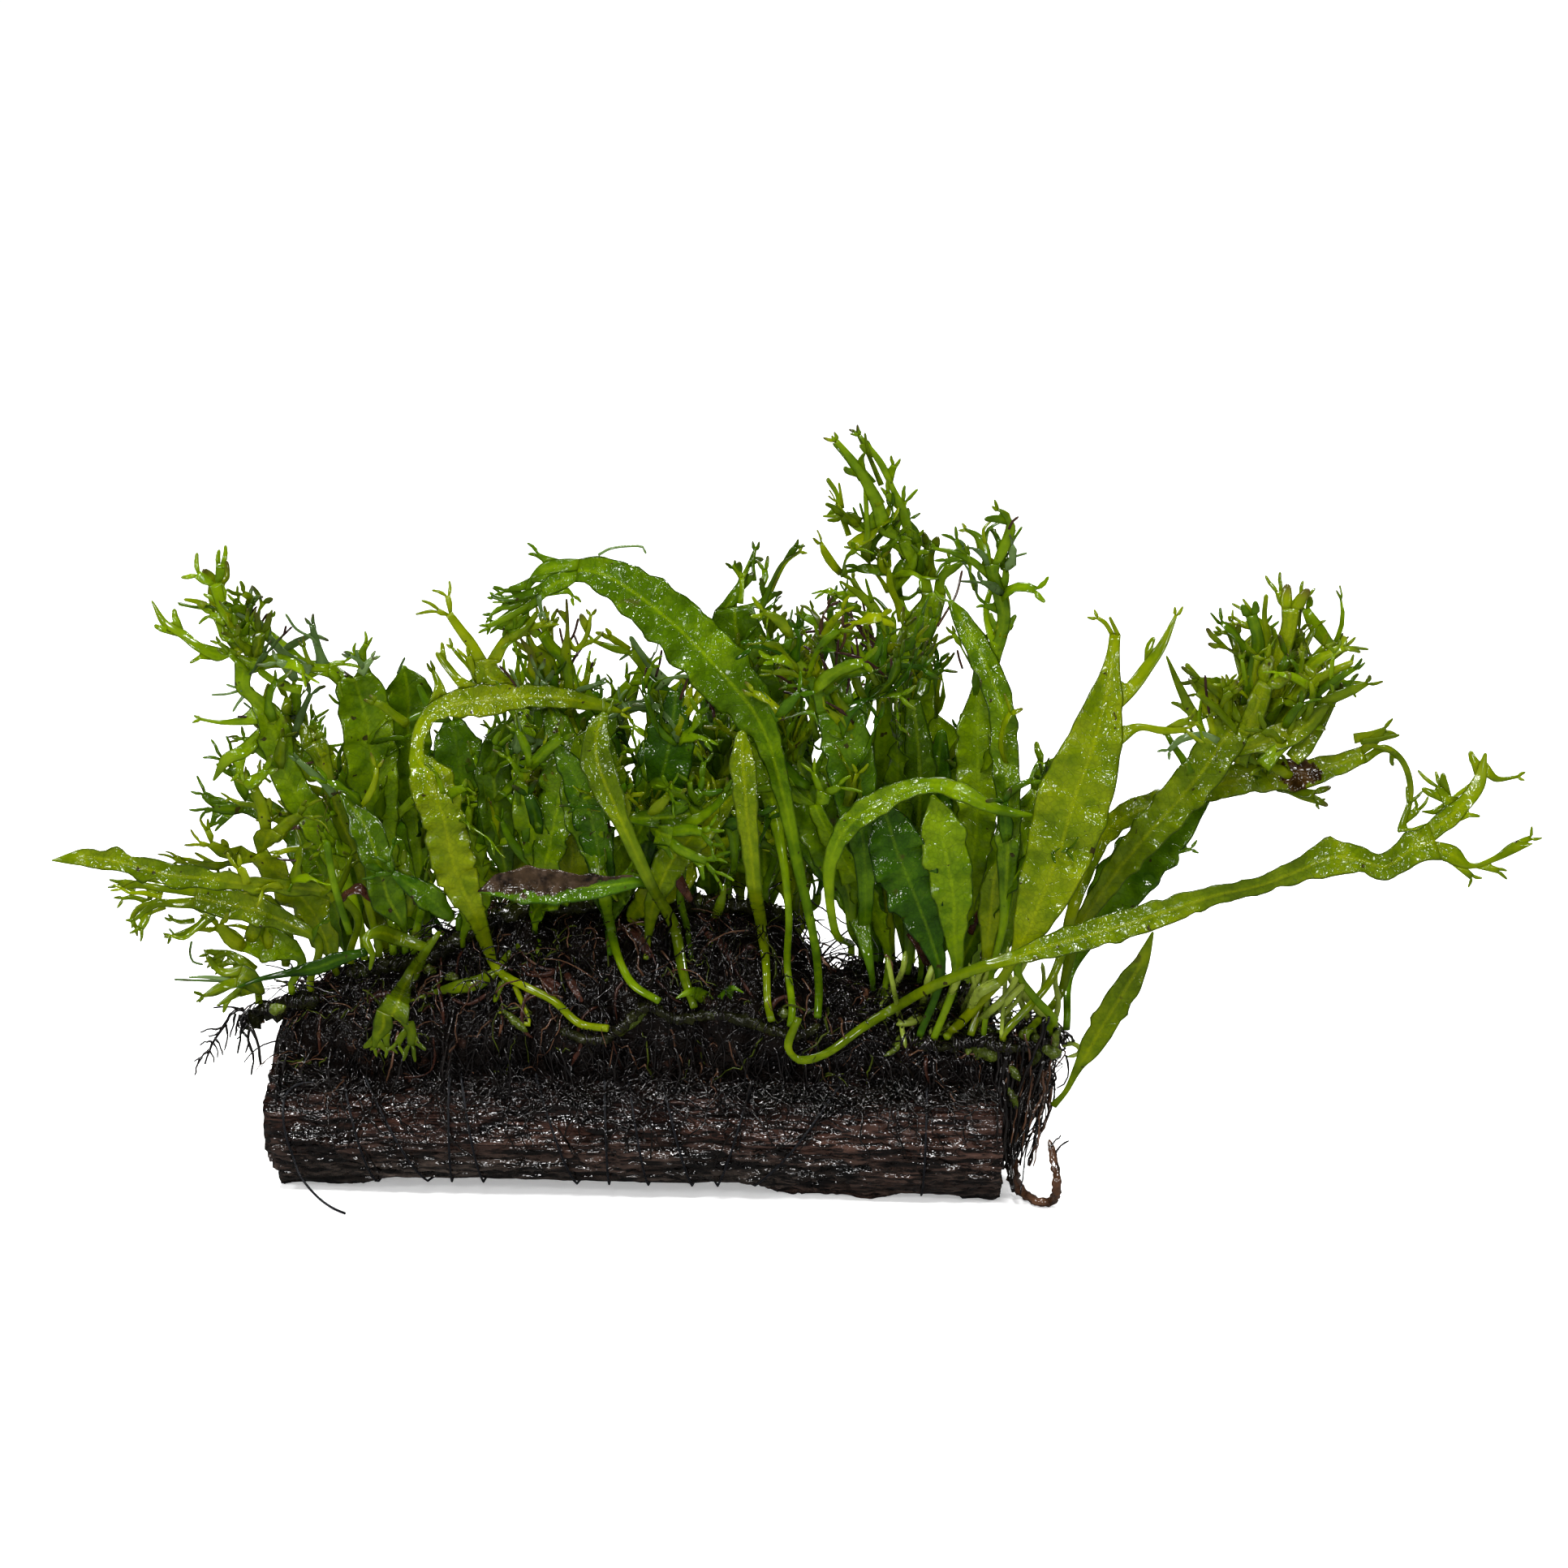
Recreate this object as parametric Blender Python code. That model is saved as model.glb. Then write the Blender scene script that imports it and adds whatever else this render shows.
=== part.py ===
# Lace-tipped java fern growing on a straight piece of driftwood.
# Metres, +Z up, +X along the log.  The object stands on two worn flats under
# the log; the origin is the middle of the object's footprint, on the ground.
#
# Everything is laid out on a front-view drafting grid 1932 units wide, seen
# from 15 degrees above the horizon, plus a depth y in millimetres (negative is
# towards the viewer).  spot() turns a grid point and a depth into a point.

import bpy
import math
from mathutils import Vector
from mathutils.bvhtree import BVHTree

# ------------------------------------------------------------ dimensions, mm
LOG_RADIUS = 16.2          # straight log, about 32 mm thick
LOG_LEFT = -105.0          # x of the sawn ends: 149 mm long
LOG_RIGHT = 44.3
LOG_FLAT = 1.0             # depth of the worn flats the log stands on
LOG_HOLLOW = 4.2           # how far the underside is lifted in mid span
LOG_SIDES = 20
MAT_CLEAR = 2.3            # root mat above the bark; the thread runs between
MAT_EDGE = 2.2             # thickness of the mat at its fringes
MAT_FRONT = 38.0           # fringe angles round the log, degrees from front
MAT_BACK = 150.0
THREAD_D = 0.5             # tying thread
RHIZOME_R = 1.8
STALK_HALF = 0.55          # half thickness of a stalk and of a blade
BLADE_HALF = 0.26
GAP = 0.35                 # free space kept between neighbouring pieces
MM = 0.001

# ------------------------------------------------------------ drafting view
VIEW_EL = math.radians(15.0)
VIEW_DIST = 700.0
VIEW_F = 4332.0
VIEW_MID = 966.0
VIEW_Z = 84.9
FWD = Vector((0.0, math.cos(VIEW_EL), -math.sin(VIEW_EL)))
RIGHT = Vector((1.0, 0.0, 0.0))
UP = Vector((0.0, math.sin(VIEW_EL), math.cos(VIEW_EL)))
EYE = Vector((0.0, 0.0, VIEW_Z)) - FWD * VIEW_DIST


def ray(u, v):
    return FWD + RIGHT * ((u - VIEW_MID) / VIEW_F) + UP * ((VIEW_MID - v) / VIEW_F)


def spot(u, v, y):
    d = ray(u, v)
    return EYE + d * ((y - EYE.y) / d.y)


def spot_z(u, v, z):
    d = ray(u, v)
    return EYE + d * ((z - EYE.z) / d.z)


def unit_at(p):
    return (p - EYE).dot(FWD) / VIEW_F


def grid_x(u, y=0.0):
    return spot(u, 1350.0, y).x


def smooth(a, b, x):
    t = min(1.0, max(0.0, (x - a) / (b - a)))
    return t * t * (3.0 - 2.0 * t)


def lerp_table(table, x):
    if x <= table[0][0]:
        return table[0][1]
    for (x0, y0), (x1, y1) in zip(table, table[1:]):
        if x <= x1:
            return y0 + (y1 - y0) * (x - x0) / (x1 - x0)
    return table[-1][1]


def wobble(*k):
    # a repeatable value in -1..1 from a few numbers
    s = 0.0
    for i, a in enumerate(k):
        s += math.sin(a * (12.9898 + 7.13 * i) + 4.1 * i)
    s = math.sin(s * 43.7585) * 1437.5453
    return 2.0 * (s - math.floor(s)) - 1.0


# ------------------------------------------------------------ log and mat
def axis_y(x):
    return 2.0 - 0.05 * (x + 30.0)


AXIS_Z = LOG_RADIUS - LOG_FLAT


def underside(x):
    mid = smooth(-91.0, -79.0, x) * (1.0 - smooth(-7.0, 1.0, x)) * LOG_HOLLOW
    notch = smooth(20.0, 24.0, x) * (1.0 - smooth(34.0, 38.0, x)) * 2.0
    return max(mid, notch)


def bark_r(x, a):
    r = LOG_RADIUS + 0.25 * math.sin(3.0 * a + 0.05 * x) + 0.2 * math.sin(0.11 * x + 2.0 * a)
    s = math.sin(a)
    if s < 0.0:
        flat = (AXIS_Z - underside(x)) / -s
        r = flat if s < -0.94 else min(r, flat)
    return r


def round_log(x, a, r):
    # a: 0 is the front, 90 degrees up, 180 degrees the back
    return Vector((x, axis_y(x) - r * math.cos(a), AXIS_Z + r * math.sin(a)))


MAT_RISE = [(-103.0, 1.5), (-97.0, 3.0), (-88.0, 8.0), (-72.0, 11.5), (-66.0, 16.5),
            (-59.0, 21.0), (-30.0, 21.8), (-4.0, 20.5), (1.5, 17.0), (6.5, 11.0),
            (9.5, 8.0), (22.0, 7.2), (31.0, 4.0), (38.0, 1.6), (43.0, 0.6)]


def mat_r(x, a_deg):
    t = (a_deg - 97.0) / 59.0
    g = max(0.0, math.cos(0.5 * math.pi * max(-1.0, min(1.0, t)))) ** 1.25
    lump = 0.7 * math.sin(0.31 * x + 0.06 * a_deg) * g
    return LOG_RADIUS + MAT_CLEAR + MAT_EDGE + lerp_table(MAT_RISE, x) * g + lump


# ------------------------------------------------------------ mesh helpers
COUNT = {}


def material(name, colour, rough):
    m = bpy.data.materials.get(name)
    if m is None:
        m = bpy.data.materials.new(name)
        m.use_nodes = True
        b = m.node_tree.nodes["Principled BSDF"]
        b.inputs["Base Color"].default_value = (colour[0], colour[1], colour[2], 1.0)
        b.inputs["Roughness"].default_value = rough
        b.inputs["Metallic"].default_value = 0.0
    return m


def material_of(slot):
    return material(slot, *{
        "leaf_bright": ((0.20, 0.34, 0.02), 0.28),
        "leaf_mid": ((0.10, 0.23, 0.02), 0.28),
        "leaf_dark": ((0.04, 0.13, 0.03), 0.25),
        "rhizome": ((0.16, 0.22, 0.03), 0.35),
        "roots": ((0.02, 0.015, 0.012), 0.35),
        "bark": ((0.07, 0.04, 0.03), 0.40),
        "thread": ((0.015, 0.015, 0.018), 0.45),
    }[slot])


def faces_out(verts, faces):
    # turns a closed body whose faces point inwards
    vol = sum(verts[f[0]].dot(verts[f[1]].cross(verts[f[2]])) for f in faces)
    return faces if vol > 0.0 else [tuple(reversed(f)) for f in faces]


def add_mesh(name, verts, faces, slot, parent, flat=False):
    faces = faces_out(verts, faces)
    me = bpy.data.meshes.new(name)
    me.from_pydata([(v[0] * MM, v[1] * MM, v[2] * MM) for v in verts], [], faces)
    me.validate()
    me.materials.append(material_of(slot))
    if not flat:
        me.shade_smooth()
    ob = bpy.data.objects.new(name, me)
    bpy.context.scene.collection.objects.link(ob)
    ob.parent = parent
    COUNT[name] = sum(len(f) - 2 for f in faces)
    return ob


def bvh(verts, faces):
    return BVHTree.FromPolygons([Vector(v) for v in verts], faces, epsilon=0.0)


def loft(rings, close_ends=True):
    verts, faces = [], []
    n = len(rings[0])
    for r in rings:
        verts += list(r)
    for i in range(len(rings) - 1):
        for j in range(n):
            k = (j + 1) % n
            a, b = i * n + j, i * n + k
            c, d = (i + 1) * n + k, (i + 1) * n + j
            faces += [(a, b, c), (a, c, d)]
    if close_ends:
        for i, flip in ((0, True), (len(rings) - 1, False)):
            c = Vector((0.0, 0.0, 0.0))
            for p in rings[i]:
                c += p
            verts.append(c / n)
            m = len(verts) - 1
            for j in range(n):
                k = (j + 1) % n
                a, b = i * n + j, i * n + k
                faces.append((b, a, m) if flip else (a, b, m))
    return verts, faces


def tube(points, radii, sides):
    rings = []
    t0 = (points[1] - points[0]).normalized()
    ref = Vector((0, 0, 1)) if abs(t0.z) < 0.8 else Vector((1, 0, 0))
    nrm = (ref - t0 * ref.dot(t0)).normalized()
    for i, p in enumerate(points):
        a = points[max(0, i - 1)]
        b = points[min(len(points) - 1, i + 1)]
        t = (b - a).normalized()
        nrm = (nrm - t * nrm.dot(t)).normalized()
        bi = t.cross(nrm)
        rings.append([p + (nrm * math.cos(2 * math.pi * k / sides)
                           + bi * math.sin(2 * math.pi * k / sides)) * radii[i]
                      for k in range(sides)])
    return loft(rings)


def along(points, t):
    d = [0.0]
    for a, b in zip(points, points[1:]):
        d.append(d[-1] + (b - a).length)
    want = t * d[-1]
    for i in range(len(points) - 1):
        if want <= d[i + 1] or i == len(points) - 2:
            f = (want - d[i]) / max(1e-6, d[i + 1] - d[i])
            return points[i].lerp(points[i + 1], max(0.0, min(1.0, f)))
    return points[-1]


def spline(points, n):
    # n points at even spacing on a smooth curve through the given ones
    dense = []
    for i in range(len(points) - 1):
        p0 = points[max(0, i - 1)]
        p1, p2 = points[i], points[i + 1]
        p3 = points[min(len(points) - 1, i + 2)]
        for k in range(12):
            t = k / 12.0
            dense.append(0.5 * ((2 * p1) + (p2 - p0) * t + (2 * p0 - 5 * p1 + 4 * p2 - p3) * t * t
                                + (3 * p1 - p0 - 3 * p2 + p3) * t * t * t))
    dense.append(points[-1].copy())
    return [along(dense, k / (n - 1.0)) for k in range(n)]


# ------------------------------------------------------------ the log
def build_log():
    xs = [LOG_LEFT, -97.0, -91.0, -85.0, -79.0, -62.0, -42.0, -22.0, -8.0, -3.0, 2.0,
          11.0, 20.0, 24.5, 33.5, 38.5, LOG_RIGHT]
    rings = []
    for x in xs:
        ring = []
        for j in range(LOG_SIDES):
            a = -0.5 * math.pi + 2.0 * math.pi * j / LOG_SIDES
            p = round_log(x, a, bark_r(x, a))
            if x == LOG_LEFT:
                p.x += 2.4 * (math.sin(a)) ** 2 - 0.7
            if x == LOG_RIGHT:
                p.x -= 0.9 * max(0.0, math.sin(a))
            ring.append(p)
        rings.append(ring)
    rings = [list(reversed(r)) for r in rings]
    return loft(rings)


def build_mat():
    xs = [-101.5, -97.0, -88.0, -80.0, -72.0, -66.0, -59.0, -45.0, -30.0, -16.0, -4.0,
          1.5, 6.5, 9.5, 17.0, 24.0, 31.0, 38.0, 43.0]
    outer = [MAT_FRONT, 52.0, 66.0, 80.0, 95.0, 110.0, 124.0, 138.0, MAT_BACK]
    inner = [MAT_BACK - 2.0, 137.0, 124.0, 110.0, 95.0, 80.0, 66.0, 52.0, MAT_FRONT + 2.0]
    rings = []
    for x in xs:
        ring = [round_log(x, math.radians(a), mat_r(x, a)) for a in outer]
        ring += [round_log(x, math.radians(a), LOG_RADIUS + MAT_CLEAR) for a in inner]
        rings.append(ring)
    verts, faces = loft(rings, close_ends=False)
    n, m = len(rings[0]), len(outer)
    for i, flip in ((0, True), (len(rings) - 1, False)):
        for j in range(m - 1):
            a, b = i * n + j, i * n + j + 1
            c, d = i * n + n - 2 - j, i * n + n - 1 - j
            for f in ((a, b, c), (a, c, d)):
                faces.append(tuple(reversed(f)) if flip else f)
    return verts, faces


def build_bundle():
    # airy bunch of roots hanging past the right end of the log
    rings = []
    for z, cx, cy, rx, ry in ((8.5, 48.6, -6.5, 1.6, 2.2), (12.0, 49.4, -6.0, 3.0, 4.4),
                              (18.0, 50.1, -5.0, 4.3, 6.4), (23.5, 50.4, -4.5, 4.7, 7.2),
                              (27.5, 50.0, -4.0, 3.6, 5.6)):
        rings.append([Vector((cx + rx * math.cos(2 * math.pi * k / 10),
                              cy + ry * math.sin(2 * math.pi * k / 10), z)) for k in range(10)])
    return loft(rings)


def build_root_loop():
    pts = [spot(1247, 1428, -7.0), spot(1249, 1448, -11.0), spot_z(1255, 1466, 1.6),
           spot_z(1270, 1477, 1.1), spot_z(1285, 1484, 1.0), spot_z(1297, 1480, 1.2),
           spot(1302, 1466, -17.5), spot(1301, 1445, -15.5), spot(1297, 1424, -13.5),
           spot(1293, 1404, -12.0)]
    pts = spline(pts, 14)
    rad = [1.25, 1.3, 1.2, 1.0, 0.95, 0.9, 0.9, 0.95, 0.9, 0.85, 0.85, 0.8, 0.7, 0.5]
    for p, r in zip(pts, rad):
        p.z = max(p.z, r + 0.1)
    return tube(pts, rad, 6)


# ------------------------------------------------------------ rhizomes
# on the crown: (grid u, angle round the log); on the front: (grid u, grid v)
RHIZOMES = {
    "left_rhizome": ("crown", [(296, 84), (318, 80), (345, 76), (372, 74), (400, 72)]),
    "crown_rhizome": ("crown", [(432, 80), (480, 84), (530, 80), (580, 82), (630, 84), (690, 88),
                                (750, 88), (820, 92), (880, 90), (940, 92), (985, 98)]),
    "rear_rhizome": ("crown", [(520, 122), (620, 126), (720, 124), (830, 127), (930, 124), (1010, 120)]),
    "right_crown_rhizome": ("crown", [(1042, 96), (1080, 92), (1120, 94), (1160, 96), (1205, 100)]),
    "front_rhizome": ("front", [(690, 1270), (738, 1282), (768, 1264), (798, 1240), (830, 1256),
                                (866, 1252), (905, 1254), (948, 1268), (985, 1276), (1010, 1262)]),
    "right_rhizome": ("front", [(1122, 1282), (1160, 1290), (1200, 1284), (1238, 1290)]),
}
RZ_PATH = {}
RZ_RAD = {}


def hug(tree, u, v, off):
    # point off mm in front of the surface, still on the same line of sight
    d = ray(u, v).normalized()
    hit, nor, idx, dist = tree.ray_cast(EYE, d)
    if hit is None:
        return None
    c = max(0.4, abs(nor.dot(d)))
    return hit - d * (off / c)


def build_rhizomes(solid_tree):
    out = {}
    for name, (kind, pts) in RHIZOMES.items():
        path = []
        for i, (u, w) in enumerate(pts):
            if kind == "crown":
                x = grid_x(u)
                base = mat_r(x, w) if x > -101.0 else LOG_RADIUS + 0.4
                path.append(round_log(x, math.radians(w), base + RHIZOME_R + 0.75))
            else:
                q = hug(solid_tree, u, w, RHIZOME_R + 0.75)
                path.append(q if q is not None else spot(u, w, -17.0))
        if name == "right_rhizome":
            path += [spot(1268, 1290, -13.5), spot(1296, 1284, -11.0), spot(1316, 1276, -8.5)]
        n = 2 * len(path) - 1
        path = spline(path, n)
        rad = [RHIZOME_R * (0.86 + 0.14 * math.sin(2.1 * i + len(name))) for i in range(n)]
        rad[0] *= 0.7
        rad[-1] *= 0.7
        # raise the stem off the mat wherever it comes too near
        for turn in range(60):
            fat = bvh(*tube(path, [r + GAP for r in rad], 6))
            touch = fat.overlap(solid_tree)
            if not touch:
                break
            rows = set(min(n - 1, f[0] // 12) for f in touch)
            rows |= set(i + 1 for i in rows) | set(i - 1 for i in rows)
            for i in rows:
                if 0 <= i < n:
                    p = path[i]
                    out_dir = Vector((0.0, p.y - axis_y(p.x), p.z - AXIS_Z)).normalized()
                    path[i] = p + out_dir * 0.2
        RZ_PATH[name] = path
        RZ_RAD[name] = rad
        out[name] = tube(path, rad, 6)
    return out


def rhizome_base(name, t):
    path = RZ_PATH[name]
    p = along(path, t)
    i = t * (len(path) - 1)
    k = min(len(path) - 2, int(i))
    r = max(RZ_RAD[name][k], RZ_RAD[name][k + 1])
    out = p - Vector((p.x, axis_y(p.x), AXIS_Z))
    out.normalize()
    return p + out * (r + GAP + 0.25), out


# ------------------------------------------------------------ fronds
# F(name, slot, (rhizome, place along it), path, branches)
# path rows: grid u, grid v, depth y (None keeps it just off the root mat),
#            half width in grid units, roll in degrees
# branches:  (where, [(u, v, half width), ...], [branches])
#            where is "l" or "r", the left or right half of a forked end seen
#            in the direction of growth, or "L"/"R", a lobe on that edge
FRONDS = []


def F(name, slot, base, path, branches=()):
    FRONDS.append((name, slot, base, path, branches))


# ---- front of the plant
F("frond_front_narrow", "leaf_bright", ("front_rhizome", 0.81), [
    (946, 1238, None, 4.5, 0), (944, 1190, None, 5, 0), (938, 1140, None, 7, 0),
    (930, 1096, -24, 9, 8), (925, 1048, -27, 11, 8), (920, 1000, -28, 14, 5),
    (917, 962, -28, 16, 0), (914, 932, -27, 15, -8), (914, 907, -25.5, 7, -20)])

F("frond_front_arching", "leaf_mid", ("front_rhizome", 0.99), [
    (1009, 1222, None, 5, 0), (1005, 1170, None, 5, 0), (995, 1118, -22, 6, 0),
    (984, 1070, -23, 7, 0), (972, 1010, -24, 9, 10), (961, 962, -24, 12, 20),
    (948, 915, -24, 16, 20), (927, 874, -24, 28, 10), (892, 832, -24, 37, 0),
    (852, 790, -23, 36, -8), (812, 754, -22, 34, -10), (772, 724, -21, 28, -12),
    (738, 706, -20, 21, -10), (712, 703, -19.5, 14, 0)], [
    ("l", [(690, 716, 12), (668, 728, 9)], [
        ("l", [(648, 746, 9), (628, 758, 6), (604, 771, 2)], [
            ("L", [(640, 766, 6), (622, 775, 2)], [])]),
        ("r", [(648, 735, 7), (630, 738, 5), (608, 735, 1.5)], [
            ("L", [(622, 746, 4), (606, 757, 1.5)], [])]),
        ("L", [(700, 728, 4), (706, 735, 1.5)], [])]),
    ("r", [(692, 697, 9), (670, 702, 8), (656, 715, 5), (649, 728, 1.5)], [])])

F("frond_front_yellow", "leaf_bright", ("front_rhizome", 0.18), [
    (714, 1261, None, 5, 0), (682, 1233, None, 5, 0), (648, 1216, None, 5, 0),
    (614, 1196, None, 5.5, 0), (600, 1165, None, 8, 0), (586, 1127, -21, 13, 5),
    (566, 1085, -24, 24, 8), (554, 1045, -26, 27, 5), (547, 1010, -27, 26, 0),
    (536, 978, -27, 29, -5), (528, 955, -26, 25, -10), (514, 932, -23, 10, 10),
    (517, 905, -21, 9, 20), (531, 881, -19, 11, 20), (560, 868, -18, 17, 5),
    (600, 863, -17, 20, 0), (645, 858, -16, 15, 0), (692, 860, -15, 13, 0),
    (735, 868, -13, 8, 0), (765, 877, -11, 2, 0)], [
    ("L", [(601, 832, 17), (600, 812, 17)], [
        ("l", [(580, 793, 7), (565, 773, 6), (553, 756, 5)], []),
        ("r", [(622, 791, 7), (640, 778, 8), (662, 758, 2)], [])]),
    ("L", [(565, 838, 6), (547, 816, 5), (539, 806, 3)], []),
    ("L", [(541, 845, 6), (535, 829, 3)], [])])

F("frond_small_fan", "leaf_bright", ("crown_rhizome", 0.18), [
    (540, 1150, None, 4, 0), (526, 1170, None, 5, 0), (510, 1196, None, 9, 0),
    (499, 1214, None, 9, 0), (491, 1234, -24, 15, 0), (483, 1252, -24.5, 22, 0)], [
    ("l", [(504, 1262, 7), (507, 1276, 6), (506, 1288, 4)], []),
    ("r", [(472, 1264, 12), (464, 1278, 6), (461, 1291, 2)], [])])

F("frond_right_long", "leaf_bright", ("front_rhizome", 0.91), [
    (971, 1290, None, 5, 0), (985, 1306, None, 5, 0), (1018, 1298, None, 5, 0),
    (1060, 1268, None, 5.5, 0), (1102, 1242, None, 6, 0), (1150, 1215, -25, 6.5, 0),
    (1200, 1195, -29, 7, 0), (1250, 1180, -32, 9, 10), (1300, 1164, -33, 16, 15),
    (1350, 1150, -34, 18, 10), (1400, 1135, -34, 18, 0), (1450, 1118, -34, 16, -10),
    (1500, 1102, -34, 12, -25), (1552, 1090, -33, 11, -35), (1600, 1072, -33, 15, -20),
    (1642, 1056, -33, 24, 0), (1676, 1060, -33, 16, 10), (1706, 1068, -33, 17, 0),
    (1740, 1046, -32, 20, 0), (1768, 1036, -31, 24, 0)], [
    ("l", [(1786, 1006, 13), (1806, 988, 10), (1822, 964, 9), (1830, 930, 2.5)], [
        ("L", [(1783, 985, 7), (1772, 968, 4)], []),
        ("R", [(1845, 960, 4), (1870, 957, 1.5)], []),
        ("L", [(1768, 1000, 4), (1754, 1000, 1.5)], [])]),
    ("r", [(1790, 1054, 12), (1812, 1067, 4), (1842, 1058, 4), (1866, 1044, 7), (1886, 1040, 1.5)], []),
    ("L", [(1728, 1022, 7), (1736, 990, 3)], [])])

F("frond_front_right_broad", "leaf_bright", ("right_rhizome", 0.20), [
    (1176, 1268, None, 6, 0), (1206, 1236, None, 6, 0), (1236, 1204, -25, 6, 0),
    (1254, 1172, -28, 9, 0), (1272, 1134, -30, 24, 5), (1291, 1088, -31, 35, 5),
    (1308, 1040, -31, 42, 0), (1325, 980, -31, 46, 0), (1346, 922, -31, 36, -5),
    (1359, 872, -30, 25, -10), (1368, 830, -29, 13, -10), (1372, 802, -28, 8, 10),
    (1374, 782, -27, 7, 20)], [
    ("l", [(1362, 768, 3), (1352, 761, 2.5)], []),
    ("r", [(1368, 762, 2)], []),
    ("R", [(1394, 848, 9), (1412, 824, 8), (1432, 795, 6), (1449, 758, 2)], []),
    ("R", [(1404, 896, 5), (1432, 900, 5), (1462, 899, 4)], [])])

F("frond_front_crossing", "leaf_mid", ("right_crown_rhizome", 0.04), [
    (1030, 1150, -17, 5, 0), (1022, 1105, -22, 6, 0), (1024, 1060, -26, 9, 10),
    (1045, 1018, -28, 14, 10), (1080, 991, -29, 16, 0), (1116, 973, -29, 12, 0),
    (1150, 968, -29, 10, 20), (1185, 976, -28, 12, 0), (1216, 992, -28, 8, 0),
    (1246, 1001, -27, 6, 0), (1274, 1005, -27, 1.5, 0)])

F("frond_withered", "leaf_mid", ("crown_rhizome", 0.61), [
    (806, 1092, -19, 4, 0), (785, 1087, -22, 7, 10), (745, 1091, -23.5, 13, 15),
    (700, 1092, -24, 19, 15), (650, 1090, -24, 23, 10), (612, 1092, -23, 13, 0),
    (591, 1098, -22.5, 2, 0)])

F("frond_stalk_left_of_middle", "leaf_mid", ("front_rhizome", 0.40), [
    (780, 1213, None, 5, 0), (762, 1180, None, 5, 0), (752, 1140, None, 6, 0),
    (745, 1105, -18, 8, 0), (735, 1060, -17, 12, 10), (722, 1010, -16, 24, 10),
    (716, 960, -15, 26, 0), (722, 920, -14, 20, -10), (736, 894, -13, 4, 0)])

F("frond_stalk_middle", "leaf_bright", ("front_rhizome", 0.53), [
    (842, 1200, None, 6, 0), (832, 1145, None, 7, 0), (803, 1092, -25, 7, 0),
    (781, 1046, -27, 9, 0), (765, 1010, -27, 11, 10), (750, 974, -26, 18, 15),
    (736, 938, -25, 20, 5), (735, 902, -24, 15, -10), (746, 878, -23, 4, 0)])

F("frond_thin_middle_stalk", "leaf_mid", ("front_rhizome", 0.88), [
    (976, 1240, None, 4.5, 0), (970, 1190, None, 4.5, 0), (972, 1132, None, 4.5, 0),
    (968, 1080, -19, 5, 0), (960, 1030, -18, 7, 0), (952, 985, -17, 14, 10),
    (944, 940, -16, 21, 10), (936, 900, -15, 14, 0), (930, 872, -14, 3, 0)])

# ---- left group
F("frond_left_long", "leaf_bright", ("crown_rhizome", 0.01), [
    (440, 1128, -8, 5, 0), (405, 1100, -11, 8, 20), (352, 1092, -14, 10, 25),
    (300, 1088, -17, 10, 25), (255, 1082, -19, 13, 10), (205, 1077, -21, 15, 0),
    (160, 1065, -23, 13, 0), (115, 1056, -24, 13, 10), (86, 1058, -25, 7, 0),
    (66, 1060, -26, 1.5, 0)])

F("frond_left_low_crested", "leaf_bright", ("left_rhizome", 0.92), [
    (392, 1160, -10, 6, 0), (352, 1136, -11, 13, 10), (310, 1120, -12, 18, 10),
    (272, 1112, -13, 18, 0), (240, 1105, -14, 15, 0)], [
    ("l", [(216, 1113, 7), (192, 1114, 6), (165, 1134, 2)], []),
    ("r", [(205, 1094, 7), (172, 1090, 6), (151, 1094, 2)], [
        ("L", [(163, 1103, 3), (151, 1107, 1.5)], [])]),
    ("L", [(257, 1130, 9), (240, 1144, 6), (210, 1154, 1.5)], [])])

F("frond_left_low_fan", "leaf_bright", ("left_rhizome", 0.28), [
    (321, 1222, -9, 6, 0), (307, 1207, -11, 13, 0), (294, 1203, -12, 15, 0)], [
    ("l", [(272, 1216, 6), (251, 1227, 2)], []),
    ("r", [(272, 1197, 5), (255, 1177, 1.5)], []),
    ("R", [(297, 1184, 6), (279, 1174, 4), (263, 1181, 1.5)], []),
    ("L", [(286, 1227, 4), (269, 1238, 1.5)], [])])

F("frond_left_low_broad", "leaf_mid", ("left_rhizome", 0.72), [
    (372, 1184, -4, 6, 0), (350, 1168, -5, 17, 0), (328, 1162, -6, 24, 0),
    (312, 1166, -7, 17, 0), (301, 1170, -8, 4, 0)])

F("frond_left_tall", "leaf_mid", ("crown_rhizome", 0.04), [
    (444, 1140, -3, 5, 0), (424, 1085, -3, 10, 0), (404, 1040, -4, 17, 10),
    (385, 1006, -5, 20, 10), (362, 973, -6, 20, 0), (347, 943, -7, 18, -5),
    (340, 912, -8, 21, -10), (331, 886, -9, 18, -15), (316, 862, -10, 9, 0),
    (300, 848, -11, 9, 20), (300, 828, -11, 11, 10), (306, 810, -11, 17, 0)], [
    ("l", [(268, 806, 9), (243, 796, 6), (226, 782, 6), (203, 768, 5), (188, 742, 1.5)], []),
    ("r", [(303, 785, 14), (290, 770, 10), (276, 752, 7), (265, 719, 8)], [
        ("R", [(304, 762, 5), (311, 746, 2)], []),
        ("L", [(277, 786, 5), (270, 770, 4), (261, 756, 1.5)], [])]),
    ("R", [(338, 814, 9), (372, 821, 7), (404, 823, 5)], []),
    ("L", [(298, 888, 6), (272, 890, 3), (247, 886, 1.5)], []),
    ("L", [(300, 926, 9), (280, 935, 8), (264, 960, 2)], [])])

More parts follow.
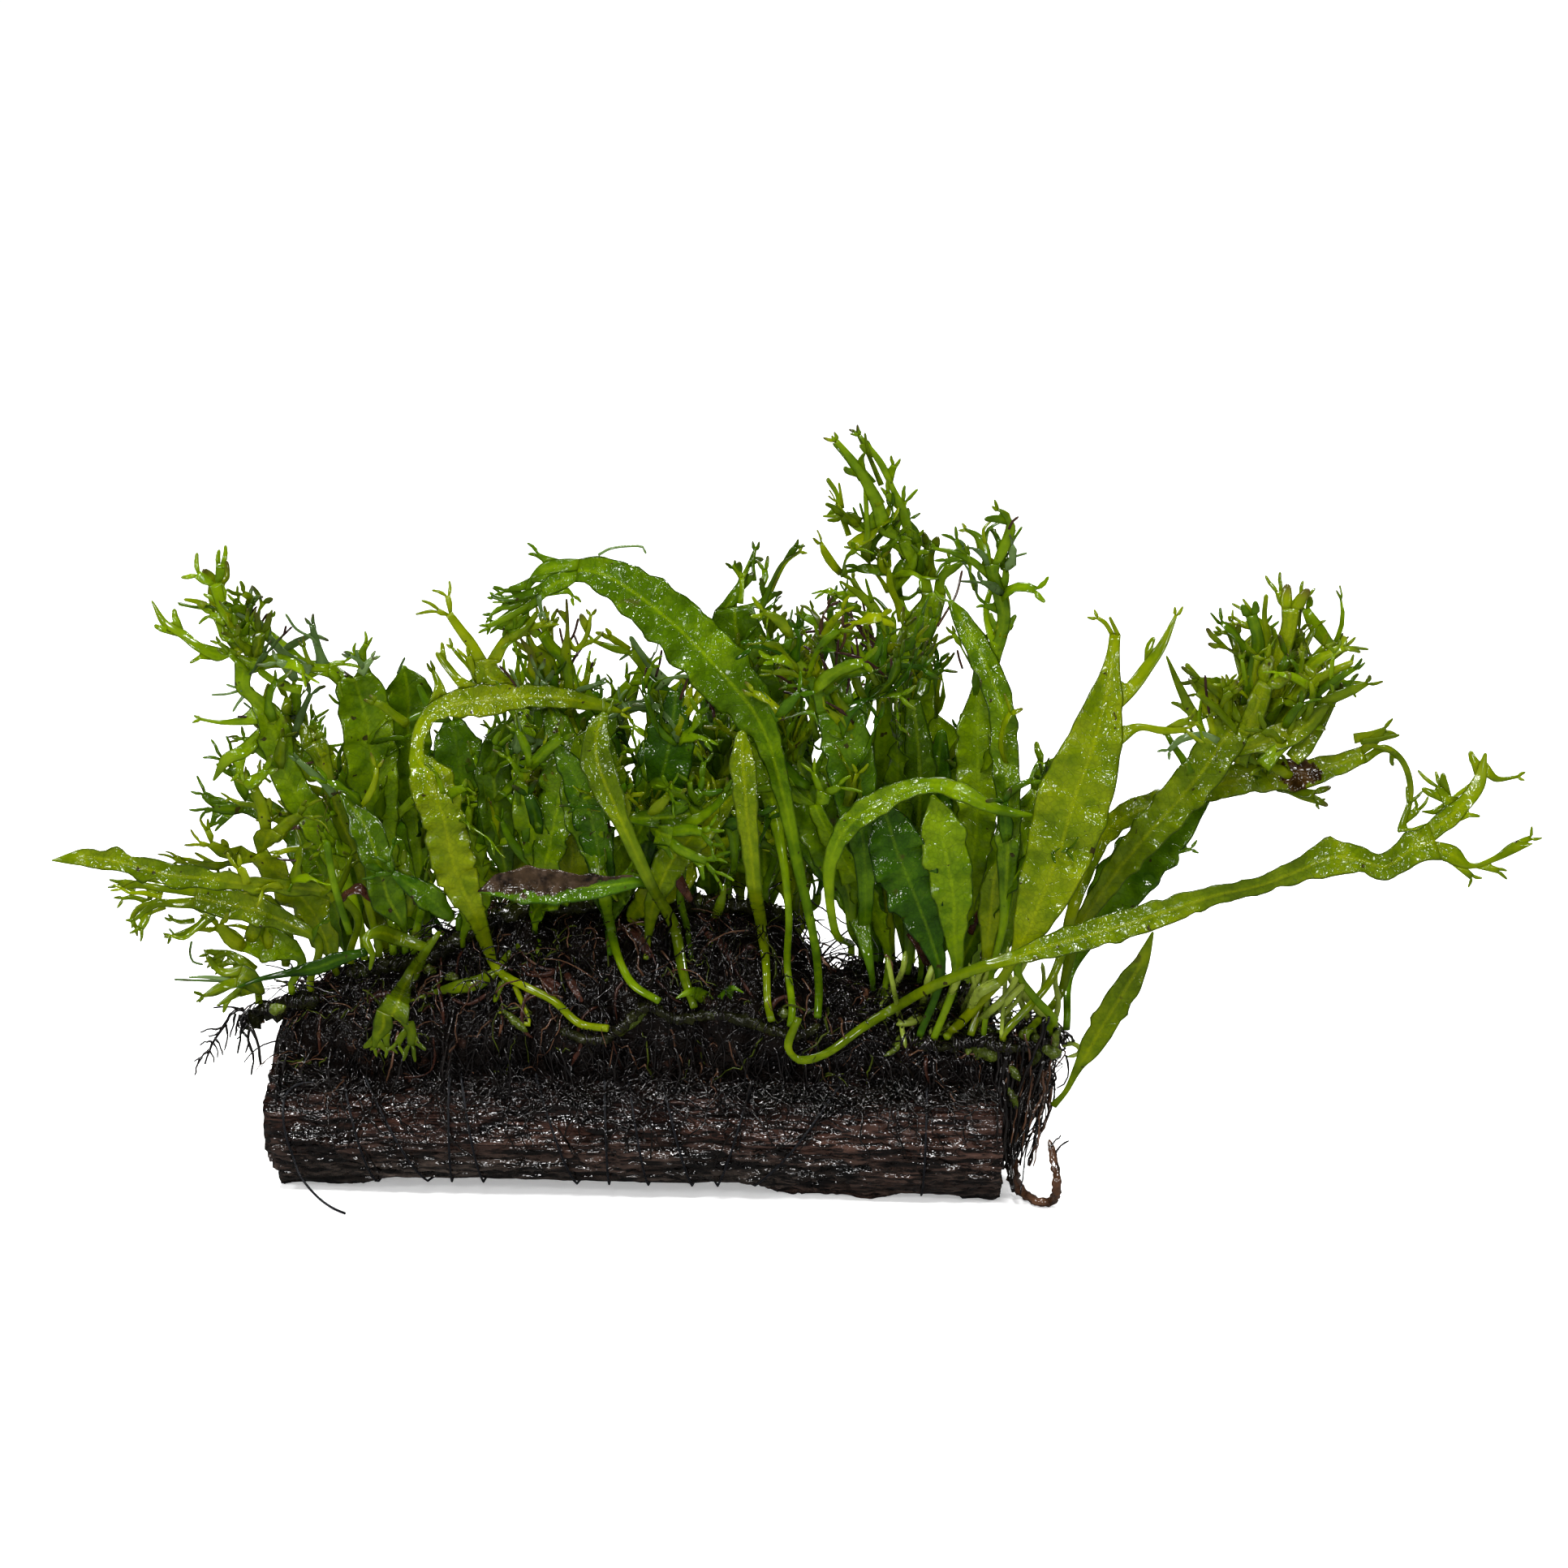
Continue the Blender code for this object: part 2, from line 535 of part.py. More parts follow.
F("frond_left_small_crest", "leaf_bright", ("crown_rhizome", 0.07), [
    (455, 1120, 1, 5, 0), (440, 1058, 0, 8, 0), (418, 1004, -2, 13, 10),
    (404, 962, -3, 9, 10), (396, 932, -4, 12, 0), (386, 914, -4, 16, 0)], [
    ("l", [(374, 898, 7), (365, 878, 3)], []),
    ("r", [(394, 904, 5), (390, 899, 1.5)], []),
    ("L", [(384, 958, 7), (368, 938, 5)], [])])

F("frond_left_broad", "leaf_mid", ("crown_rhizome", 0.10), [
    (482, 1130, 6, 6, 0), (476, 1070, 5, 15, 0), (468, 1020, 4, 22, 5),
    (462, 970, 2, 30, 5), (456, 920, 1, 33, 0), (450, 880, 0, 32, -5),
    (441, 852, -1, 31, -8), (436, 834, -2, 22, -10)], [
    ("l", [(402, 824, 9), (375, 818, 7), (350, 799, 8), (325, 779, 7), (300, 760, 4), (222, 745, 1.5)], []),
    ("r", [(447, 820, 6), (436, 806, 2)], [])])

F("frond_left_round", "leaf_mid", ("crown_rhizome", 0.15), [
    (520, 1110, 12, 6, 0), (516, 1040, 12, 12, 0), (508, 965, 11, 22, 0),
    (503, 905, 9, 28, -5), (503, 862, 8, 30, -8), (500, 837, 7, 22, -10),
    (497, 825, 7, 6, 0)])

F("frond_left_lower_a", "leaf_mid", ("crown_rhizome", 0.13), [
    (496, 1138, -15, 6, 0), (478, 1106, -17, 22, 0), (466, 1062, -18, 19, 5),
    (452, 1022, -17, 20, 5), (434, 994, -16, 10, 0), (418, 976, -15, 2, 0)])

# ---- middle
F("frond_bluish", "leaf_dark", ("crown_rhizome", 0.26), [
    (588, 1095, 0, 6, 0), (582, 1040, -3, 16, 0), (573, 985, -6, 24, 5),
    (566, 942, -8, 30, 5), (561, 910, -9, 27, 0), (557, 888, -9, 12, 0)])

F("frond_mid_left", "leaf_mid", ("crown_rhizome", 0.32), [
    (622, 1080, -6, 7, 0), (616, 1040, -9, 18, 0), (611, 990, -11, 22, -5),
    (608, 950, -12, 22, -5), (613, 915, -12, 17, 0), (624, 888, -12, 4, 0)])

F("frond_mid_low", "leaf_mid", ("crown_rhizome", 0.39), [
    (660, 1075, -12, 7, 0), (658, 1035, -14, 19, 10), (648, 995, -15, 18, 10),
    (641, 960, -15, 4, 0)])

F("frond_purple_tips", "leaf_bright", ("crown_rhizome", 0.50), [
    (682, 1060, -4, 6, 0), (678, 1005, -7, 18, 0), (684, 952, -9, 33, -5),
    (688, 915, -10, 31, -5), (690, 880, -10, 17, 0), (692, 856, -10, 16, 0),
    (690, 838, -10, 18, 0)], [
    ("l", [(674, 815, 10), (656, 800, 7), (651, 784, 2)], [
        ("R", [(676, 790, 6), (678, 765, 4)], [])]),
    ("r", [(697, 806, 7), (699, 780, 3), (698, 740, 1.5)], [
        ("R", [(710, 800, 4), (722, 785, 3), (728, 758, 1.5)], [])]),
    ("L", [(657, 828, 7), (655, 808, 5), (641, 786, 1.5)], []),
    ("R", [(718, 850, 5), (728, 820, 2)], [])])

F("frond_grey_crest", "leaf_mid", ("crown_rhizome", 0.70), [
    (812, 1040, 8, 6, 0), (816, 980, 6, 15, 0), (818, 920, 4, 24, -5),
    (816, 872, 2, 20, -5), (806, 838, 1, 10, 0), (793, 818, 0, 8, 0), (779, 802, 0, 7, 0)], [
    ("l", [(760, 800, 5), (731, 790, 2)], []),
    ("r", [(778, 789, 2)], [])])

F("frond_centre_dark", "leaf_dark", ("crown_rhizome", 0.65), [
    (792, 1075, -9, 6, 0), (800, 1020, -12, 18, 0), (815, 960, -14, 32, 5),
    (826, 910, -15, 30, 5), (831, 872, -15, 16, 0), (833, 852, -15, 10, 0)], [
    ("l", [(806, 842, 6), (796, 828, 2)], []),
    ("r", [(842, 845, 5), (851, 827, 2)], [])])

F("frond_centre_flat", "leaf_mid", ("crown_rhizome", 0.83), [
    (905, 1060, -15, 5, 0), (898, 1012, -19, 9, 0), (866, 1002, -20, 16, 10),
    (830, 1006, -20.5, 15, 15), (795, 1008, -20.5, 10, 10), (762, 1008, -20, 2, 0)])

F("frond_behind_arch", "leaf_mid", ("crown_rhizome", 0.91), [
    (958, 1040, -5, 6, 0), (955, 985, -7, 16, 0), (948, 930, -9, 25, -5),
    (936, 880, -10, 34, -5), (922, 830, -11, 36, 0), (908, 780, -12, 32, 5),
    (905, 748, -12, 25, 5)], [
    ("l", [(911, 725, 9), (920, 702, 4), (930, 678, 2)], [
        ("L", [(912, 712, 3), (904, 700, 1.5)], [])]),
    ("r", [(938, 745, 9), (950, 720, 4), (964, 694, 3), (984, 680, 1.5)], [])])

F("frond_pale_crest", "leaf_bright", ("crown_rhizome", 0.97), [
    (990, 1060, 6, 5, 0), (988, 1000, 5, 13, 0), (982, 940, 4, 20, 0),
    (974, 885, 3, 20, 0), (966, 840, 2, 20, 0), (961, 815, 2, 18, 0)], [
    ("l", [(948, 790, 7), (955, 751, 2)], []),
    ("r", [(978, 796, 8), (985, 758, 2)], []),
    ("R", [(984, 818, 5), (1000, 806, 2)], [])])

F("frond_centre_right", "leaf_mid", ("right_crown_rhizome", 0.12), [
    (1050, 1145, -10, 6, 0), (1046, 1100, -13, 11, 0), (1030, 1060, -15, 24, 5),
    (1010, 1015, -16, 28, 5), (994, 970, -16, 27, 0), (982, 935, -16, 8, 0)])

F("frond_centre_fan", "leaf_dark", ("right_crown_rhizome", 0.22), [
    (1066, 1150, -5, 8, 0), (1067, 1105, -8, 10, 0), (1065, 1050, -10, 15, 0),
    (1056, 990, -12, 26, 0), (1048, 940, -13, 30, 0), (1040, 900, -13, 30, 0),
    (1030, 872, -13, 26, 0)], [
    ("l", [(1008, 850, 14), (990, 832, 8), (972, 812, 4), (958, 792, 2)], []),
    ("r", [(1036, 832, 14), (1028, 802, 11), (1016, 776, 9), (1001, 754, 3)], [
        ("R", [(1044, 812, 5), (1036, 788, 2)], [])]),
    ("R", [(1068, 850, 8), (1080, 826, 6), (1094, 806, 2)], []),
    ("L", [(1000, 878, 5), (963, 887, 1.5)], [])])

# ---- right group
F("frond_tallest", "leaf_mid", ("right_crown_rhizome", 0.48), [
    (1124, 1120, 2, 7, 0), (1119, 1060, 1, 16, 0), (1113, 1000, 0, 14, 0),
    (1115, 950, -1, 9, 10), (1122, 912, -2, 14, 0), (1130, 872, -3, 22, 0),
    (1126, 832, -4, 24, 0), (1124, 800, -4, 22, 0), (1134, 772, -4, 20, 0),
    (1147, 748, -4, 16, 0), (1150, 730, -4, 15, 0)], [
    ("l", [(1139, 712, 9), (1126, 690, 13), (1116, 664, 14)], [
        ("l", [(1090, 650, 13), (1080, 620, 11), (1066, 592, 9), (1048, 565, 7), (1030, 543, 2)], [
            ("L", [(1060, 650, 8), (1038, 636, 6), (1016, 636, 2)], [
                ("R", [(1034, 616, 5), (1020, 592, 3)], [])]),
            ("L", [(1066, 672, 5), (1042, 674, 1.5)], [])]),
        ("r", [(1113, 632, 9), (1100, 602, 5), (1086, 572, 6), (1059, 536, 2)], [])]),
    ("r", [(1160, 712, 8), (1175, 700, 7), (1188, 692, 3)], []),
    ("L", [(1106, 792, 10), (1086, 764, 9), (1068, 740, 8), (1037, 717, 2)], []),
    ("L", [(1116, 757, 8), (1105, 732, 8), (1094, 702, 4)], []),
    ("L", [(1094, 806, 4), (1042, 758, 1.5)], [])])

F("frond_right_ribbon", "leaf_mid", ("right_rhizome", 0.42), [
    (1222, 1200, -19, 5, 0), (1236, 1140, -22, 7, 0), (1240, 1088, -23, 13, 0),
    (1242, 1040, -24, 20, 5), (1243, 990, -24, 20, 5), (1238, 932, -23, 23, 0),
    (1235, 880, -22, 22, -5), (1221, 834, -21, 22, -8), (1200, 790, -20, 20, -5),
    (1183, 760, -19, 14, 0), (1170, 740, -18, 4, 0)], [
    ("R", [(1233, 786, 9), (1237, 760, 10), (1232, 735, 10), (1224, 712, 9), (1222, 695, 12)], [
        ("l", [(1212, 674, 8), (1204, 660, 5), (1191, 652, 1.5)], []),
        ("r", [(1238, 672, 8), (1246, 648, 6), (1233, 629, 2)], []),
        ("L", [(1196, 690, 5), (1172, 680, 4), (1150, 676, 2)], [])])])

F("frond_right_pointed", "leaf_mid", ("right_crown_rhizome", 0.86), [
    (1190, 1140, -6, 6, 0), (1196, 1080, -9, 16, 0), (1204, 1010, -11, 24, 5),
    (1205, 950, -12, 27, 0), (1204, 900, -12, 26, -5), (1207, 860, -12, 15, -5),
    (1209, 824, -12, 1.5, 0)])

F("frond_right_mottled", "leaf_mid", ("right_crown_rhizome", 0.68), [
    (1170, 1140, 2, 6, 0), (1180, 1070, 1, 14, 0), (1180, 1005, 0, 24, 0),
    (1172, 950, -1, 27, 0), (1160, 905, -1, 20, 0), (1150, 880, -1, 4, 0)])

F("frond_spotted_left", "leaf_dark", ("right_rhizome", 0.05), [
    (1158, 1206, None, 6, 0), (1148, 1160, -19, 16, 0), (1126, 1100, -21, 33, 5),
    (1106, 1050, -22, 35, 5), (1095, 1015, -22, 25, 0), (1086, 988, -22, 5, 0)])

F("frond_spotted_right", "leaf_mid", ("right_rhizome", 0.13), [
    (1178, 1205, None, 6, 0), (1176, 1150, -22, 14, 0), (1174, 1100, -24, 25, 0),
    (1165, 1050, -25, 29, 0), (1158, 1012, -25, 24, 0), (1150, 984, -25, 5, 0)])

F("frond_right_short", "leaf_bright", ("right_rhizome", 0.30), [
    (1212, 1222, None, 5, 0), (1217, 1165, -27, 8, 0), (1221, 1118, -28, 16, 0),
    (1226, 1080, -29, 12, 0), (1236, 1054, -29, 2, 0)])

F("frond_right_crossed_stalk", "leaf_mid", ("right_rhizome", 0.86), [
    (1300, 1258, -15, 5, 0), (1272, 1226, -19, 5, 0), (1254, 1196, -21, 5, 0),
    (1262, 1140, -22, 8, 0), (1268, 1090, -22, 13, 0), (1262, 1045, -22, 10, 0),
    (1256, 1012, -22, 2, 0)])

F("frond_right_cluster", "leaf_bright", ("right_rhizome", 0.70), [
    (1306, 1225, -6, 5, 0), (1326, 1150, -8, 9, 0), (1368, 1085, -11, 15, 0),
    (1412, 1030, -14, 22, 0), (1450, 988, -15, 25, 0), (1480, 952, -16, 26, 0),
    (1504, 918, -16, 25, 0), (1520, 895, -16, 24, 0)], [
    ("l", [(1500, 876, 14), (1487, 856, 8), (1463, 820, 3)], [
        ("L", [(1474, 884, 7), (1456, 852, 5), (1438, 810, 1.5)], []),
        ("R", [(1505, 862, 6), (1515, 846, 3)], [])]),
    ("r", [(1548, 862, 24), (1572, 830, 30)], [
        ("l", [(1552, 796, 17), (1556, 776, 10), (1542, 758, 3)], [
            ("L", [(1526, 800, 8), (1514, 778, 4), (1506, 779, 1.5)], [])]),
        ("r", [(1594, 806, 18), (1588, 776, 10), (1588, 750, 6)], [
            ("R", [(1622, 822, 8), (1646, 804, 6), (1660, 797, 3)], [])]),
        ("R", [(1612, 850, 10), (1640, 838, 7), (1662, 843, 3)], [])]),
    ("R", [(1585, 905, 16), (1612, 892, 10), (1645, 853, 2)], [])])

F("frond_right_middle", "leaf_bright", ("right_rhizome", 0.62), [
    (1296, 1205, -17, 5, 0), (1325, 1110, -21, 8, 0), (1358, 1030, -24, 14, 10),
    (1400, 1000, -25, 16, 15), (1450, 984, -25, 15, 15), (1500, 967, -25, 19, 5),
    (1550, 956, -25, 20, 0), (1600, 954, -25, 20, 0), (1642, 944, -25, 14, 0),
    (1680, 930, -24, 11, 0)], [
    ("l", [(1694, 911, 7), (1706, 899, 2)], [
        ("R", [(1720, 907, 2)], [])]),
    ("r", [(1706, 922, 5), (1728, 938, 4), (1738, 970, 4), (1735, 1008, 2)], [])])

F("frond_right_dark_behind", "leaf_dark", ("right_rhizome", 0.94), [
    (1318, 1200, 0, 6, 0), (1344, 1148, -1, 15, 0), (1374, 1098, -3, 32, 0),
    (1412, 1052, -5, 35, 0), (1450, 1014, -7, 26, 0), (1480, 984, -8, 12, 0),
    (1500, 964, -8, 3, 0)], [
    ("R", [(1440, 1052, 6), (1468, 1046, 2)], [])])

F("frond_lower_right", "leaf_bright", ("bundle", 0.0), [
    (1313, 1345, -13, 3.5, 0), (1328, 1316, -15, 6, 0), (1346, 1287, -17, 14, 5),
    (1366, 1252, -19, 17, 5), (1390, 1214, -21, 16, 0), (1408, 1182, -22, 9, 0),
    (1420, 1150, -23, 2, 0)])

# ---- back of the plant
F("frond_rear_a", "leaf_dark", ("rear_rhizome", 0.03), [
    (524, 1120, 20, 6, 0), (512, 1050, 26, 18, 170), (500, 985, 31, 24, 175),
    (490, 925, 35, 18, 180), (482, 880, 38, 3, 180)])

F("frond_rear_b", "leaf_mid", ("rear_rhizome", 0.22), [
    (618, 1100, 20, 6, 0), (622, 1030, 25, 18, 180), (630, 965, 29, 24, 185),
    (640, 905, 33, 22, 190), (650, 870, 35, 14, 180)], [
    ("l", [(640, 850, 6), (634, 830, 2)], []),
    ("r", [(658, 848, 7), (668, 826, 2)], [])])

F("frond_rear_c", "leaf_bright", ("rear_rhizome", 0.42), [
    (724, 1090, 20, 6, 0), (728, 1020, 23, 18, 175), (742, 955, 27, 26, 170),
    (758, 900, 31, 20, 170), (768, 870, 33, 3, 180)])

F("frond_rear_d", "leaf_dark", ("rear_rhizome", 0.62), [
    (838, 1090, 21, 6, 0), (850, 1010, 26, 20, 185), (868, 940, 30, 27, 190),
    (884, 870, 33, 24, 190), (892, 820, 36, 14, 180)], [
    ("l", [(880, 796, 6), (872, 776, 2)], []),
    ("r", [(902, 796, 7), (906, 770, 2)], [])])

F("frond_rear_e", "leaf_mid", ("rear_rhizome", 0.90), [
    (1006, 1110, 20, 6, 0), (1016, 1040, 25, 18, 180), (1030, 960, 29, 24, 175),
    (1046, 900, 32, 20, 170), (1056, 850, 35, 3, 180)])

# ---- frond geometry
class Sheet:
    def __init__(self):
        self.v = []
        self.h = []
        self.f = []

    def add(self, p, half):
        self.v.append(p)
        self.h.append(half)
        return len(self.v) - 1


def cross_vector(p, t, roll):
    v = (p - EYE).normalized()
    left = t.cross(v)
    if left.length < 1e-4:
        left = Vector((-1, 0, 0))
    left.normalize()
    away = left.cross(t)
    away.normalize()
    r = math.radians(roll)
    return left * math.cos(r) + away * math.sin(r)


def strip(sheet, root, rows, half_at, branches, seed):
    # rows: (point, half width mm, roll); root: (left, right) or None
    pts = [r[0] for r in rows]
    n = len(rows)
    lefts, rights = [], []
    start = 0
    if root is not None:
        lefts.append(root[0])
        rights.append(root[1])
        prev = (sheet.v[root[0]] + sheet.v[root[1]]) * 0.5
    for i in range(n):
        a = pts[i - 1] if i > 0 else (prev if root is not None else pts[0])
        b = pts[i + 1] if i < n - 1 else pts[i]
        t = (b - a).normalized()
        c = cross_vector(pts[i], t, rows[i][2])
        w = rows[i][1]
        h = half_at(i / max(1.0, n - 1.0))
        lefts.append(sheet.add(pts[i] + c * w, h))
        rights.append(sheet.add(pts[i] - c * w, h))
    ends = [b for b in branches if b[0] in "lr"]
    lobes = [b for b in branches if b[0] in "LR"]
    m = len(lefts)
    mid = None
    if len(ends) == 2:
        mid = sheet.add((sheet.v[lefts[-1]] + sheet.v[rights[-1]]) * 0.5, sheet.h[lefts[-1]])
    for i in range(m - 1):
        l0, r0, r1, l1 = lefts[i], rights[i], rights[i + 1], lefts[i + 1]
        if i == m - 2 and mid is not None:
            sheet.f += [(l0, r0, mid), (r0, r1, mid), (l0, mid, l1)]
        else:
            sheet.f += [(l0, r0, r1), (l0, r1, l1)]
    used = set()
    for k, b in enumerate(ends):
        if mid is None:
            rt = (lefts[-1], rights[-1])
        else:
            rt = (lefts[-1], mid) if b[0] == "l" else (mid, rights[-1])
        grow(sheet, rt, b, seed + 3.1 * (k + 1))
    for k, b in enumerate(lobes):
        side = lefts if b[0] == "L" else rights
        best, pick = 1e9, None
        u, v = b[1][0][0], b[1][0][1]
        for i in range(m - 1):
            if (b[0], i) in used or (root is not None and i == 0):
                continue
            q = (sheet.v[side[i]] + sheet.v[side[i + 1]]) * 0.5
            g = project(q)
            d = math.hypot(g[0] - u, g[1] - v)
            if d < best:
                best, pick = d, i
        used.add((b[0], pick))
        i = pick
        rt = (side[i], side[i + 1]) if b[0] == "L" else (side[i + 1], side[i])
        grow(sheet, rt, b, seed + 5.7 * (k + 1))


def project(p):
    d = p - EYE
    z = d.dot(FWD)
    return (VIEW_MID + VIEW_F * d.dot(RIGHT) / z, VIEW_MID - VIEW_F * d.dot(UP) / z)


def grow(sheet, root, branch, seed):
    where, pts, subs = branch
    c = (sheet.v[root[0]] + sheet.v[root[1]]) * 0.5
    y = c.y
    slope = 0.42 * wobble(seed, pts[-1][0] * 0.37, pts[-1][1] * 0.11)
    rows = []
    last = c
    for (u, v, w) in pts:
        guess = spot(u, v, y)
        y += slope * (guess - last).length
        p = spot(u, v, y)
        rows.append((p, w * unit_at(p), 12.0 * wobble(seed, u, v)))
        last = p
    h0 = sheet.h[root[0]]
    strip(sheet, root, rows, lambda t: max(0.2, h0 * (1.0 - 0.35 * t)), subs, seed + 1.3)


def frond_rows(frond, push, slide, lift, tree):
    name, slot, base, path, branches = frond
    if base[0] == "bundle":
        b0 = spot(1298, 1362, -11.8)
        out = Vector((0.8, -0.45, 0.4)).normalized()
    else:
        b0, out = rhizome_base(base[0], min(1.0, max(0.0, base[1] + slide)))
        b0 = b0 + out * lift
    w0 = 4.6 * unit_at(b0)
    rows = [(b0, w0, 0.0)]
    hugging = path[0][2] is None
    if not hugging and base[0] != "bundle":
        rows.append((b0 + out * 2.2, w0, 0.0))
    total = float(len(path))
    for i, (u, v, y, w, roll) in enumerate(path):
        f = smooth(0.0, 0.35 * total, i + 1.0)
        if y is None:
            p = hug(tree, u, v, 1.5 + lift - push * f)
            if p is None:
                p = spot(u, v, -19.0 + push * f)
        else:
            p = spot(u, v, y + push * f)
        c = max(0.35, abs(math.cos(math.radians(roll))))
        rows.append((p, w * unit_at(p) / c, roll))
    return rows


def frond_sheet(frond, push, slide, lift, tree):
    rows = frond_rows(frond, push, slide, lift, tree)
    sh = Sheet()
    widest = max(r[1] for r in rows)

    def half_at(t):
        return STALK_HALF + (BLADE_HALF - STALK_HALF) * smooth(0.15, 0.5, t)

    strip(sh, None, rows, half_at, frond[4], 1.7 * len(frond[0]) + 0.9 * len(frond[3]))
    return sh


def thicken(sh, extra):
    n = len(sh.v)
    nor = [Vector((0, 0, 0)) for _ in range(n)]
    edges = {}
    for f in sh.f:
        a, b, c = (sh.v[i] for i in f)
        q = (b - a).cross(c - a)
        for i in f:
            nor[i] += q
        for i in range(3):
            e = (f[i], f[(i + 1) % 3])
            edges[e] = edges.get(e, 0) + 1
    verts = []
    for i in range(n):
        q = nor[i].normalized()
        verts.append(sh.v[i] + q * (sh.h[i] + extra))
    for i in range(n):
        q = nor[i].normalized()
        verts.append(sh.v[i] - q * (sh.h[i] + extra))
    faces = [f for f in sh.f]
    faces += [(f[2] + n, f[1] + n, f[0] + n) for f in sh.f]
    for (a, b) in edges:
        if (b, a) not in edges:
            faces += [(b, a, a + n), (b, a + n, b + n)]
    return verts, faces


# ------------------------------------------------------------ thread
# grid u where each pass of the thread leaves the mat at the front and where
# it turns under the log
PASSES = [(418, 466), (446, 540), (551, 553), (566, 598), (660, 720), (744, 750),
          (774, 803), (816, 860), (926, 874), (1036, 906), (1142, 1136)]


def thread_r(x, a):
    return bark_r(x, a) + 0.5 * THREAD_D + 0.85


def build_thread():
    pts = []
    a_top, a_low = 40.0, -62.0
    for k, (u0, u1) in enumerate(PASSES):
        x0, x1 = grid_x(u0, -14.0), grid_x(u1, -10.0)
        n = 6
        for i in range(n):
            t = i / float(n)
            a = math.radians(a_top + (a_low - a_top) * t)
            x = x0 + (x1 - x0) * t
            pts.append(round_log(x, a, thread_r(x, a)))
        if k == len(PASSES) - 1:
            a = math.radians(a_low)
            pts.append(round_log(x1, a, thread_r(x1, a)))
            break
        x2 = grid_x(PASSES[k + 1][0], -14.0)
        n = 14
        for i in range(n):
            t = i / float(n)
            a = math.radians(a_low + (-360.0 + a_top - a_low) * t)
            x = x1 + (x2 - x1) * t
            pts.append(round_log(x, a, thread_r(x, a)))
    for p in pts:
        p.z = max(p.z, 0.32)
    return tube(pts, [0.5 * THREAD_D] * len(pts), 4)


def tail_route(tree):
    keys = [hug(tree, u, v, 0.8) for u, v in ((386, 1334), (364, 1337), (351, 1352),
                                              (349, 1376), (353, 1402), (361, 1425))]
    keys += [
            spot(369, 1447, -12.4), spot(381, 1464, -13.2), spot(396, 1479, -13.4),
            spot_z(411, 1489, 0.4), spot_z(425, 1495, 0.3)]
    return keys


def build_tail(tree, parent):
    keys = tail_route(tree)
    length = sum((b - a).length for a, b in zip(keys, keys[1:]))
    n = int(length / (2.7 * THREAD_D)) + 2
    pts = spline(keys, n)
    cu = bpy.data.curves.new("thread_tail", "CURVE")
    cu.dimensions = "3D"
    cu.bevel_depth = 0.5 * THREAD_D * MM
    cu.bevel_resolution = 2
    cu.resolution_u = 1
    cu.render_resolution_u = 0
    cu.use_fill_caps = True
    sp = cu.splines.new("POLY")
    sp.points.add(len(pts) - 1)
    for q, p in zip(sp.points, pts):
        q.co = (p.x * MM, p.y * MM, max(p.z, 0.27) * MM, 1.0)
    cu.materials.append(material_of("thread"))
    ob = bpy.data.objects.new("thread_tail", cu)
    bpy.context.scene.collection.objects.link(ob)
    ob.parent = parent
    COUNT["thread_tail"] = (len(pts) - 1) * 16 + 12
    return pts


# ------------------------------------------------------------ assembly
def main():
    for ob in list(bpy.data.objects):
        bpy.data.objects.remove(ob, do_unlink=True)
    root = bpy.data.objects.new("fern_frame", None)
    bpy.context.scene.collection.objects.link(root)

    parts = {}
    parts["driftwood_log"] = (build_log(), "bark")
    parts["root_mat"] = (build_mat(), "roots")
    parts["end_root_bundle"] = (build_bundle(), "roots")
    parts["hanging_root_loop"] = (build_root_loop(), "roots")
    lv, lf = parts["driftwood_log"][0]
    mv, mf = parts["root_mat"][0]
    solid = bvh(list(lv) + list(mv), lf + [tuple(i + len(lv) for i in f) for f in mf])
    for name, m in build_rhizomes(solid).items():
        parts[name] = (m, "rhizome")
    parts["tie_thread"] = (build_thread(), "thread")

    # each frond is set nearer or farther in depth until it stands clear of
    # everything placed before it
    placed = [bvh(v, f) for (v, f), s in parts.values()]
    tail = spline(tail_route(solid), 40)
    placed.append(bvh(*tube(tail, [0.3] * 40, 6)))
    shifts = {}
    tries = []
    for k in range(0, 81):
        step = 0.5 * ((k + 1) // 2)
        for slide in (0.0, 0.02, -0.02, 0.045, -0.045, 0.08, -0.08, 0.12, -0.12):
            for lift in (0.0, 0.9, 2.0, 3.5):
                cost = step + 60.0 * abs(slide) + 1.6 * lift
                tries.append((cost, -step if k % 2 else step, slide, lift))
    tries.sort(key=lambda q: q[0])
    for frond in FRONDS:
        best = None
        for cost, push, slide, lift in tries:
            sh = frond_sheet(frond, push, slide, lift, solid)
            tree = bvh(*thicken(sh, GAP))
            hits = sum(len(tree.overlap(o)) for o in placed)
            if best is None or hits < best[0]:
                best = (hits, push, sh)
            if hits == 0:
                break
        hits, push, sh = best
        shifts[frond[0]] = (push, hits)
        m = thicken(sh, 0.0)
        placed.append(bvh(*m))
        parts[frond[0]] = (m, frond[1])

    lo = Vector((1e9, 1e9, 1e9))
    hi = -lo
    for (v, f), s in parts.values():
        for p in v:
            for i in range(3):
                lo[i] = min(lo[i], p[i])
                hi[i] = max(hi[i], p[i])
    root.location = (-0.5 * (lo.x + hi.x) * MM, -0.5 * (lo.y + hi.y) * MM, 0.0)
    for name, ((v, f), slot) in parts.items():
        add_mesh(name, v, f, slot, root, flat=(name == "driftwood_log"))
    build_tail(solid, root)
    return shifts, lo, hi


if __name__ == "__main__":
    SHIFTS, LOW, HIGH = main()
    print("pieces", len(COUNT), "triangles", sum(COUNT.values()))
    for key, (amount, left) in SHIFTS.items():
        if left:
            print(key, "touches a neighbour", amount)
    print("box", tuple(round(c, 2) for c in LOW), tuple(round(c, 2) for c in HIGH))
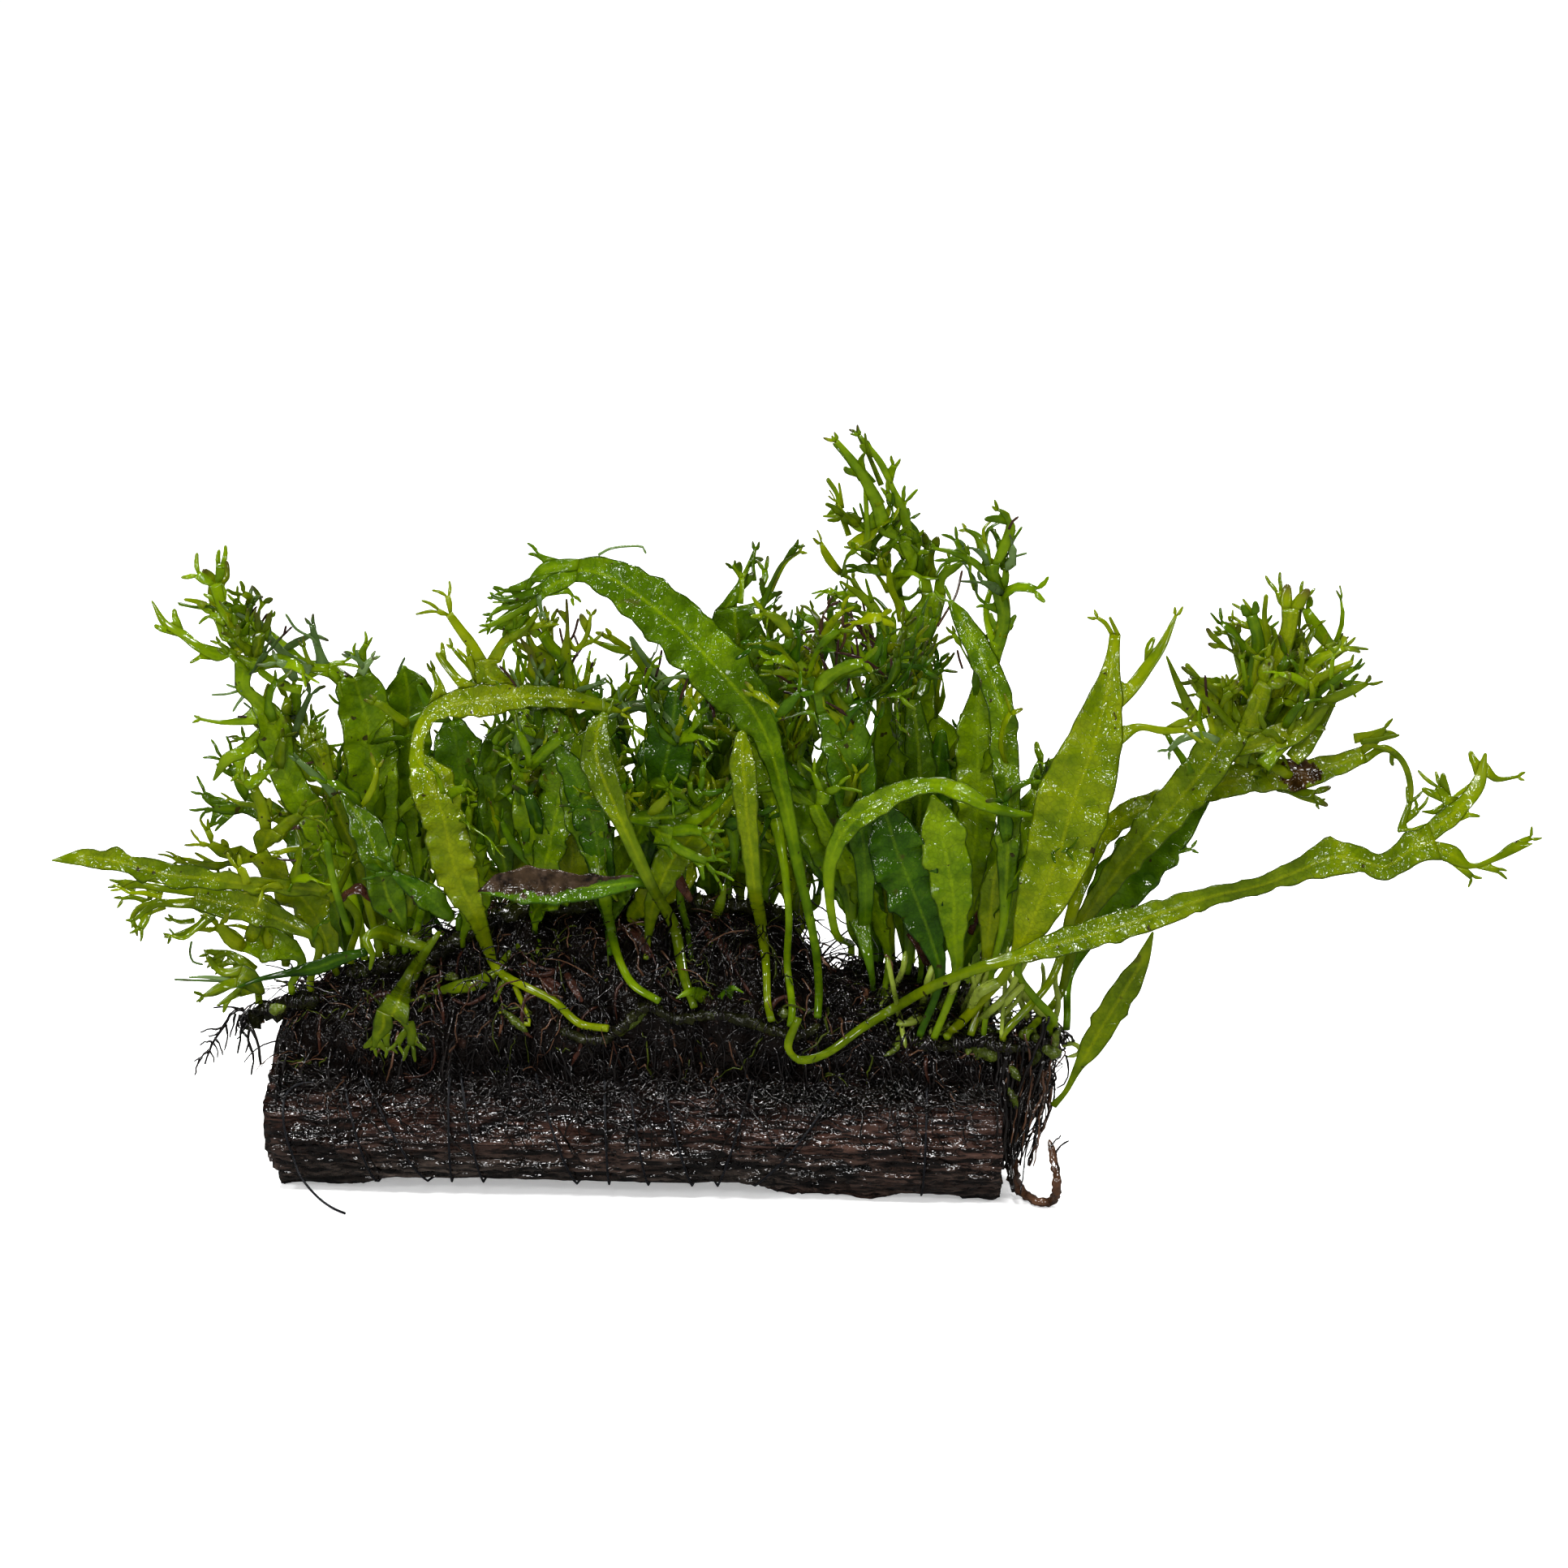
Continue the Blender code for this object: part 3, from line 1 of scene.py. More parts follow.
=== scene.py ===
# Lace-tipped java fern on driftwood: surfaces, light and camera around the
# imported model.  Lengths in millimetres are turned into metres by put().
import bpy
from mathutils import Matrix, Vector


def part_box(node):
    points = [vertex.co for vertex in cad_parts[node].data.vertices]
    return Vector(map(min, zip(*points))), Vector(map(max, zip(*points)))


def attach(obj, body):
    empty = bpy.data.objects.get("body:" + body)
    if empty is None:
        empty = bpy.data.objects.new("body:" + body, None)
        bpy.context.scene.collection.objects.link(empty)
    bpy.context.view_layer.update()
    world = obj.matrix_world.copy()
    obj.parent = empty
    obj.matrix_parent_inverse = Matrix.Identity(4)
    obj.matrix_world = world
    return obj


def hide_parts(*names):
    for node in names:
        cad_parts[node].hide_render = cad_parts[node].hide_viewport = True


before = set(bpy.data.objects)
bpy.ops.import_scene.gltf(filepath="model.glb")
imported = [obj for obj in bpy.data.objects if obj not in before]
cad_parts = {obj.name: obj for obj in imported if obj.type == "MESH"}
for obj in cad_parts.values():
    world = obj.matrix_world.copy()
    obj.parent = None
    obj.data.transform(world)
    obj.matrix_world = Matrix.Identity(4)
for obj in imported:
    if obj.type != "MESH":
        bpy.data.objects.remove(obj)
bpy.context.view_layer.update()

import bpy
import math
import numpy as np
from mathutils import Vector, noise
from mathutils.bvhtree import BVHTree

RNG = np.random.default_rng(41)

# ------------------------------------------------------------ dimensions, mm
LOG_RADIUS = 16.2          # straight log, about 32 mm thick
LOG_LEFT = -105.0          # x of the sawn ends: 149 mm long
LOG_RIGHT = 44.3
LOG_FLAT = 1.0             # depth of the worn flats the log stands on
LOG_HOLLOW = 4.2           # how far the underside is lifted in mid span
LOG_SIDES = 20
MAT_CLEAR = 2.3            # root mat above the bark; the thread runs between
MAT_EDGE = 2.2             # thickness of the mat at its fringes
MAT_FRONT = 38.0           # fringe angles round the log, degrees from front
MAT_BACK = 150.0
THREAD_D = 0.5             # tying thread
RHIZOME_R = 1.8
STALK_HALF = 0.55          # half thickness of a stalk and of a blade
BLADE_HALF = 0.26
GAP = 0.35                 # free space kept between neighbouring pieces
MM = 0.001

# ------------------------------------------------------------ drafting view
VIEW_EL = math.radians(15.0)
VIEW_DIST = 700.0
VIEW_F = 4332.0
VIEW_MID = 966.0
VIEW_Z = 84.9
FWD = Vector((0.0, math.cos(VIEW_EL), -math.sin(VIEW_EL)))
RIGHT = Vector((1.0, 0.0, 0.0))
UP = Vector((0.0, math.sin(VIEW_EL), math.cos(VIEW_EL)))
EYE = Vector((0.0, 0.0, VIEW_Z)) - FWD * VIEW_DIST


def ray(u, v):
    return FWD + RIGHT * ((u - VIEW_MID) / VIEW_F) + UP * ((VIEW_MID - v) / VIEW_F)


def spot(u, v, y):
    d = ray(u, v)
    return EYE + d * ((y - EYE.y) / d.y)


def spot_z(u, v, z):
    d = ray(u, v)
    return EYE + d * ((z - EYE.z) / d.z)


def unit_at(p):
    return (p - EYE).dot(FWD) / VIEW_F


def grid_x(u, y=0.0):
    return spot(u, 1350.0, y).x


def smooth(a, b, x):
    t = min(1.0, max(0.0, (x - a) / (b - a)))
    return t * t * (3.0 - 2.0 * t)


def lerp_table(table, x):
    if x <= table[0][0]:
        return table[0][1]
    for (x0, y0), (x1, y1) in zip(table, table[1:]):
        if x <= x1:
            return y0 + (y1 - y0) * (x - x0) / (x1 - x0)
    return table[-1][1]


def wobble(*k):
    # a repeatable value in -1..1 from a few numbers
    s = 0.0
    for i, a in enumerate(k):
        s += math.sin(a * (12.9898 + 7.13 * i) + 4.1 * i)
    s = math.sin(s * 43.7585) * 1437.5453
    return 2.0 * (s - math.floor(s)) - 1.0


# ------------------------------------------------------------ log and mat
def axis_y(x):
    return 2.0 - 0.05 * (x + 30.0)


AXIS_Z = LOG_RADIUS - LOG_FLAT


def underside(x):
    mid = smooth(-91.0, -79.0, x) * (1.0 - smooth(-7.0, 1.0, x)) * LOG_HOLLOW
    notch = smooth(20.0, 24.0, x) * (1.0 - smooth(34.0, 38.0, x)) * 2.0
    return max(mid, notch)


def bark_r(x, a):
    r = LOG_RADIUS + 0.25 * math.sin(3.0 * a + 0.05 * x) + 0.2 * math.sin(0.11 * x + 2.0 * a)
    s = math.sin(a)
    if s < 0.0:
        flat = (AXIS_Z - underside(x)) / -s
        r = flat if s < -0.94 else min(r, flat)
    return r


def round_log(x, a, r):
    # a: 0 is the front, 90 degrees up, 180 degrees the back
    return Vector((x, axis_y(x) - r * math.cos(a), AXIS_Z + r * math.sin(a)))


MAT_RISE = [(-103.0, 1.5), (-97.0, 3.0), (-88.0, 8.0), (-72.0, 11.5), (-66.0, 16.5),
            (-59.0, 21.0), (-30.0, 21.8), (-4.0, 20.5), (1.5, 17.0), (6.5, 11.0),
            (9.5, 8.0), (22.0, 7.2), (31.0, 4.0), (38.0, 1.6), (43.0, 0.6)]


def mat_r(x, a_deg):
    t = (a_deg - 97.0) / 59.0
    g = max(0.0, math.cos(0.5 * math.pi * max(-1.0, min(1.0, t)))) ** 1.25
    lump = 0.7 * math.sin(0.31 * x + 0.06 * a_deg) * g
    return LOG_RADIUS + MAT_CLEAR + MAT_EDGE + lerp_table(MAT_RISE, x) * g + lump


# ------------------------------------------------------------ mesh helpers
def bvh(verts, faces):
    return BVHTree.FromPolygons([Vector(v) for v in verts], faces, epsilon=0.0)


def loft(rings, close_ends=True):
    verts, faces = [], []
    n = len(rings[0])
    for r in rings:
        verts += list(r)
    for i in range(len(rings) - 1):
        for j in range(n):
            k = (j + 1) % n
            a, b = i * n + j, i * n + k
            c, d = (i + 1) * n + k, (i + 1) * n + j
            faces += [(a, b, c), (a, c, d)]
    if close_ends:
        for i, flip in ((0, True), (len(rings) - 1, False)):
            c = Vector((0.0, 0.0, 0.0))
            for p in rings[i]:
                c += p
            verts.append(c / n)
            m = len(verts) - 1
            for j in range(n):
                k = (j + 1) % n
                a, b = i * n + j, i * n + k
                faces.append((b, a, m) if flip else (a, b, m))
    return verts, faces


def tube(points, radii, sides):
    rings = []
    t0 = (points[1] - points[0]).normalized()
    ref = Vector((0, 0, 1)) if abs(t0.z) < 0.8 else Vector((1, 0, 0))
    nrm = (ref - t0 * ref.dot(t0)).normalized()
    for i, p in enumerate(points):
        a = points[max(0, i - 1)]
        b = points[min(len(points) - 1, i + 1)]
        t = (b - a).normalized()
        nrm = (nrm - t * nrm.dot(t)).normalized()
        bi = t.cross(nrm)
        rings.append([p + (nrm * math.cos(2 * math.pi * k / sides)
                           + bi * math.sin(2 * math.pi * k / sides)) * radii[i]
                      for k in range(sides)])
    return loft(rings)


def along(points, t):
    d = [0.0]
    for a, b in zip(points, points[1:]):
        d.append(d[-1] + (b - a).length)
    want = t * d[-1]
    for i in range(len(points) - 1):
        if want <= d[i + 1] or i == len(points) - 2:
            f = (want - d[i]) / max(1e-6, d[i + 1] - d[i])
            return points[i].lerp(points[i + 1], max(0.0, min(1.0, f)))
    return points[-1]


def spline(points, n):
    # n points at even spacing on a smooth curve through the given ones
    dense = []
    for i in range(len(points) - 1):
        p0 = points[max(0, i - 1)]
        p1, p2 = points[i], points[i + 1]
        p3 = points[min(len(points) - 1, i + 2)]
        for k in range(12):
            t = k / 12.0
            dense.append(0.5 * ((2 * p1) + (p2 - p0) * t + (2 * p0 - 5 * p1 + 4 * p2 - p3) * t * t
                                + (3 * p1 - p0 - 3 * p2 + p3) * t * t * t))
    dense.append(points[-1].copy())
    return [along(dense, k / (n - 1.0)) for k in range(n)]


# ------------------------------------------------------------ the log
def build_log():
    xs = [LOG_LEFT, -97.0, -91.0, -85.0, -79.0, -62.0, -42.0, -22.0, -8.0, -3.0, 2.0,
          11.0, 20.0, 24.5, 33.5, 38.5, LOG_RIGHT]
    rings = []
    for x in xs:
        ring = []
        for j in range(LOG_SIDES):
            a = -0.5 * math.pi + 2.0 * math.pi * j / LOG_SIDES
            p = round_log(x, a, bark_r(x, a))
            if x == LOG_LEFT:
                p.x += 2.4 * (math.sin(a)) ** 2 - 0.7
            if x == LOG_RIGHT:
                p.x -= 0.9 * max(0.0, math.sin(a))
            ring.append(p)
        rings.append(ring)
    rings = [list(reversed(r)) for r in rings]
    return loft(rings)


def build_mat():
    xs = [-101.5, -97.0, -88.0, -80.0, -72.0, -66.0, -59.0, -45.0, -30.0, -16.0, -4.0,
          1.5, 6.5, 9.5, 17.0, 24.0, 31.0, 38.0, 43.0]
    outer = [MAT_FRONT, 52.0, 66.0, 80.0, 95.0, 110.0, 124.0, 138.0, MAT_BACK]
    inner = [MAT_BACK - 2.0, 137.0, 124.0, 110.0, 95.0, 80.0, 66.0, 52.0, MAT_FRONT + 2.0]
    rings = []
    for x in xs:
        ring = [round_log(x, math.radians(a), mat_r(x, a)) for a in outer]
        ring += [round_log(x, math.radians(a), LOG_RADIUS + MAT_CLEAR) for a in inner]
        rings.append(ring)
    verts, faces = loft(rings, close_ends=False)
    n, m = len(rings[0]), len(outer)
    for i, flip in ((0, True), (len(rings) - 1, False)):
        for j in range(m - 1):
            a, b = i * n + j, i * n + j + 1
            c, d = i * n + n - 2 - j, i * n + n - 1 - j
            for f in ((a, b, c), (a, c, d)):
                faces.append(tuple(reversed(f)) if flip else f)
    return verts, faces


def build_bundle():
    # airy bunch of roots hanging past the right end of the log
    rings = []
    for z, cx, cy, rx, ry in ((8.5, 48.6, -6.5, 1.6, 2.2), (12.0, 49.4, -6.0, 3.0, 4.4),
                              (18.0, 50.1, -5.0, 4.3, 6.4), (23.5, 50.4, -4.5, 4.7, 7.2),
                              (27.5, 50.0, -4.0, 3.6, 5.6)):
        rings.append([Vector((cx + rx * math.cos(2 * math.pi * k / 10),
                              cy + ry * math.sin(2 * math.pi * k / 10), z)) for k in range(10)])
    return loft(rings)


def build_root_loop():
    pts = [spot(1247, 1428, -7.0), spot(1249, 1448, -11.0), spot_z(1255, 1466, 1.6),
           spot_z(1270, 1477, 1.1), spot_z(1285, 1484, 1.0), spot_z(1297, 1480, 1.2),
           spot(1302, 1466, -17.5), spot(1301, 1445, -15.5), spot(1297, 1424, -13.5),
           spot(1293, 1404, -12.0)]
    pts = spline(pts, 14)
    rad = [1.25, 1.3, 1.2, 1.0, 0.95, 0.9, 0.9, 0.95, 0.9, 0.85, 0.85, 0.8, 0.7, 0.5]
    for p, r in zip(pts, rad):
        p.z = max(p.z, r + 0.1)
    return tube(pts, rad, 6)


# ------------------------------------------------------------ rhizomes
# on the crown: (grid u, angle round the log); on the front: (grid u, grid v)
RHIZOMES = {
    "left_rhizome": ("crown", [(296, 84), (318, 80), (345, 76), (372, 74), (400, 72)]),
    "crown_rhizome": ("crown", [(432, 80), (480, 84), (530, 80), (580, 82), (630, 84), (690, 88),
                                (750, 88), (820, 92), (880, 90), (940, 92), (985, 98)]),
    "rear_rhizome": ("crown", [(520, 122), (620, 126), (720, 124), (830, 127), (930, 124), (1010, 120)]),
    "right_crown_rhizome": ("crown", [(1042, 96), (1080, 92), (1120, 94), (1160, 96), (1205, 100)]),
    "front_rhizome": ("front", [(690, 1270), (738, 1282), (768, 1264), (798, 1240), (830, 1256),
                                (866, 1252), (905, 1254), (948, 1268), (985, 1276), (1010, 1262)]),
    "right_rhizome": ("front", [(1122, 1282), (1160, 1290), (1200, 1284), (1238, 1290)]),
}
RZ_PATH = {}
RZ_RAD = {}


def hug(tree, u, v, off):
    # point off mm in front of the surface, still on the same line of sight
    d = ray(u, v).normalized()
    hit, nor, idx, dist = tree.ray_cast(EYE, d)
    if hit is None:
        return None
    c = max(0.4, abs(nor.dot(d)))
    return hit - d * (off / c)


def build_rhizomes(solid_tree):
    out = {}
    for name, (kind, pts) in RHIZOMES.items():
        path = []
        for i, (u, w) in enumerate(pts):
            if kind == "crown":
                x = grid_x(u)
                base = mat_r(x, w) if x > -101.0 else LOG_RADIUS + 0.4
                path.append(round_log(x, math.radians(w), base + RHIZOME_R + 0.75))
            else:
                q = hug(solid_tree, u, w, RHIZOME_R + 0.75)
                path.append(q if q is not None else spot(u, w, -17.0))
        if name == "right_rhizome":
            path += [spot(1268, 1290, -13.5), spot(1296, 1284, -11.0), spot(1316, 1276, -8.5)]
        n = 2 * len(path) - 1
        path = spline(path, n)
        rad = [RHIZOME_R * (0.86 + 0.14 * math.sin(2.1 * i + len(name))) for i in range(n)]
        rad[0] *= 0.7
        rad[-1] *= 0.7
        # raise the stem off the mat wherever it comes too near
        for turn in range(60):
            fat = bvh(*tube(path, [r + GAP for r in rad], 6))
            touch = fat.overlap(solid_tree)
            if not touch:
                break
            rows = set(min(n - 1, f[0] // 12) for f in touch)
            rows |= set(i + 1 for i in rows) | set(i - 1 for i in rows)
            for i in rows:
                if 0 <= i < n:
                    p = path[i]
                    out_dir = Vector((0.0, p.y - axis_y(p.x), p.z - AXIS_Z)).normalized()
                    path[i] = p + out_dir * 0.2
        RZ_PATH[name] = path
        RZ_RAD[name] = rad
        out[name] = tube(path, rad, 6)
    return out


def rhizome_base(name, t):
    path = RZ_PATH[name]
    p = along(path, t)
    i = t * (len(path) - 1)
    k = min(len(path) - 2, int(i))
    r = max(RZ_RAD[name][k], RZ_RAD[name][k + 1])
    out = p - Vector((p.x, axis_y(p.x), AXIS_Z))
    out.normalize()
    return p + out * (r + GAP + 0.25), out


# ------------------------------------------------------------ fronds
# F(name, slot, (rhizome, place along it), path, branches)
# path rows: grid u, grid v, depth y (None keeps it just off the root mat),
#            half width in grid units, roll in degrees
# branches:  (where, [(u, v, half width), ...], [branches])
#            where is "l" or "r", the left or right half of a forked end seen
#            in the direction of growth, or "L"/"R", a lobe on that edge
FRONDS = []


def F(name, slot, base, path, branches=()):
    FRONDS.append((name, slot, base, path, branches))


# ---- front of the plant
F("frond_front_narrow", "leaf_bright", ("front_rhizome", 0.81), [
    (946, 1238, None, 4.5, 0), (944, 1190, None, 5, 0), (938, 1140, None, 7, 0),
    (930, 1096, -24, 9, 8), (925, 1048, -27, 11, 8), (920, 1000, -28, 14, 5),
    (917, 962, -28, 16, 0), (914, 932, -27, 15, -8), (914, 907, -25.5, 7, -20)])

F("frond_front_arching", "leaf_mid", ("front_rhizome", 0.99), [
    (1009, 1222, None, 5, 0), (1005, 1170, None, 5, 0), (995, 1118, -22, 6, 0),
    (984, 1070, -23, 7, 0), (972, 1010, -24, 9, 10), (961, 962, -24, 12, 20),
    (948, 915, -24, 16, 20), (927, 874, -24, 28, 10), (892, 832, -24, 37, 0),
    (852, 790, -23, 36, -8), (812, 754, -22, 34, -10), (772, 724, -21, 28, -12),
    (738, 706, -20, 21, -10), (712, 703, -19.5, 14, 0)], [
    ("l", [(690, 716, 12), (668, 728, 9)], [
        ("l", [(648, 746, 9), (628, 758, 6), (604, 771, 2)], [
            ("L", [(640, 766, 6), (622, 775, 2)], [])]),
        ("r", [(648, 735, 7), (630, 738, 5), (608, 735, 1.5)], [
            ("L", [(622, 746, 4), (606, 757, 1.5)], [])]),
        ("L", [(700, 728, 4), (706, 735, 1.5)], [])]),
    ("r", [(692, 697, 9), (670, 702, 8), (656, 715, 5), (649, 728, 1.5)], [])])

F("frond_front_yellow", "leaf_bright", ("front_rhizome", 0.18), [
    (714, 1261, None, 5, 0), (682, 1233, None, 5, 0), (648, 1216, None, 5, 0),
    (614, 1196, None, 5.5, 0), (600, 1165, None, 8, 0), (586, 1127, -21, 13, 5),
    (566, 1085, -24, 24, 8), (554, 1045, -26, 27, 5), (547, 1010, -27, 26, 0),
    (536, 978, -27, 29, -5), (528, 955, -26, 25, -10), (514, 932, -23, 10, 10),
    (517, 905, -21, 9, 20), (531, 881, -19, 11, 20), (560, 868, -18, 17, 5),
    (600, 863, -17, 20, 0), (645, 858, -16, 15, 0), (692, 860, -15, 13, 0),
    (735, 868, -13, 8, 0), (765, 877, -11, 2, 0)], [
    ("L", [(601, 832, 17), (600, 812, 17)], [
        ("l", [(580, 793, 7), (565, 773, 6), (553, 756, 5)], []),
        ("r", [(622, 791, 7), (640, 778, 8), (662, 758, 2)], [])]),
    ("L", [(565, 838, 6), (547, 816, 5), (539, 806, 3)], []),
    ("L", [(541, 845, 6), (535, 829, 3)], [])])

F("frond_small_fan", "leaf_bright", ("crown_rhizome", 0.18), [
    (540, 1150, None, 4, 0), (526, 1170, None, 5, 0), (510, 1196, None, 9, 0),
    (499, 1214, None, 9, 0), (491, 1234, -24, 15, 0), (483, 1252, -24.5, 22, 0)], [
    ("l", [(504, 1262, 7), (507, 1276, 6), (506, 1288, 4)], []),
    ("r", [(472, 1264, 12), (464, 1278, 6), (461, 1291, 2)], [])])

F("frond_right_long", "leaf_bright", ("front_rhizome", 0.91), [
    (971, 1290, None, 5, 0), (985, 1306, None, 5, 0), (1018, 1298, None, 5, 0),
    (1060, 1268, None, 5.5, 0), (1102, 1242, None, 6, 0), (1150, 1215, -25, 6.5, 0),
    (1200, 1195, -29, 7, 0), (1250, 1180, -32, 9, 10), (1300, 1164, -33, 16, 15),
    (1350, 1150, -34, 18, 10), (1400, 1135, -34, 18, 0), (1450, 1118, -34, 16, -10),
    (1500, 1102, -34, 12, -25), (1552, 1090, -33, 11, -35), (1600, 1072, -33, 15, -20),
    (1642, 1056, -33, 24, 0), (1676, 1060, -33, 16, 10), (1706, 1068, -33, 17, 0),
    (1740, 1046, -32, 20, 0), (1768, 1036, -31, 24, 0)], [
    ("l", [(1786, 1006, 13), (1806, 988, 10), (1822, 964, 9), (1830, 930, 2.5)], [
        ("L", [(1783, 985, 7), (1772, 968, 4)], []),
        ("R", [(1845, 960, 4), (1870, 957, 1.5)], []),
        ("L", [(1768, 1000, 4), (1754, 1000, 1.5)], [])]),
    ("r", [(1790, 1054, 12), (1812, 1067, 4), (1842, 1058, 4), (1866, 1044, 7), (1886, 1040, 1.5)], []),
    ("L", [(1728, 1022, 7), (1736, 990, 3)], [])])

F("frond_front_right_broad", "leaf_bright", ("right_rhizome", 0.20), [
    (1176, 1268, None, 6, 0), (1206, 1236, None, 6, 0), (1236, 1204, -25, 6, 0),
    (1254, 1172, -28, 9, 0), (1272, 1134, -30, 24, 5), (1291, 1088, -31, 35, 5),
    (1308, 1040, -31, 42, 0), (1325, 980, -31, 46, 0), (1346, 922, -31, 36, -5),
    (1359, 872, -30, 25, -10), (1368, 830, -29, 13, -10), (1372, 802, -28, 8, 10),
    (1374, 782, -27, 7, 20)], [
    ("l", [(1362, 768, 3), (1352, 761, 2.5)], []),
    ("r", [(1368, 762, 2)], []),
    ("R", [(1394, 848, 9), (1412, 824, 8), (1432, 795, 6), (1449, 758, 2)], []),
    ("R", [(1404, 896, 5), (1432, 900, 5), (1462, 899, 4)], [])])

F("frond_front_crossing", "leaf_mid", ("right_crown_rhizome", 0.04), [
    (1030, 1150, -17, 5, 0), (1022, 1105, -22, 6, 0), (1024, 1060, -26, 9, 10),
    (1045, 1018, -28, 14, 10), (1080, 991, -29, 16, 0), (1116, 973, -29, 12, 0),
    (1150, 968, -29, 10, 20), (1185, 976, -28, 12, 0), (1216, 992, -28, 8, 0),
    (1246, 1001, -27, 6, 0), (1274, 1005, -27, 1.5, 0)])

F("frond_withered", "leaf_mid", ("crown_rhizome", 0.61), [
    (806, 1092, -19, 4, 0), (785, 1087, -22, 7, 10), (745, 1091, -23.5, 13, 15),
    (700, 1092, -24, 19, 15), (650, 1090, -24, 23, 10), (612, 1092, -23, 13, 0),
    (591, 1098, -22.5, 2, 0)])

F("frond_stalk_left_of_middle", "leaf_mid", ("front_rhizome", 0.40), [
    (780, 1213, None, 5, 0), (762, 1180, None, 5, 0), (752, 1140, None, 6, 0),
    (745, 1105, -18, 8, 0), (735, 1060, -17, 12, 10), (722, 1010, -16, 24, 10),
    (716, 960, -15, 26, 0), (722, 920, -14, 20, -10), (736, 894, -13, 4, 0)])

F("frond_stalk_middle", "leaf_bright", ("front_rhizome", 0.53), [
    (842, 1200, None, 6, 0), (832, 1145, None, 7, 0), (803, 1092, -25, 7, 0),
    (781, 1046, -27, 9, 0), (765, 1010, -27, 11, 10), (750, 974, -26, 18, 15),
    (736, 938, -25, 20, 5), (735, 902, -24, 15, -10), (746, 878, -23, 4, 0)])

F("frond_thin_middle_stalk", "leaf_mid", ("front_rhizome", 0.88), [
    (976, 1240, None, 4.5, 0), (970, 1190, None, 4.5, 0), (972, 1132, None, 4.5, 0),
    (968, 1080, -19, 5, 0), (960, 1030, -18, 7, 0), (952, 985, -17, 14, 10),
    (944, 940, -16, 21, 10), (936, 900, -15, 14, 0), (930, 872, -14, 3, 0)])

# ---- left group
F("frond_left_long", "leaf_bright", ("crown_rhizome", 0.01), [
    (440, 1128, -8, 5, 0), (405, 1100, -11, 8, 20), (352, 1092, -14, 10, 25),
    (300, 1088, -17, 10, 25), (255, 1082, -19, 13, 10), (205, 1077, -21, 15, 0),
    (160, 1065, -23, 13, 0), (115, 1056, -24, 13, 10), (86, 1058, -25, 7, 0),
    (66, 1060, -26, 1.5, 0)])

F("frond_left_low_crested", "leaf_bright", ("left_rhizome", 0.92), [
    (392, 1160, -10, 6, 0), (352, 1136, -11, 13, 10), (310, 1120, -12, 18, 10),
    (272, 1112, -13, 18, 0), (240, 1105, -14, 15, 0)], [
    ("l", [(216, 1113, 7), (192, 1114, 6), (165, 1134, 2)], []),
    ("r", [(205, 1094, 7), (172, 1090, 6), (151, 1094, 2)], [
        ("L", [(163, 1103, 3), (151, 1107, 1.5)], [])]),
    ("L", [(257, 1130, 9), (240, 1144, 6), (210, 1154, 1.5)], [])])

F("frond_left_low_fan", "leaf_bright", ("left_rhizome", 0.28), [
    (321, 1222, -9, 6, 0), (307, 1207, -11, 13, 0), (294, 1203, -12, 15, 0)], [
    ("l", [(272, 1216, 6), (251, 1227, 2)], []),
    ("r", [(272, 1197, 5), (255, 1177, 1.5)], []),
    ("R", [(297, 1184, 6), (279, 1174, 4), (263, 1181, 1.5)], []),
    ("L", [(286, 1227, 4), (269, 1238, 1.5)], [])])

F("frond_left_low_broad", "leaf_mid", ("left_rhizome", 0.72), [
    (372, 1184, -4, 6, 0), (350, 1168, -5, 17, 0), (328, 1162, -6, 24, 0),
    (312, 1166, -7, 17, 0), (301, 1170, -8, 4, 0)])

F("frond_left_tall", "leaf_mid", ("crown_rhizome", 0.04), [
    (444, 1140, -3, 5, 0), (424, 1085, -3, 10, 0), (404, 1040, -4, 17, 10),
    (385, 1006, -5, 20, 10), (362, 973, -6, 20, 0), (347, 943, -7, 18, -5),
    (340, 912, -8, 21, -10), (331, 886, -9, 18, -15), (316, 862, -10, 9, 0),
    (300, 848, -11, 9, 20), (300, 828, -11, 11, 10), (306, 810, -11, 17, 0)], [
    ("l", [(268, 806, 9), (243, 796, 6), (226, 782, 6), (203, 768, 5), (188, 742, 1.5)], []),
    ("r", [(303, 785, 14), (290, 770, 10), (276, 752, 7), (265, 719, 8)], [
        ("R", [(304, 762, 5), (311, 746, 2)], []),
        ("L", [(277, 786, 5), (270, 770, 4), (261, 756, 1.5)], [])]),
    ("R", [(338, 814, 9), (372, 821, 7), (404, 823, 5)], []),
    ("L", [(298, 888, 6), (272, 890, 3), (247, 886, 1.5)], []),
    ("L", [(300, 926, 9), (280, 935, 8), (264, 960, 2)], [])])

F("frond_left_small_crest", "leaf_bright", ("crown_rhizome", 0.07), [
    (455, 1120, 1, 5, 0), (440, 1058, 0, 8, 0), (418, 1004, -2, 13, 10),
    (404, 962, -3, 9, 10), (396, 932, -4, 12, 0), (386, 914, -4, 16, 0)], [
    ("l", [(374, 898, 7), (365, 878, 3)], []),
    ("r", [(394, 904, 5), (390, 899, 1.5)], []),
    ("L", [(384, 958, 7), (368, 938, 5)], [])])

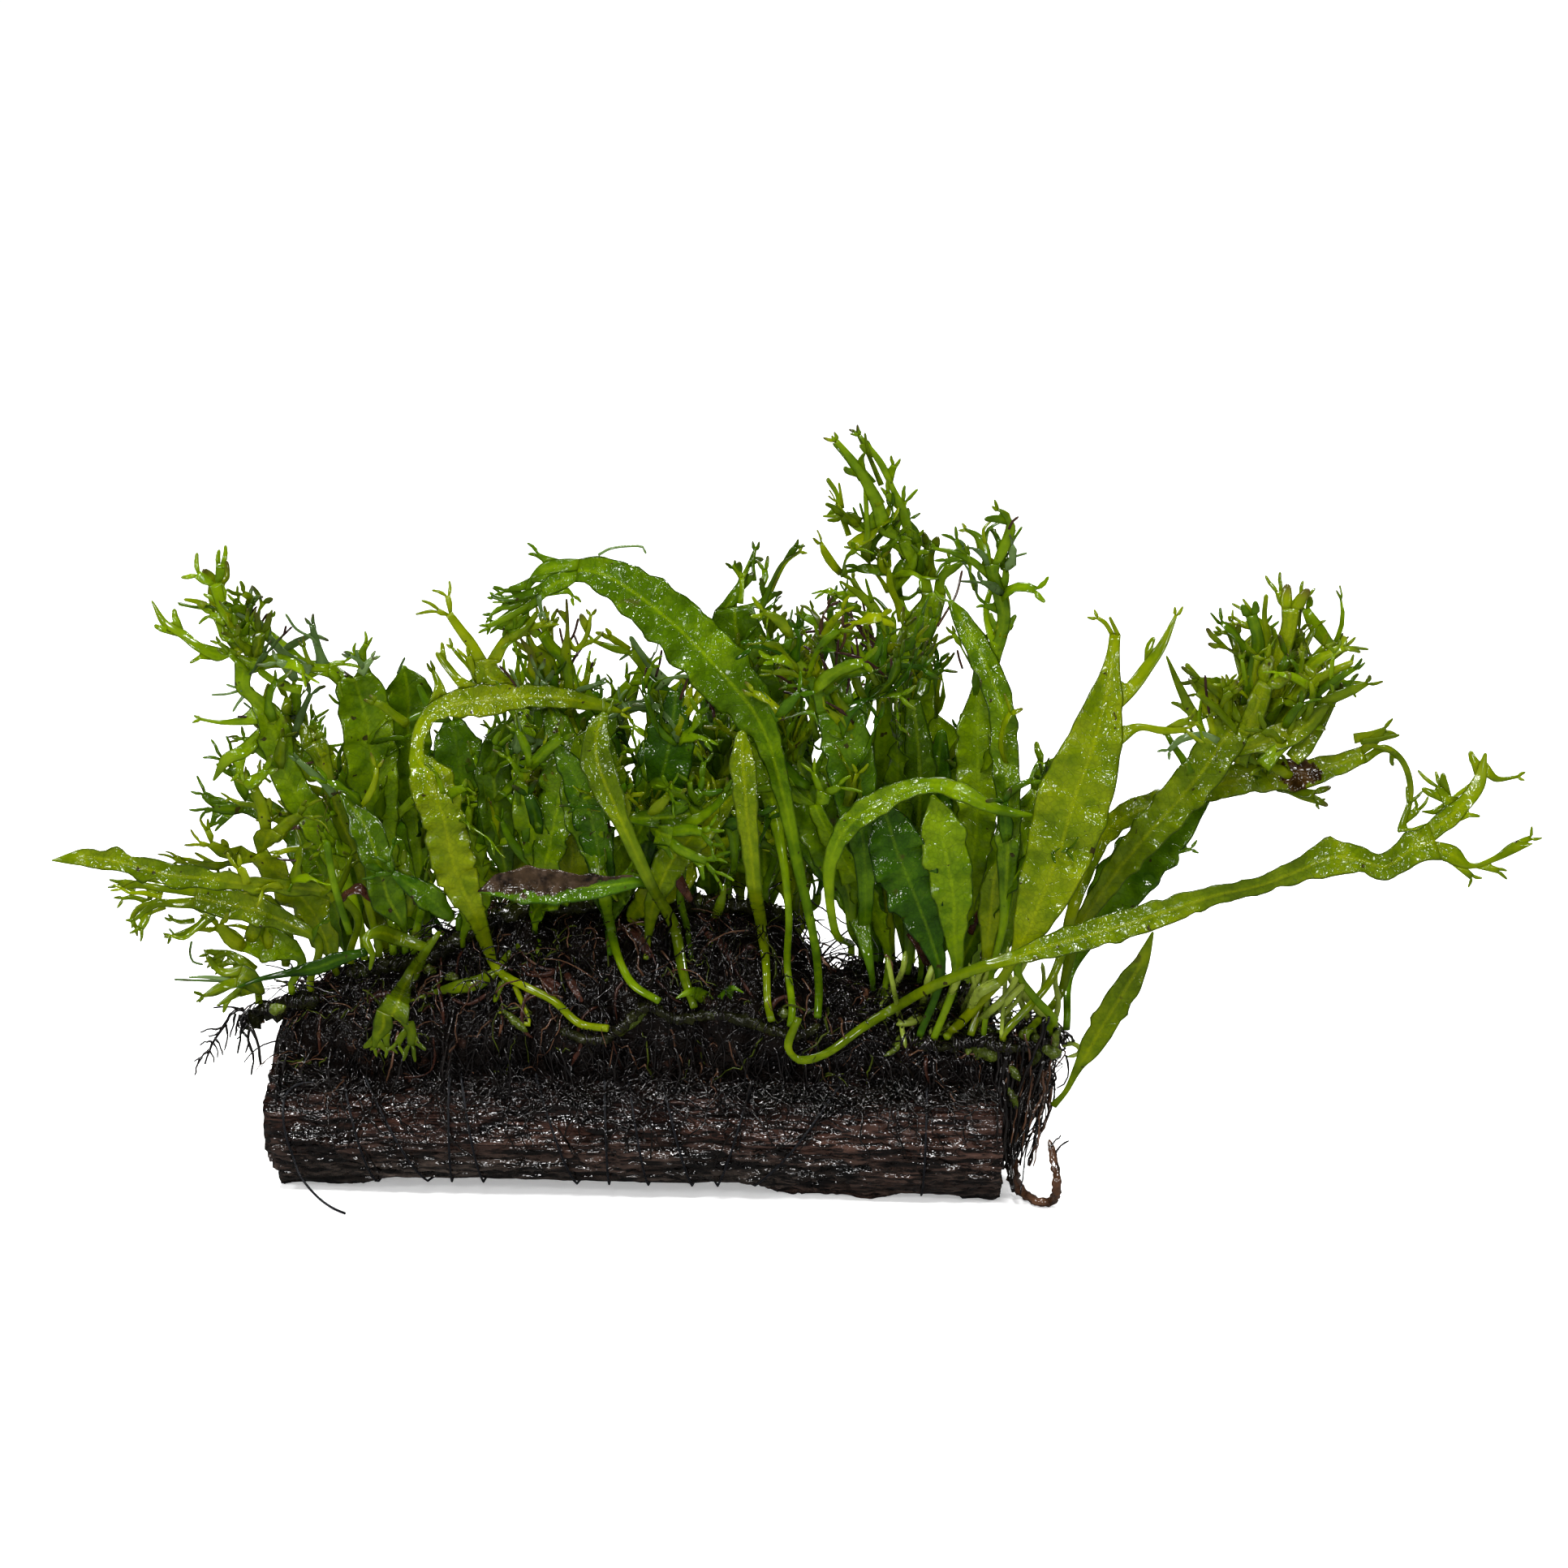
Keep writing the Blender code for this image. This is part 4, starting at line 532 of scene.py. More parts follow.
F("frond_left_broad", "leaf_mid", ("crown_rhizome", 0.10), [
    (482, 1130, 6, 6, 0), (476, 1070, 5, 15, 0), (468, 1020, 4, 22, 5),
    (462, 970, 2, 30, 5), (456, 920, 1, 33, 0), (450, 880, 0, 32, -5),
    (441, 852, -1, 31, -8), (436, 834, -2, 22, -10)], [
    ("l", [(402, 824, 9), (375, 818, 7), (350, 799, 8), (325, 779, 7), (300, 760, 4), (222, 745, 1.5)], []),
    ("r", [(447, 820, 6), (436, 806, 2)], [])])

F("frond_left_round", "leaf_mid", ("crown_rhizome", 0.15), [
    (520, 1110, 12, 6, 0), (516, 1040, 12, 12, 0), (508, 965, 11, 22, 0),
    (503, 905, 9, 28, -5), (503, 862, 8, 30, -8), (500, 837, 7, 22, -10),
    (497, 825, 7, 6, 0)])

F("frond_left_lower_a", "leaf_mid", ("crown_rhizome", 0.13), [
    (496, 1138, -15, 6, 0), (478, 1106, -17, 22, 0), (466, 1062, -18, 19, 5),
    (452, 1022, -17, 20, 5), (434, 994, -16, 10, 0), (418, 976, -15, 2, 0)])

# ---- middle
F("frond_bluish", "leaf_dark", ("crown_rhizome", 0.26), [
    (588, 1095, 0, 6, 0), (582, 1040, -3, 16, 0), (573, 985, -6, 24, 5),
    (566, 942, -8, 30, 5), (561, 910, -9, 27, 0), (557, 888, -9, 12, 0)])

F("frond_mid_left", "leaf_mid", ("crown_rhizome", 0.32), [
    (622, 1080, -6, 7, 0), (616, 1040, -9, 18, 0), (611, 990, -11, 22, -5),
    (608, 950, -12, 22, -5), (613, 915, -12, 17, 0), (624, 888, -12, 4, 0)])

F("frond_mid_low", "leaf_mid", ("crown_rhizome", 0.39), [
    (660, 1075, -12, 7, 0), (658, 1035, -14, 19, 10), (648, 995, -15, 18, 10),
    (641, 960, -15, 4, 0)])

F("frond_purple_tips", "leaf_bright", ("crown_rhizome", 0.50), [
    (682, 1060, -4, 6, 0), (678, 1005, -7, 18, 0), (684, 952, -9, 33, -5),
    (688, 915, -10, 31, -5), (690, 880, -10, 17, 0), (692, 856, -10, 16, 0),
    (690, 838, -10, 18, 0)], [
    ("l", [(674, 815, 10), (656, 800, 7), (651, 784, 2)], [
        ("R", [(676, 790, 6), (678, 765, 4)], [])]),
    ("r", [(697, 806, 7), (699, 780, 3), (698, 740, 1.5)], [
        ("R", [(710, 800, 4), (722, 785, 3), (728, 758, 1.5)], [])]),
    ("L", [(657, 828, 7), (655, 808, 5), (641, 786, 1.5)], []),
    ("R", [(718, 850, 5), (728, 820, 2)], [])])

F("frond_grey_crest", "leaf_mid", ("crown_rhizome", 0.70), [
    (812, 1040, 8, 6, 0), (816, 980, 6, 15, 0), (818, 920, 4, 24, -5),
    (816, 872, 2, 20, -5), (806, 838, 1, 10, 0), (793, 818, 0, 8, 0), (779, 802, 0, 7, 0)], [
    ("l", [(760, 800, 5), (731, 790, 2)], []),
    ("r", [(778, 789, 2)], [])])

F("frond_centre_dark", "leaf_dark", ("crown_rhizome", 0.65), [
    (792, 1075, -9, 6, 0), (800, 1020, -12, 18, 0), (815, 960, -14, 32, 5),
    (826, 910, -15, 30, 5), (831, 872, -15, 16, 0), (833, 852, -15, 10, 0)], [
    ("l", [(806, 842, 6), (796, 828, 2)], []),
    ("r", [(842, 845, 5), (851, 827, 2)], [])])

F("frond_centre_flat", "leaf_mid", ("crown_rhizome", 0.83), [
    (905, 1060, -15, 5, 0), (898, 1012, -19, 9, 0), (866, 1002, -20, 16, 10),
    (830, 1006, -20.5, 15, 15), (795, 1008, -20.5, 10, 10), (762, 1008, -20, 2, 0)])

F("frond_behind_arch", "leaf_mid", ("crown_rhizome", 0.91), [
    (958, 1040, -5, 6, 0), (955, 985, -7, 16, 0), (948, 930, -9, 25, -5),
    (936, 880, -10, 34, -5), (922, 830, -11, 36, 0), (908, 780, -12, 32, 5),
    (905, 748, -12, 25, 5)], [
    ("l", [(911, 725, 9), (920, 702, 4), (930, 678, 2)], [
        ("L", [(912, 712, 3), (904, 700, 1.5)], [])]),
    ("r", [(938, 745, 9), (950, 720, 4), (964, 694, 3), (984, 680, 1.5)], [])])

F("frond_pale_crest", "leaf_bright", ("crown_rhizome", 0.97), [
    (990, 1060, 6, 5, 0), (988, 1000, 5, 13, 0), (982, 940, 4, 20, 0),
    (974, 885, 3, 20, 0), (966, 840, 2, 20, 0), (961, 815, 2, 18, 0)], [
    ("l", [(948, 790, 7), (955, 751, 2)], []),
    ("r", [(978, 796, 8), (985, 758, 2)], []),
    ("R", [(984, 818, 5), (1000, 806, 2)], [])])

F("frond_centre_right", "leaf_mid", ("right_crown_rhizome", 0.12), [
    (1050, 1145, -10, 6, 0), (1046, 1100, -13, 11, 0), (1030, 1060, -15, 24, 5),
    (1010, 1015, -16, 28, 5), (994, 970, -16, 27, 0), (982, 935, -16, 8, 0)])

F("frond_centre_fan", "leaf_dark", ("right_crown_rhizome", 0.22), [
    (1066, 1150, -5, 8, 0), (1067, 1105, -8, 10, 0), (1065, 1050, -10, 15, 0),
    (1056, 990, -12, 26, 0), (1048, 940, -13, 30, 0), (1040, 900, -13, 30, 0),
    (1030, 872, -13, 26, 0)], [
    ("l", [(1008, 850, 14), (990, 832, 8), (972, 812, 4), (958, 792, 2)], []),
    ("r", [(1036, 832, 14), (1028, 802, 11), (1016, 776, 9), (1001, 754, 3)], [
        ("R", [(1044, 812, 5), (1036, 788, 2)], [])]),
    ("R", [(1068, 850, 8), (1080, 826, 6), (1094, 806, 2)], []),
    ("L", [(1000, 878, 5), (963, 887, 1.5)], [])])

# ---- right group
F("frond_tallest", "leaf_mid", ("right_crown_rhizome", 0.48), [
    (1124, 1120, 2, 7, 0), (1119, 1060, 1, 16, 0), (1113, 1000, 0, 14, 0),
    (1115, 950, -1, 9, 10), (1122, 912, -2, 14, 0), (1130, 872, -3, 22, 0),
    (1126, 832, -4, 24, 0), (1124, 800, -4, 22, 0), (1134, 772, -4, 20, 0),
    (1147, 748, -4, 16, 0), (1150, 730, -4, 15, 0)], [
    ("l", [(1139, 712, 9), (1126, 690, 13), (1116, 664, 14)], [
        ("l", [(1090, 650, 13), (1080, 620, 11), (1066, 592, 9), (1048, 565, 7), (1030, 543, 2)], [
            ("L", [(1060, 650, 8), (1038, 636, 6), (1016, 636, 2)], [
                ("R", [(1034, 616, 5), (1020, 592, 3)], [])]),
            ("L", [(1066, 672, 5), (1042, 674, 1.5)], [])]),
        ("r", [(1113, 632, 9), (1100, 602, 5), (1086, 572, 6), (1059, 536, 2)], [])]),
    ("r", [(1160, 712, 8), (1175, 700, 7), (1188, 692, 3)], []),
    ("L", [(1106, 792, 10), (1086, 764, 9), (1068, 740, 8), (1037, 717, 2)], []),
    ("L", [(1116, 757, 8), (1105, 732, 8), (1094, 702, 4)], []),
    ("L", [(1094, 806, 4), (1042, 758, 1.5)], [])])

F("frond_right_ribbon", "leaf_mid", ("right_rhizome", 0.42), [
    (1222, 1200, -19, 5, 0), (1236, 1140, -22, 7, 0), (1240, 1088, -23, 13, 0),
    (1242, 1040, -24, 20, 5), (1243, 990, -24, 20, 5), (1238, 932, -23, 23, 0),
    (1235, 880, -22, 22, -5), (1221, 834, -21, 22, -8), (1200, 790, -20, 20, -5),
    (1183, 760, -19, 14, 0), (1170, 740, -18, 4, 0)], [
    ("R", [(1233, 786, 9), (1237, 760, 10), (1232, 735, 10), (1224, 712, 9), (1222, 695, 12)], [
        ("l", [(1212, 674, 8), (1204, 660, 5), (1191, 652, 1.5)], []),
        ("r", [(1238, 672, 8), (1246, 648, 6), (1233, 629, 2)], []),
        ("L", [(1196, 690, 5), (1172, 680, 4), (1150, 676, 2)], [])])])

F("frond_right_pointed", "leaf_mid", ("right_crown_rhizome", 0.86), [
    (1190, 1140, -6, 6, 0), (1196, 1080, -9, 16, 0), (1204, 1010, -11, 24, 5),
    (1205, 950, -12, 27, 0), (1204, 900, -12, 26, -5), (1207, 860, -12, 15, -5),
    (1209, 824, -12, 1.5, 0)])

F("frond_right_mottled", "leaf_mid", ("right_crown_rhizome", 0.68), [
    (1170, 1140, 2, 6, 0), (1180, 1070, 1, 14, 0), (1180, 1005, 0, 24, 0),
    (1172, 950, -1, 27, 0), (1160, 905, -1, 20, 0), (1150, 880, -1, 4, 0)])

F("frond_spotted_left", "leaf_dark", ("right_rhizome", 0.05), [
    (1158, 1206, None, 6, 0), (1148, 1160, -19, 16, 0), (1126, 1100, -21, 33, 5),
    (1106, 1050, -22, 35, 5), (1095, 1015, -22, 25, 0), (1086, 988, -22, 5, 0)])

F("frond_spotted_right", "leaf_mid", ("right_rhizome", 0.13), [
    (1178, 1205, None, 6, 0), (1176, 1150, -22, 14, 0), (1174, 1100, -24, 25, 0),
    (1165, 1050, -25, 29, 0), (1158, 1012, -25, 24, 0), (1150, 984, -25, 5, 0)])

F("frond_right_short", "leaf_bright", ("right_rhizome", 0.30), [
    (1212, 1222, None, 5, 0), (1217, 1165, -27, 8, 0), (1221, 1118, -28, 16, 0),
    (1226, 1080, -29, 12, 0), (1236, 1054, -29, 2, 0)])

F("frond_right_crossed_stalk", "leaf_mid", ("right_rhizome", 0.86), [
    (1300, 1258, -15, 5, 0), (1272, 1226, -19, 5, 0), (1254, 1196, -21, 5, 0),
    (1262, 1140, -22, 8, 0), (1268, 1090, -22, 13, 0), (1262, 1045, -22, 10, 0),
    (1256, 1012, -22, 2, 0)])

F("frond_right_cluster", "leaf_bright", ("right_rhizome", 0.70), [
    (1306, 1225, -6, 5, 0), (1326, 1150, -8, 9, 0), (1368, 1085, -11, 15, 0),
    (1412, 1030, -14, 22, 0), (1450, 988, -15, 25, 0), (1480, 952, -16, 26, 0),
    (1504, 918, -16, 25, 0), (1520, 895, -16, 24, 0)], [
    ("l", [(1500, 876, 14), (1487, 856, 8), (1463, 820, 3)], [
        ("L", [(1474, 884, 7), (1456, 852, 5), (1438, 810, 1.5)], []),
        ("R", [(1505, 862, 6), (1515, 846, 3)], [])]),
    ("r", [(1548, 862, 24), (1572, 830, 30)], [
        ("l", [(1552, 796, 17), (1556, 776, 10), (1542, 758, 3)], [
            ("L", [(1526, 800, 8), (1514, 778, 4), (1506, 779, 1.5)], [])]),
        ("r", [(1594, 806, 18), (1588, 776, 10), (1588, 750, 6)], [
            ("R", [(1622, 822, 8), (1646, 804, 6), (1660, 797, 3)], [])]),
        ("R", [(1612, 850, 10), (1640, 838, 7), (1662, 843, 3)], [])]),
    ("R", [(1585, 905, 16), (1612, 892, 10), (1645, 853, 2)], [])])

F("frond_right_middle", "leaf_bright", ("right_rhizome", 0.62), [
    (1296, 1205, -17, 5, 0), (1325, 1110, -21, 8, 0), (1358, 1030, -24, 14, 10),
    (1400, 1000, -25, 16, 15), (1450, 984, -25, 15, 15), (1500, 967, -25, 19, 5),
    (1550, 956, -25, 20, 0), (1600, 954, -25, 20, 0), (1642, 944, -25, 14, 0),
    (1680, 930, -24, 11, 0)], [
    ("l", [(1694, 911, 7), (1706, 899, 2)], [
        ("R", [(1720, 907, 2)], [])]),
    ("r", [(1706, 922, 5), (1728, 938, 4), (1738, 970, 4), (1735, 1008, 2)], [])])

F("frond_right_dark_behind", "leaf_dark", ("right_rhizome", 0.94), [
    (1318, 1200, 0, 6, 0), (1344, 1148, -1, 15, 0), (1374, 1098, -3, 32, 0),
    (1412, 1052, -5, 35, 0), (1450, 1014, -7, 26, 0), (1480, 984, -8, 12, 0),
    (1500, 964, -8, 3, 0)], [
    ("R", [(1440, 1052, 6), (1468, 1046, 2)], [])])

F("frond_lower_right", "leaf_bright", ("bundle", 0.0), [
    (1313, 1345, -13, 3.5, 0), (1328, 1316, -15, 6, 0), (1346, 1287, -17, 14, 5),
    (1366, 1252, -19, 17, 5), (1390, 1214, -21, 16, 0), (1408, 1182, -22, 9, 0),
    (1420, 1150, -23, 2, 0)])

# ---- back of the plant
F("frond_rear_a", "leaf_dark", ("rear_rhizome", 0.03), [
    (524, 1120, 20, 6, 0), (512, 1050, 26, 18, 170), (500, 985, 31, 24, 175),
    (490, 925, 35, 18, 180), (482, 880, 38, 3, 180)])

F("frond_rear_b", "leaf_mid", ("rear_rhizome", 0.22), [
    (618, 1100, 20, 6, 0), (622, 1030, 25, 18, 180), (630, 965, 29, 24, 185),
    (640, 905, 33, 22, 190), (650, 870, 35, 14, 180)], [
    ("l", [(640, 850, 6), (634, 830, 2)], []),
    ("r", [(658, 848, 7), (668, 826, 2)], [])])

F("frond_rear_c", "leaf_bright", ("rear_rhizome", 0.42), [
    (724, 1090, 20, 6, 0), (728, 1020, 23, 18, 175), (742, 955, 27, 26, 170),
    (758, 900, 31, 20, 170), (768, 870, 33, 3, 180)])

F("frond_rear_d", "leaf_dark", ("rear_rhizome", 0.62), [
    (838, 1090, 21, 6, 0), (850, 1010, 26, 20, 185), (868, 940, 30, 27, 190),
    (884, 870, 33, 24, 190), (892, 820, 36, 14, 180)], [
    ("l", [(880, 796, 6), (872, 776, 2)], []),
    ("r", [(902, 796, 7), (906, 770, 2)], [])])

F("frond_rear_e", "leaf_mid", ("rear_rhizome", 0.90), [
    (1006, 1110, 20, 6, 0), (1016, 1040, 25, 18, 180), (1030, 960, 29, 24, 175),
    (1046, 900, 32, 20, 170), (1056, 850, 35, 3, 180)])

# ---- frond geometry
class Sheet:
    def __init__(self):
        self.v = []
        self.h = []
        self.f = []

    def add(self, p, half):
        self.v.append(p)
        self.h.append(half)
        return len(self.v) - 1


def cross_vector(p, t, roll):
    v = (p - EYE).normalized()
    left = t.cross(v)
    if left.length < 1e-4:
        left = Vector((-1, 0, 0))
    left.normalize()
    away = left.cross(t)
    away.normalize()
    r = math.radians(roll)
    return left * math.cos(r) + away * math.sin(r)


def strip(sheet, root, rows, half_at, branches, seed):
    # rows: (point, half width mm, roll); root: (left, right) or None
    pts = [r[0] for r in rows]
    n = len(rows)
    lefts, rights = [], []
    start = 0
    if root is not None:
        lefts.append(root[0])
        rights.append(root[1])
        prev = (sheet.v[root[0]] + sheet.v[root[1]]) * 0.5
    for i in range(n):
        a = pts[i - 1] if i > 0 else (prev if root is not None else pts[0])
        b = pts[i + 1] if i < n - 1 else pts[i]
        t = (b - a).normalized()
        c = cross_vector(pts[i], t, rows[i][2])
        w = rows[i][1]
        h = half_at(i / max(1.0, n - 1.0))
        lefts.append(sheet.add(pts[i] + c * w, h))
        rights.append(sheet.add(pts[i] - c * w, h))
    ends = [b for b in branches if b[0] in "lr"]
    lobes = [b for b in branches if b[0] in "LR"]
    m = len(lefts)
    mid = None
    if len(ends) == 2:
        mid = sheet.add((sheet.v[lefts[-1]] + sheet.v[rights[-1]]) * 0.5, sheet.h[lefts[-1]])
    for i in range(m - 1):
        l0, r0, r1, l1 = lefts[i], rights[i], rights[i + 1], lefts[i + 1]
        if i == m - 2 and mid is not None:
            sheet.f += [(l0, r0, mid), (r0, r1, mid), (l0, mid, l1)]
        else:
            sheet.f += [(l0, r0, r1), (l0, r1, l1)]
    used = set()
    for k, b in enumerate(ends):
        if mid is None:
            rt = (lefts[-1], rights[-1])
        else:
            rt = (lefts[-1], mid) if b[0] == "l" else (mid, rights[-1])
        grow(sheet, rt, b, seed + 3.1 * (k + 1))
    for k, b in enumerate(lobes):
        side = lefts if b[0] == "L" else rights
        best, pick = 1e9, None
        u, v = b[1][0][0], b[1][0][1]
        for i in range(m - 1):
            if (b[0], i) in used or (root is not None and i == 0):
                continue
            q = (sheet.v[side[i]] + sheet.v[side[i + 1]]) * 0.5
            g = project(q)
            d = math.hypot(g[0] - u, g[1] - v)
            if d < best:
                best, pick = d, i
        used.add((b[0], pick))
        i = pick
        rt = (side[i], side[i + 1]) if b[0] == "L" else (side[i + 1], side[i])
        grow(sheet, rt, b, seed + 5.7 * (k + 1))


def project(p):
    d = p - EYE
    z = d.dot(FWD)
    return (VIEW_MID + VIEW_F * d.dot(RIGHT) / z, VIEW_MID - VIEW_F * d.dot(UP) / z)


def grow(sheet, root, branch, seed):
    where, pts, subs = branch
    c = (sheet.v[root[0]] + sheet.v[root[1]]) * 0.5
    y = c.y
    slope = 0.42 * wobble(seed, pts[-1][0] * 0.37, pts[-1][1] * 0.11)
    rows = []
    last = c
    for (u, v, w) in pts:
        guess = spot(u, v, y)
        y += slope * (guess - last).length
        p = spot(u, v, y)
        rows.append((p, w * unit_at(p), 12.0 * wobble(seed, u, v)))
        last = p
    h0 = sheet.h[root[0]]
    strip(sheet, root, rows, lambda t: max(0.2, h0 * (1.0 - 0.35 * t)), subs, seed + 1.3)


def frond_rows(frond, push, slide, lift, tree):
    name, slot, base, path, branches = frond
    if base[0] == "bundle":
        b0 = spot(1298, 1362, -11.8)
        out = Vector((0.8, -0.45, 0.4)).normalized()
    else:
        b0, out = rhizome_base(base[0], min(1.0, max(0.0, base[1] + slide)))
        b0 = b0 + out * lift
    w0 = 4.6 * unit_at(b0)
    rows = [(b0, w0, 0.0)]
    hugging = path[0][2] is None
    if not hugging and base[0] != "bundle":
        rows.append((b0 + out * 2.2, w0, 0.0))
    total = float(len(path))
    for i, (u, v, y, w, roll) in enumerate(path):
        f = smooth(0.0, 0.35 * total, i + 1.0)
        if y is None:
            p = hug(tree, u, v, 1.5 + lift - push * f)
            if p is None:
                p = spot(u, v, -19.0 + push * f)
        else:
            p = spot(u, v, y + push * f)
        c = max(0.35, abs(math.cos(math.radians(roll))))
        rows.append((p, w * unit_at(p) / c, roll))
    return rows


def frond_sheet(frond, push, slide, lift, tree):
    rows = frond_rows(frond, push, slide, lift, tree)
    sh = Sheet()
    widest = max(r[1] for r in rows)

    def half_at(t):
        return STALK_HALF + (BLADE_HALF - STALK_HALF) * smooth(0.15, 0.5, t)

    strip(sh, None, rows, half_at, frond[4], 1.7 * len(frond[0]) + 0.9 * len(frond[3]))
    return sh


def thicken(sh, extra):
    n = len(sh.v)
    nor = [Vector((0, 0, 0)) for _ in range(n)]
    edges = {}
    for f in sh.f:
        a, b, c = (sh.v[i] for i in f)
        q = (b - a).cross(c - a)
        for i in f:
            nor[i] += q
        for i in range(3):
            e = (f[i], f[(i + 1) % 3])
            edges[e] = edges.get(e, 0) + 1
    verts = []
    for i in range(n):
        q = nor[i].normalized()
        verts.append(sh.v[i] + q * (sh.h[i] + extra))
    for i in range(n):
        q = nor[i].normalized()
        verts.append(sh.v[i] - q * (sh.h[i] + extra))
    faces = [f for f in sh.f]
    faces += [(f[2] + n, f[1] + n, f[0] + n) for f in sh.f]
    for (a, b) in edges:
        if (b, a) not in edges:
            faces += [(b, a, a + n), (b, a + n, b + n)]
    return verts, faces


# ------------------------------------------------------------ thread
# grid u where each pass of the thread leaves the mat at the front and where
# it turns under the log
PASSES = [(418, 466), (446, 540), (551, 553), (566, 598), (660, 720), (744, 750),
          (774, 803), (816, 860), (926, 874), (1036, 906), (1142, 1136)]


def thread_r(x, a):
    return bark_r(x, a) + 0.5 * THREAD_D + 0.85


def build_thread():
    pts = []
    a_top, a_low = 40.0, -62.0
    for k, (u0, u1) in enumerate(PASSES):
        x0, x1 = grid_x(u0, -14.0), grid_x(u1, -10.0)
        n = 6
        for i in range(n):
            t = i / float(n)
            a = math.radians(a_top + (a_low - a_top) * t)
            x = x0 + (x1 - x0) * t
            pts.append(round_log(x, a, thread_r(x, a)))
        if k == len(PASSES) - 1:
            a = math.radians(a_low)
            pts.append(round_log(x1, a, thread_r(x1, a)))
            break
        x2 = grid_x(PASSES[k + 1][0], -14.0)
        n = 14
        for i in range(n):
            t = i / float(n)
            a = math.radians(a_low + (-360.0 + a_top - a_low) * t)
            x = x1 + (x2 - x1) * t
            pts.append(round_log(x, a, thread_r(x, a)))
    for p in pts:
        p.z = max(p.z, 0.32)
    return tube(pts, [0.5 * THREAD_D] * len(pts), 4)


def tail_route(tree):
    keys = [hug(tree, u, v, 0.8) for u, v in ((386, 1334), (364, 1337), (351, 1352),
                                              (349, 1376), (353, 1402), (361, 1425))]
    keys += [
            spot(369, 1447, -12.4), spot(381, 1464, -13.2), spot(396, 1479, -13.4),
            spot_z(411, 1489, 0.4), spot_z(425, 1495, 0.3)]
    return keys



# ------------------------------------------------------------ place in the frame
def raw_low(mesh):
    v = mesh[0]
    return Vector((min(p[0] for p in v), min(p[1] for p in v), min(p[2] for p in v)))


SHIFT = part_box("driftwood_log")[0] * 1000.0 - raw_low(build_log())
SHIFT.z = 0.0
SH = np.array(SHIFT)


def put(a):
    return (np.asarray(a, float) + SH) * MM


# ------------------------------------------------------------ pieces
TRI = {}


def make_piece(name, verts, faces, mat, nodes=(), attrs=None, smooth_on=True):
    # verts (N,3) mm; faces: list of integer arrays (F,3) or (F,4)
    verts = put(verts)
    me = bpy.data.meshes.new(name)
    me.vertices.add(len(verts))
    me.vertices.foreach_set("co", verts.astype(np.float32).ravel())
    loops = np.concatenate([np.asarray(f).ravel() for f in faces if len(f)])
    sizes = np.concatenate([np.full(len(f), np.asarray(f).shape[1]) for f in faces if len(f)])
    me.loops.add(len(loops))
    me.loops.foreach_set("vertex_index", loops.astype(np.int32))
    me.polygons.add(len(sizes))
    starts = np.concatenate([[0], np.cumsum(sizes)[:-1]])
    me.polygons.foreach_set("loop_start", starts.astype(np.int32))
    me.update(calc_edges=True)
    if attrs:
        for k, arr in attrs.items():
            at = me.attributes.new(k, "FLOAT", "POINT")
            at.data.foreach_set("value", np.asarray(arr, np.float32))
    me.validate()
    if smooth_on:
        me.shade_smooth()
    me.materials.append(mat)
    ob = bpy.data.objects.new(name, me)
    bpy.context.scene.collection.objects.link(ob)
    bpy.context.view_layer.update()
    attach(ob, "root")
    if nodes:
        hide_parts(*nodes)
    TRI[name] = int((sizes - 2).sum())
    return ob


class Heap:
    # collects many small closed shells into one mesh
    def __init__(self):
        self.v, self.f, self.a, self.n = [], [], [], 0

    def add(self, verts, faces, attr):
        self.v.append(np.asarray(verts, float))
        for f in faces:
            if len(f):
                self.f.append(np.asarray(f) + self.n)
        self.a.append(np.asarray(attr, float))
        self.n += len(verts)

    def done(self, name, mat, slot, nodes=(), names=("across", "along", "tipped", "tone", "wide")):
        v = np.concatenate(self.v)
        a = np.concatenate(self.a)
        attrs = {k: a[:, i] for i, k in enumerate(names)}
        return make_piece(name, v, self.f, mat, nodes, attrs)


def hair_tubes(P, R, sides, rng):
    H, K, _ = P.shape
    T = np.gradient(P, axis=1)
    T /= np.linalg.norm(T, axis=2, keepdims=True) + 1e-9
    ref = rng.normal(size=(H, 1, 3))
    N1 = np.cross(T, np.broadcast_to(ref, T.shape))
    N1 /= np.linalg.norm(N1, axis=2, keepdims=True) + 1e-9
    N2 = np.cross(T, N1)
    g = 2 * np.pi * np.arange(sides) / sides
    V = P[:, :, None, :] + R[:, :, None, None] * (np.cos(g)[None, None, :, None] * N1[:, :, None, :]
                                                  + np.sin(g)[None, None, :, None] * N2[:, :, None, :])
    idx = np.arange(H * K * sides).reshape(H, K, sides)
    a, d = idx[:, :-1], idx[:, 1:]
    b, c = np.roll(a, -1, axis=2), np.roll(d, -1, axis=2)
    quads = np.stack([a, b, c, d], -1).reshape(-1, 4)
    caps = []
    for j in range(1, sides - 1):
        caps.append(np.stack([idx[:, 0, 0], idx[:, 0, j + 1], idx[:, 0, j]], -1))
        caps.append(np.stack([idx[:, -1, 0], idx[:, -1, j], idx[:, -1, j + 1]], -1))
    return V.reshape(-1, 3), [quads, np.concatenate(caps)]


def smooth_path(points, n):
    return np.array([list(p) for p in spline([Vector(p) for p in points], n)])


